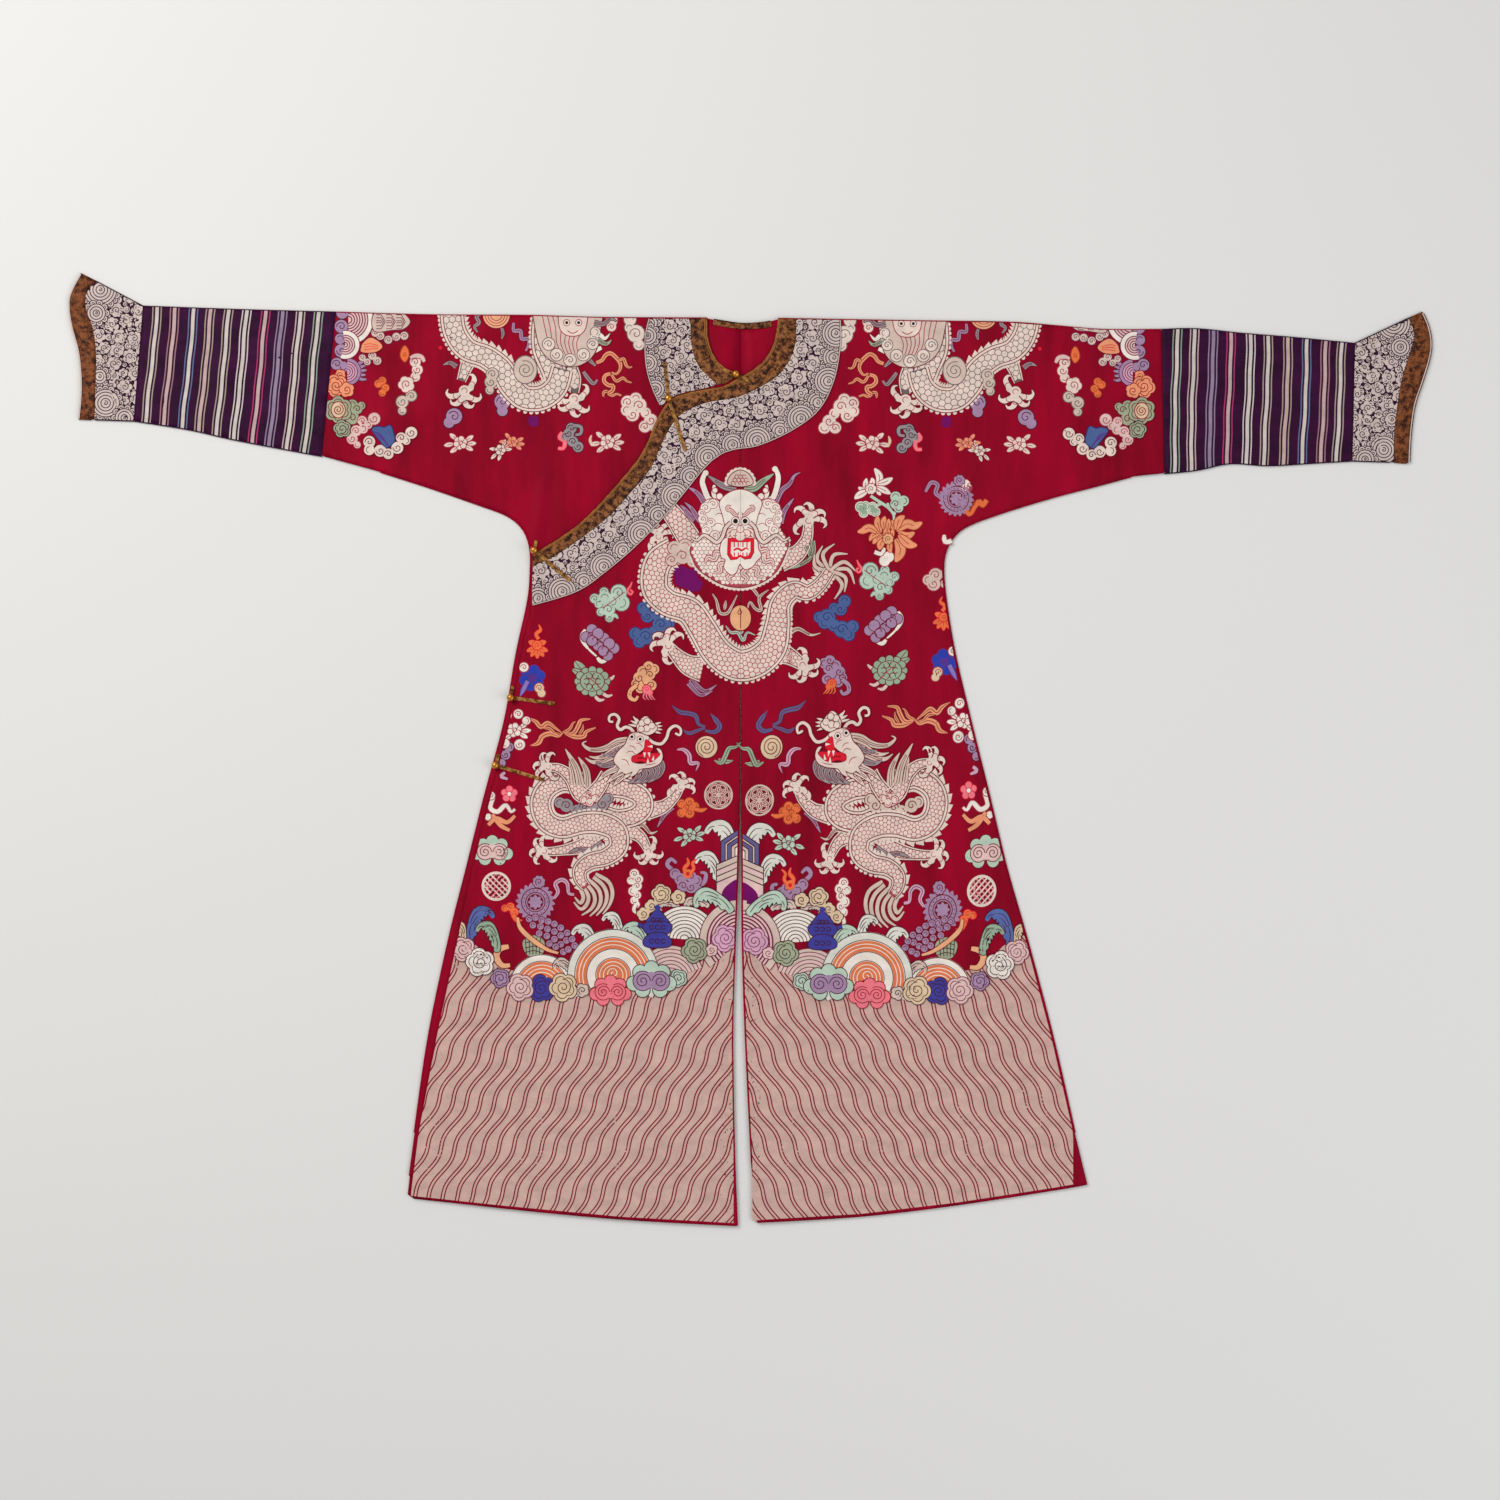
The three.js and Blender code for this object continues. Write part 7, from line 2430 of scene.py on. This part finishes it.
# How far the first and the last bundle of a sleeve lean, from the height where they are placed
STRIPE_LEAN = {"right": (-0.100, -0.104), "left": (-0.022, -0.048)}
STRIPE_PLACE_Y = 660
STRIPE_TOP_Y = {"right": 680, "left": 650}
STRIPE_FOOT_Y = 390
for side, stripes in (("right", RIGHT_STRIPES), ("left", LEFT_STRIPES)):
    art = Drawing()
    lean_from, lean_to = STRIPE_LEAN[side]
    for k, (px, rim_tint, mid_tint) in enumerate(stripes):
        lean = lean_from + (lean_to - lean_from) * k / (len(stripes) - 1)
        y = np.linspace(STRIPE_TOP_Y[side], STRIPE_FOOT_Y, 80)
        sway = 0.7 * np.sin(y / 30 + k * 0.4) + 0.5 * np.sin(y / 11 + k * 0.9)
        path = np.c_[spot(px, 0)[0] + lean * (STRIPE_PLACE_Y - y) + sway, y]
        for low, high, tint in ((-7.1, -5.3, rim_tint), (-2.6, 2.6, mid_tint), (5.3, 7.1, rim_tint)):
            band(path, low, high, tint)
    lay_on(f"sleeve_{side}_cloth", f"sleeve_{side}_stripes", art, 0.2)

# Braid loops, braid tabs and gilt balls

# Braid: the length of a stitch, its slant in degrees and its thickness
BRAID = {"stitch": 2.3, "slant": 28, "thick": 2.0}

# Buttons: radius of the ball, of its shank and of the loop round it, and how far its middle lies
# behind the fastening's place
BALL_RADIUS = 5.8
SHANK_RADIUS = 1.5
LOOP_RADIUS = 3.7
LOOP_OFFSET = 3.6

# Each fastening: name, x, y, the loop strap's heading and length and what it lies on, and the same
# three of the tab
FASTENINGS = [
    ("neck", -18, 561, -25, 18, "binding", (158, 20, "trim")),
    ("collar", -121, 523, -72, 76, "binding", (96, 54, "trim")),
    ("underarm", -320.5, 296.8, -40, 64, "binding", (78, 14, "cloth")),
    ("waist", -354.8, 78, -8, 60, "overlap", (80, 16, "cloth")),
    ("side", -377.8, -24, -17, 70, "overlap", (76, 16, "cloth")),
]
# What a braid lies on
SEATS = {
    "binding": over(outer_top, SEAM + BINDING + SEAM), "overlap": over(outer_top, SEAM),
    "trim": over(inner_top, SEAM + BINDING + SEAM), "cloth": over(inner_top, SEAM),
}


def ball_mesh(radii, turns=10, rings=6):
    """A closed ellipsoid about the origin."""
    up = np.linspace(-math.pi / 2, math.pi / 2, rings + 1)[1:-1]
    around = np.linspace(0, 2 * math.pi, turns, endpoint=False)
    u, a = np.meshgrid(up, around, indexing="ij")
    points = np.stack([np.cos(u) * np.cos(a), np.cos(u) * np.sin(a), np.sin(u)], -1).reshape(-1, 3)
    points = np.vstack([points, [(0, 0, -1), (0, 0, 1)]]) * radii
    n, low, top = turns, len(points) - 2, len(points) - 1
    faces = []
    for i in range(rings - 2):
        for j in range(n):
            p, q = i * n + j, i * n + (j + 1) % n
            faces += [(p, q, p + n), (q, q + n, p + n)]
    last = (rings - 2) * n
    faces += [(low, (j + 1) % n, j) for j in range(n)]
    faces += [(top, last + j, last + (j + 1) % n) for j in range(n)]
    return points, np.array(faces)


def braid(b, path, seat, width, cords=2):
    """Flat braid along a path: cords of slanting stitches, side by side."""
    path = evenly(path, BRAID["stitch"])
    side = sideways(path)
    cord_width = width / cords
    points, faces = ball_mesh((BRAID["stitch"] * 0.85, cord_width * 0.3, BRAID["thick"] / 2), 8, 5)
    for i in range(len(path)):
        way = math.degrees(math.atan2(-side[i][0], side[i][1]))
        for c in range(cords):
            for half in (-1, 1):
                off = (c - (cords - 1) / 2) * cord_width + half * cord_width * 0.2
                x, y = path[i] + side[i] * off
                turn = math.radians(way + half * BRAID["slant"])
                spin = np.array([[math.cos(turn), -math.sin(turn)], [math.sin(turn), math.cos(turn)]])
                flat = points[:, :2] @ spin.T
                z = seat(x, y) + BRAID["thick"] / 2 + 0.02 * half
                b.add(np.c_[flat + (x, y), points[:, 2] + z], faces)


def fastenings():
    for name, x, y, turn, length, on, (tab_turn, tab_length, tab_on) in FASTENINGS:
        way = heading(turn)
        centre = np.array([x, y]) - way * LOOP_OFFSET
        b = Build(f"loop_{name}_braid")
        around = np.radians(np.linspace(turn + 20, turn + 340, 14))
        ring = centre + LOOP_RADIUS * np.c_[np.cos(around), np.sin(around)]
        braid(b, ring, SEATS[on], 2.6, 1)
        braid(b, np.array([centre + way * 6.2, centre + way * (length + 5)]), SEATS[on], 5.2)
        b.finish([braid_silk], [f"loop_{name}"])
        away = heading(tab_turn)
        b = Build(f"tab_{name}_braid")
        braid(b, np.array([centre - away * 1.5, centre + away * tab_length]), SEATS[tab_on], 4.6)
        b.finish([braid_silk], [f"tab_{name}"])
        low, high = (np.array(c) * 1000 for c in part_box(f"button_{name}"))
        b = Build(f"button_{name}_ball")
        points, faces = ball_mesh((BALL_RADIUS, BALL_RADIUS, BALL_RADIUS), 28, 18)
        b.add(points + (*centre, high[2] - BALL_RADIUS), faces)
        half = (high[2] - low[2] - 8) / 2
        post, post_faces = ball_mesh((SHANK_RADIUS, SHANK_RADIUS, half), 12, 8)
        b.add(post + (*centre, low[2] + half), post_faces)
        b.finish([gilt], [f"button_{name}"])


fastenings()

# Camera, light and floor


def studio():
    scene = bpy.context.scene
    cam = bpy.data.cameras.new("camera")
    cam.sensor_width = SENSOR
    cam.lens = SENSOR * CAMERA_HEIGHT / (PHOTO_WIDTH * PHOTO_MM * 0.001)
    cam.clip_end = 30
    eye = bpy.data.objects.new("camera", cam)
    eye.location = (0, 0, CAMERA_HEIGHT)
    scene.collection.objects.link(eye)
    scene.camera = eye
    world = bpy.data.worlds.new("studio")
    world.use_nodes = True
    world.node_tree.nodes["Background"].inputs["Color"].default_value = (0.9, 0.92, 0.95, 1)
    world.node_tree.nodes["Background"].inputs["Strength"].default_value = 0.55
    scene.world = world
    scene.view_settings.view_transform = "Standard"
    for name, place, size, power, tint in (
        ("key", (-2.6, 2.2, 3.2), 2.4, 130, (1.0, 0.97, 0.93)),
        ("fill", (3.0, -1.2, 3.0), 3.0, 60, (0.95, 0.97, 1.0)),
    ):
        lamp = bpy.data.lights.new(name, "AREA")
        lamp.energy, lamp.size, lamp.color = power, size, tint
        obj = bpy.data.objects.new(name, lamp)
        obj.location = place
        obj.rotation_euler = (-Vector(place)).to_track_quat("-Z", "Y").to_euler()
        scene.collection.objects.link(obj)
    mesh = bpy.data.meshes.new("floor")
    r = FLOOR_HALF
    mesh.from_pydata([(-r, -r, 0), (r, -r, 0), (r, r, 0), (-r, r, 0)], [], [(0, 1, 2, 3)])
    floor = bpy.data.objects.new("floor", mesh)
    floor.location = (0, 0, -FLOOR_DROP)
    mat = bpy.data.materials.new("floor")
    mat.use_nodes = True
    mat.node_tree.nodes["Principled BSDF"].inputs["Base Color"].default_value = (0.7, 0.69, 0.67, 1)
    mat.node_tree.nodes["Principled BSDF"].inputs["Roughness"].default_value = 0.8
    mesh.materials.append(mat)
    scene.collection.objects.link(floor)


studio()
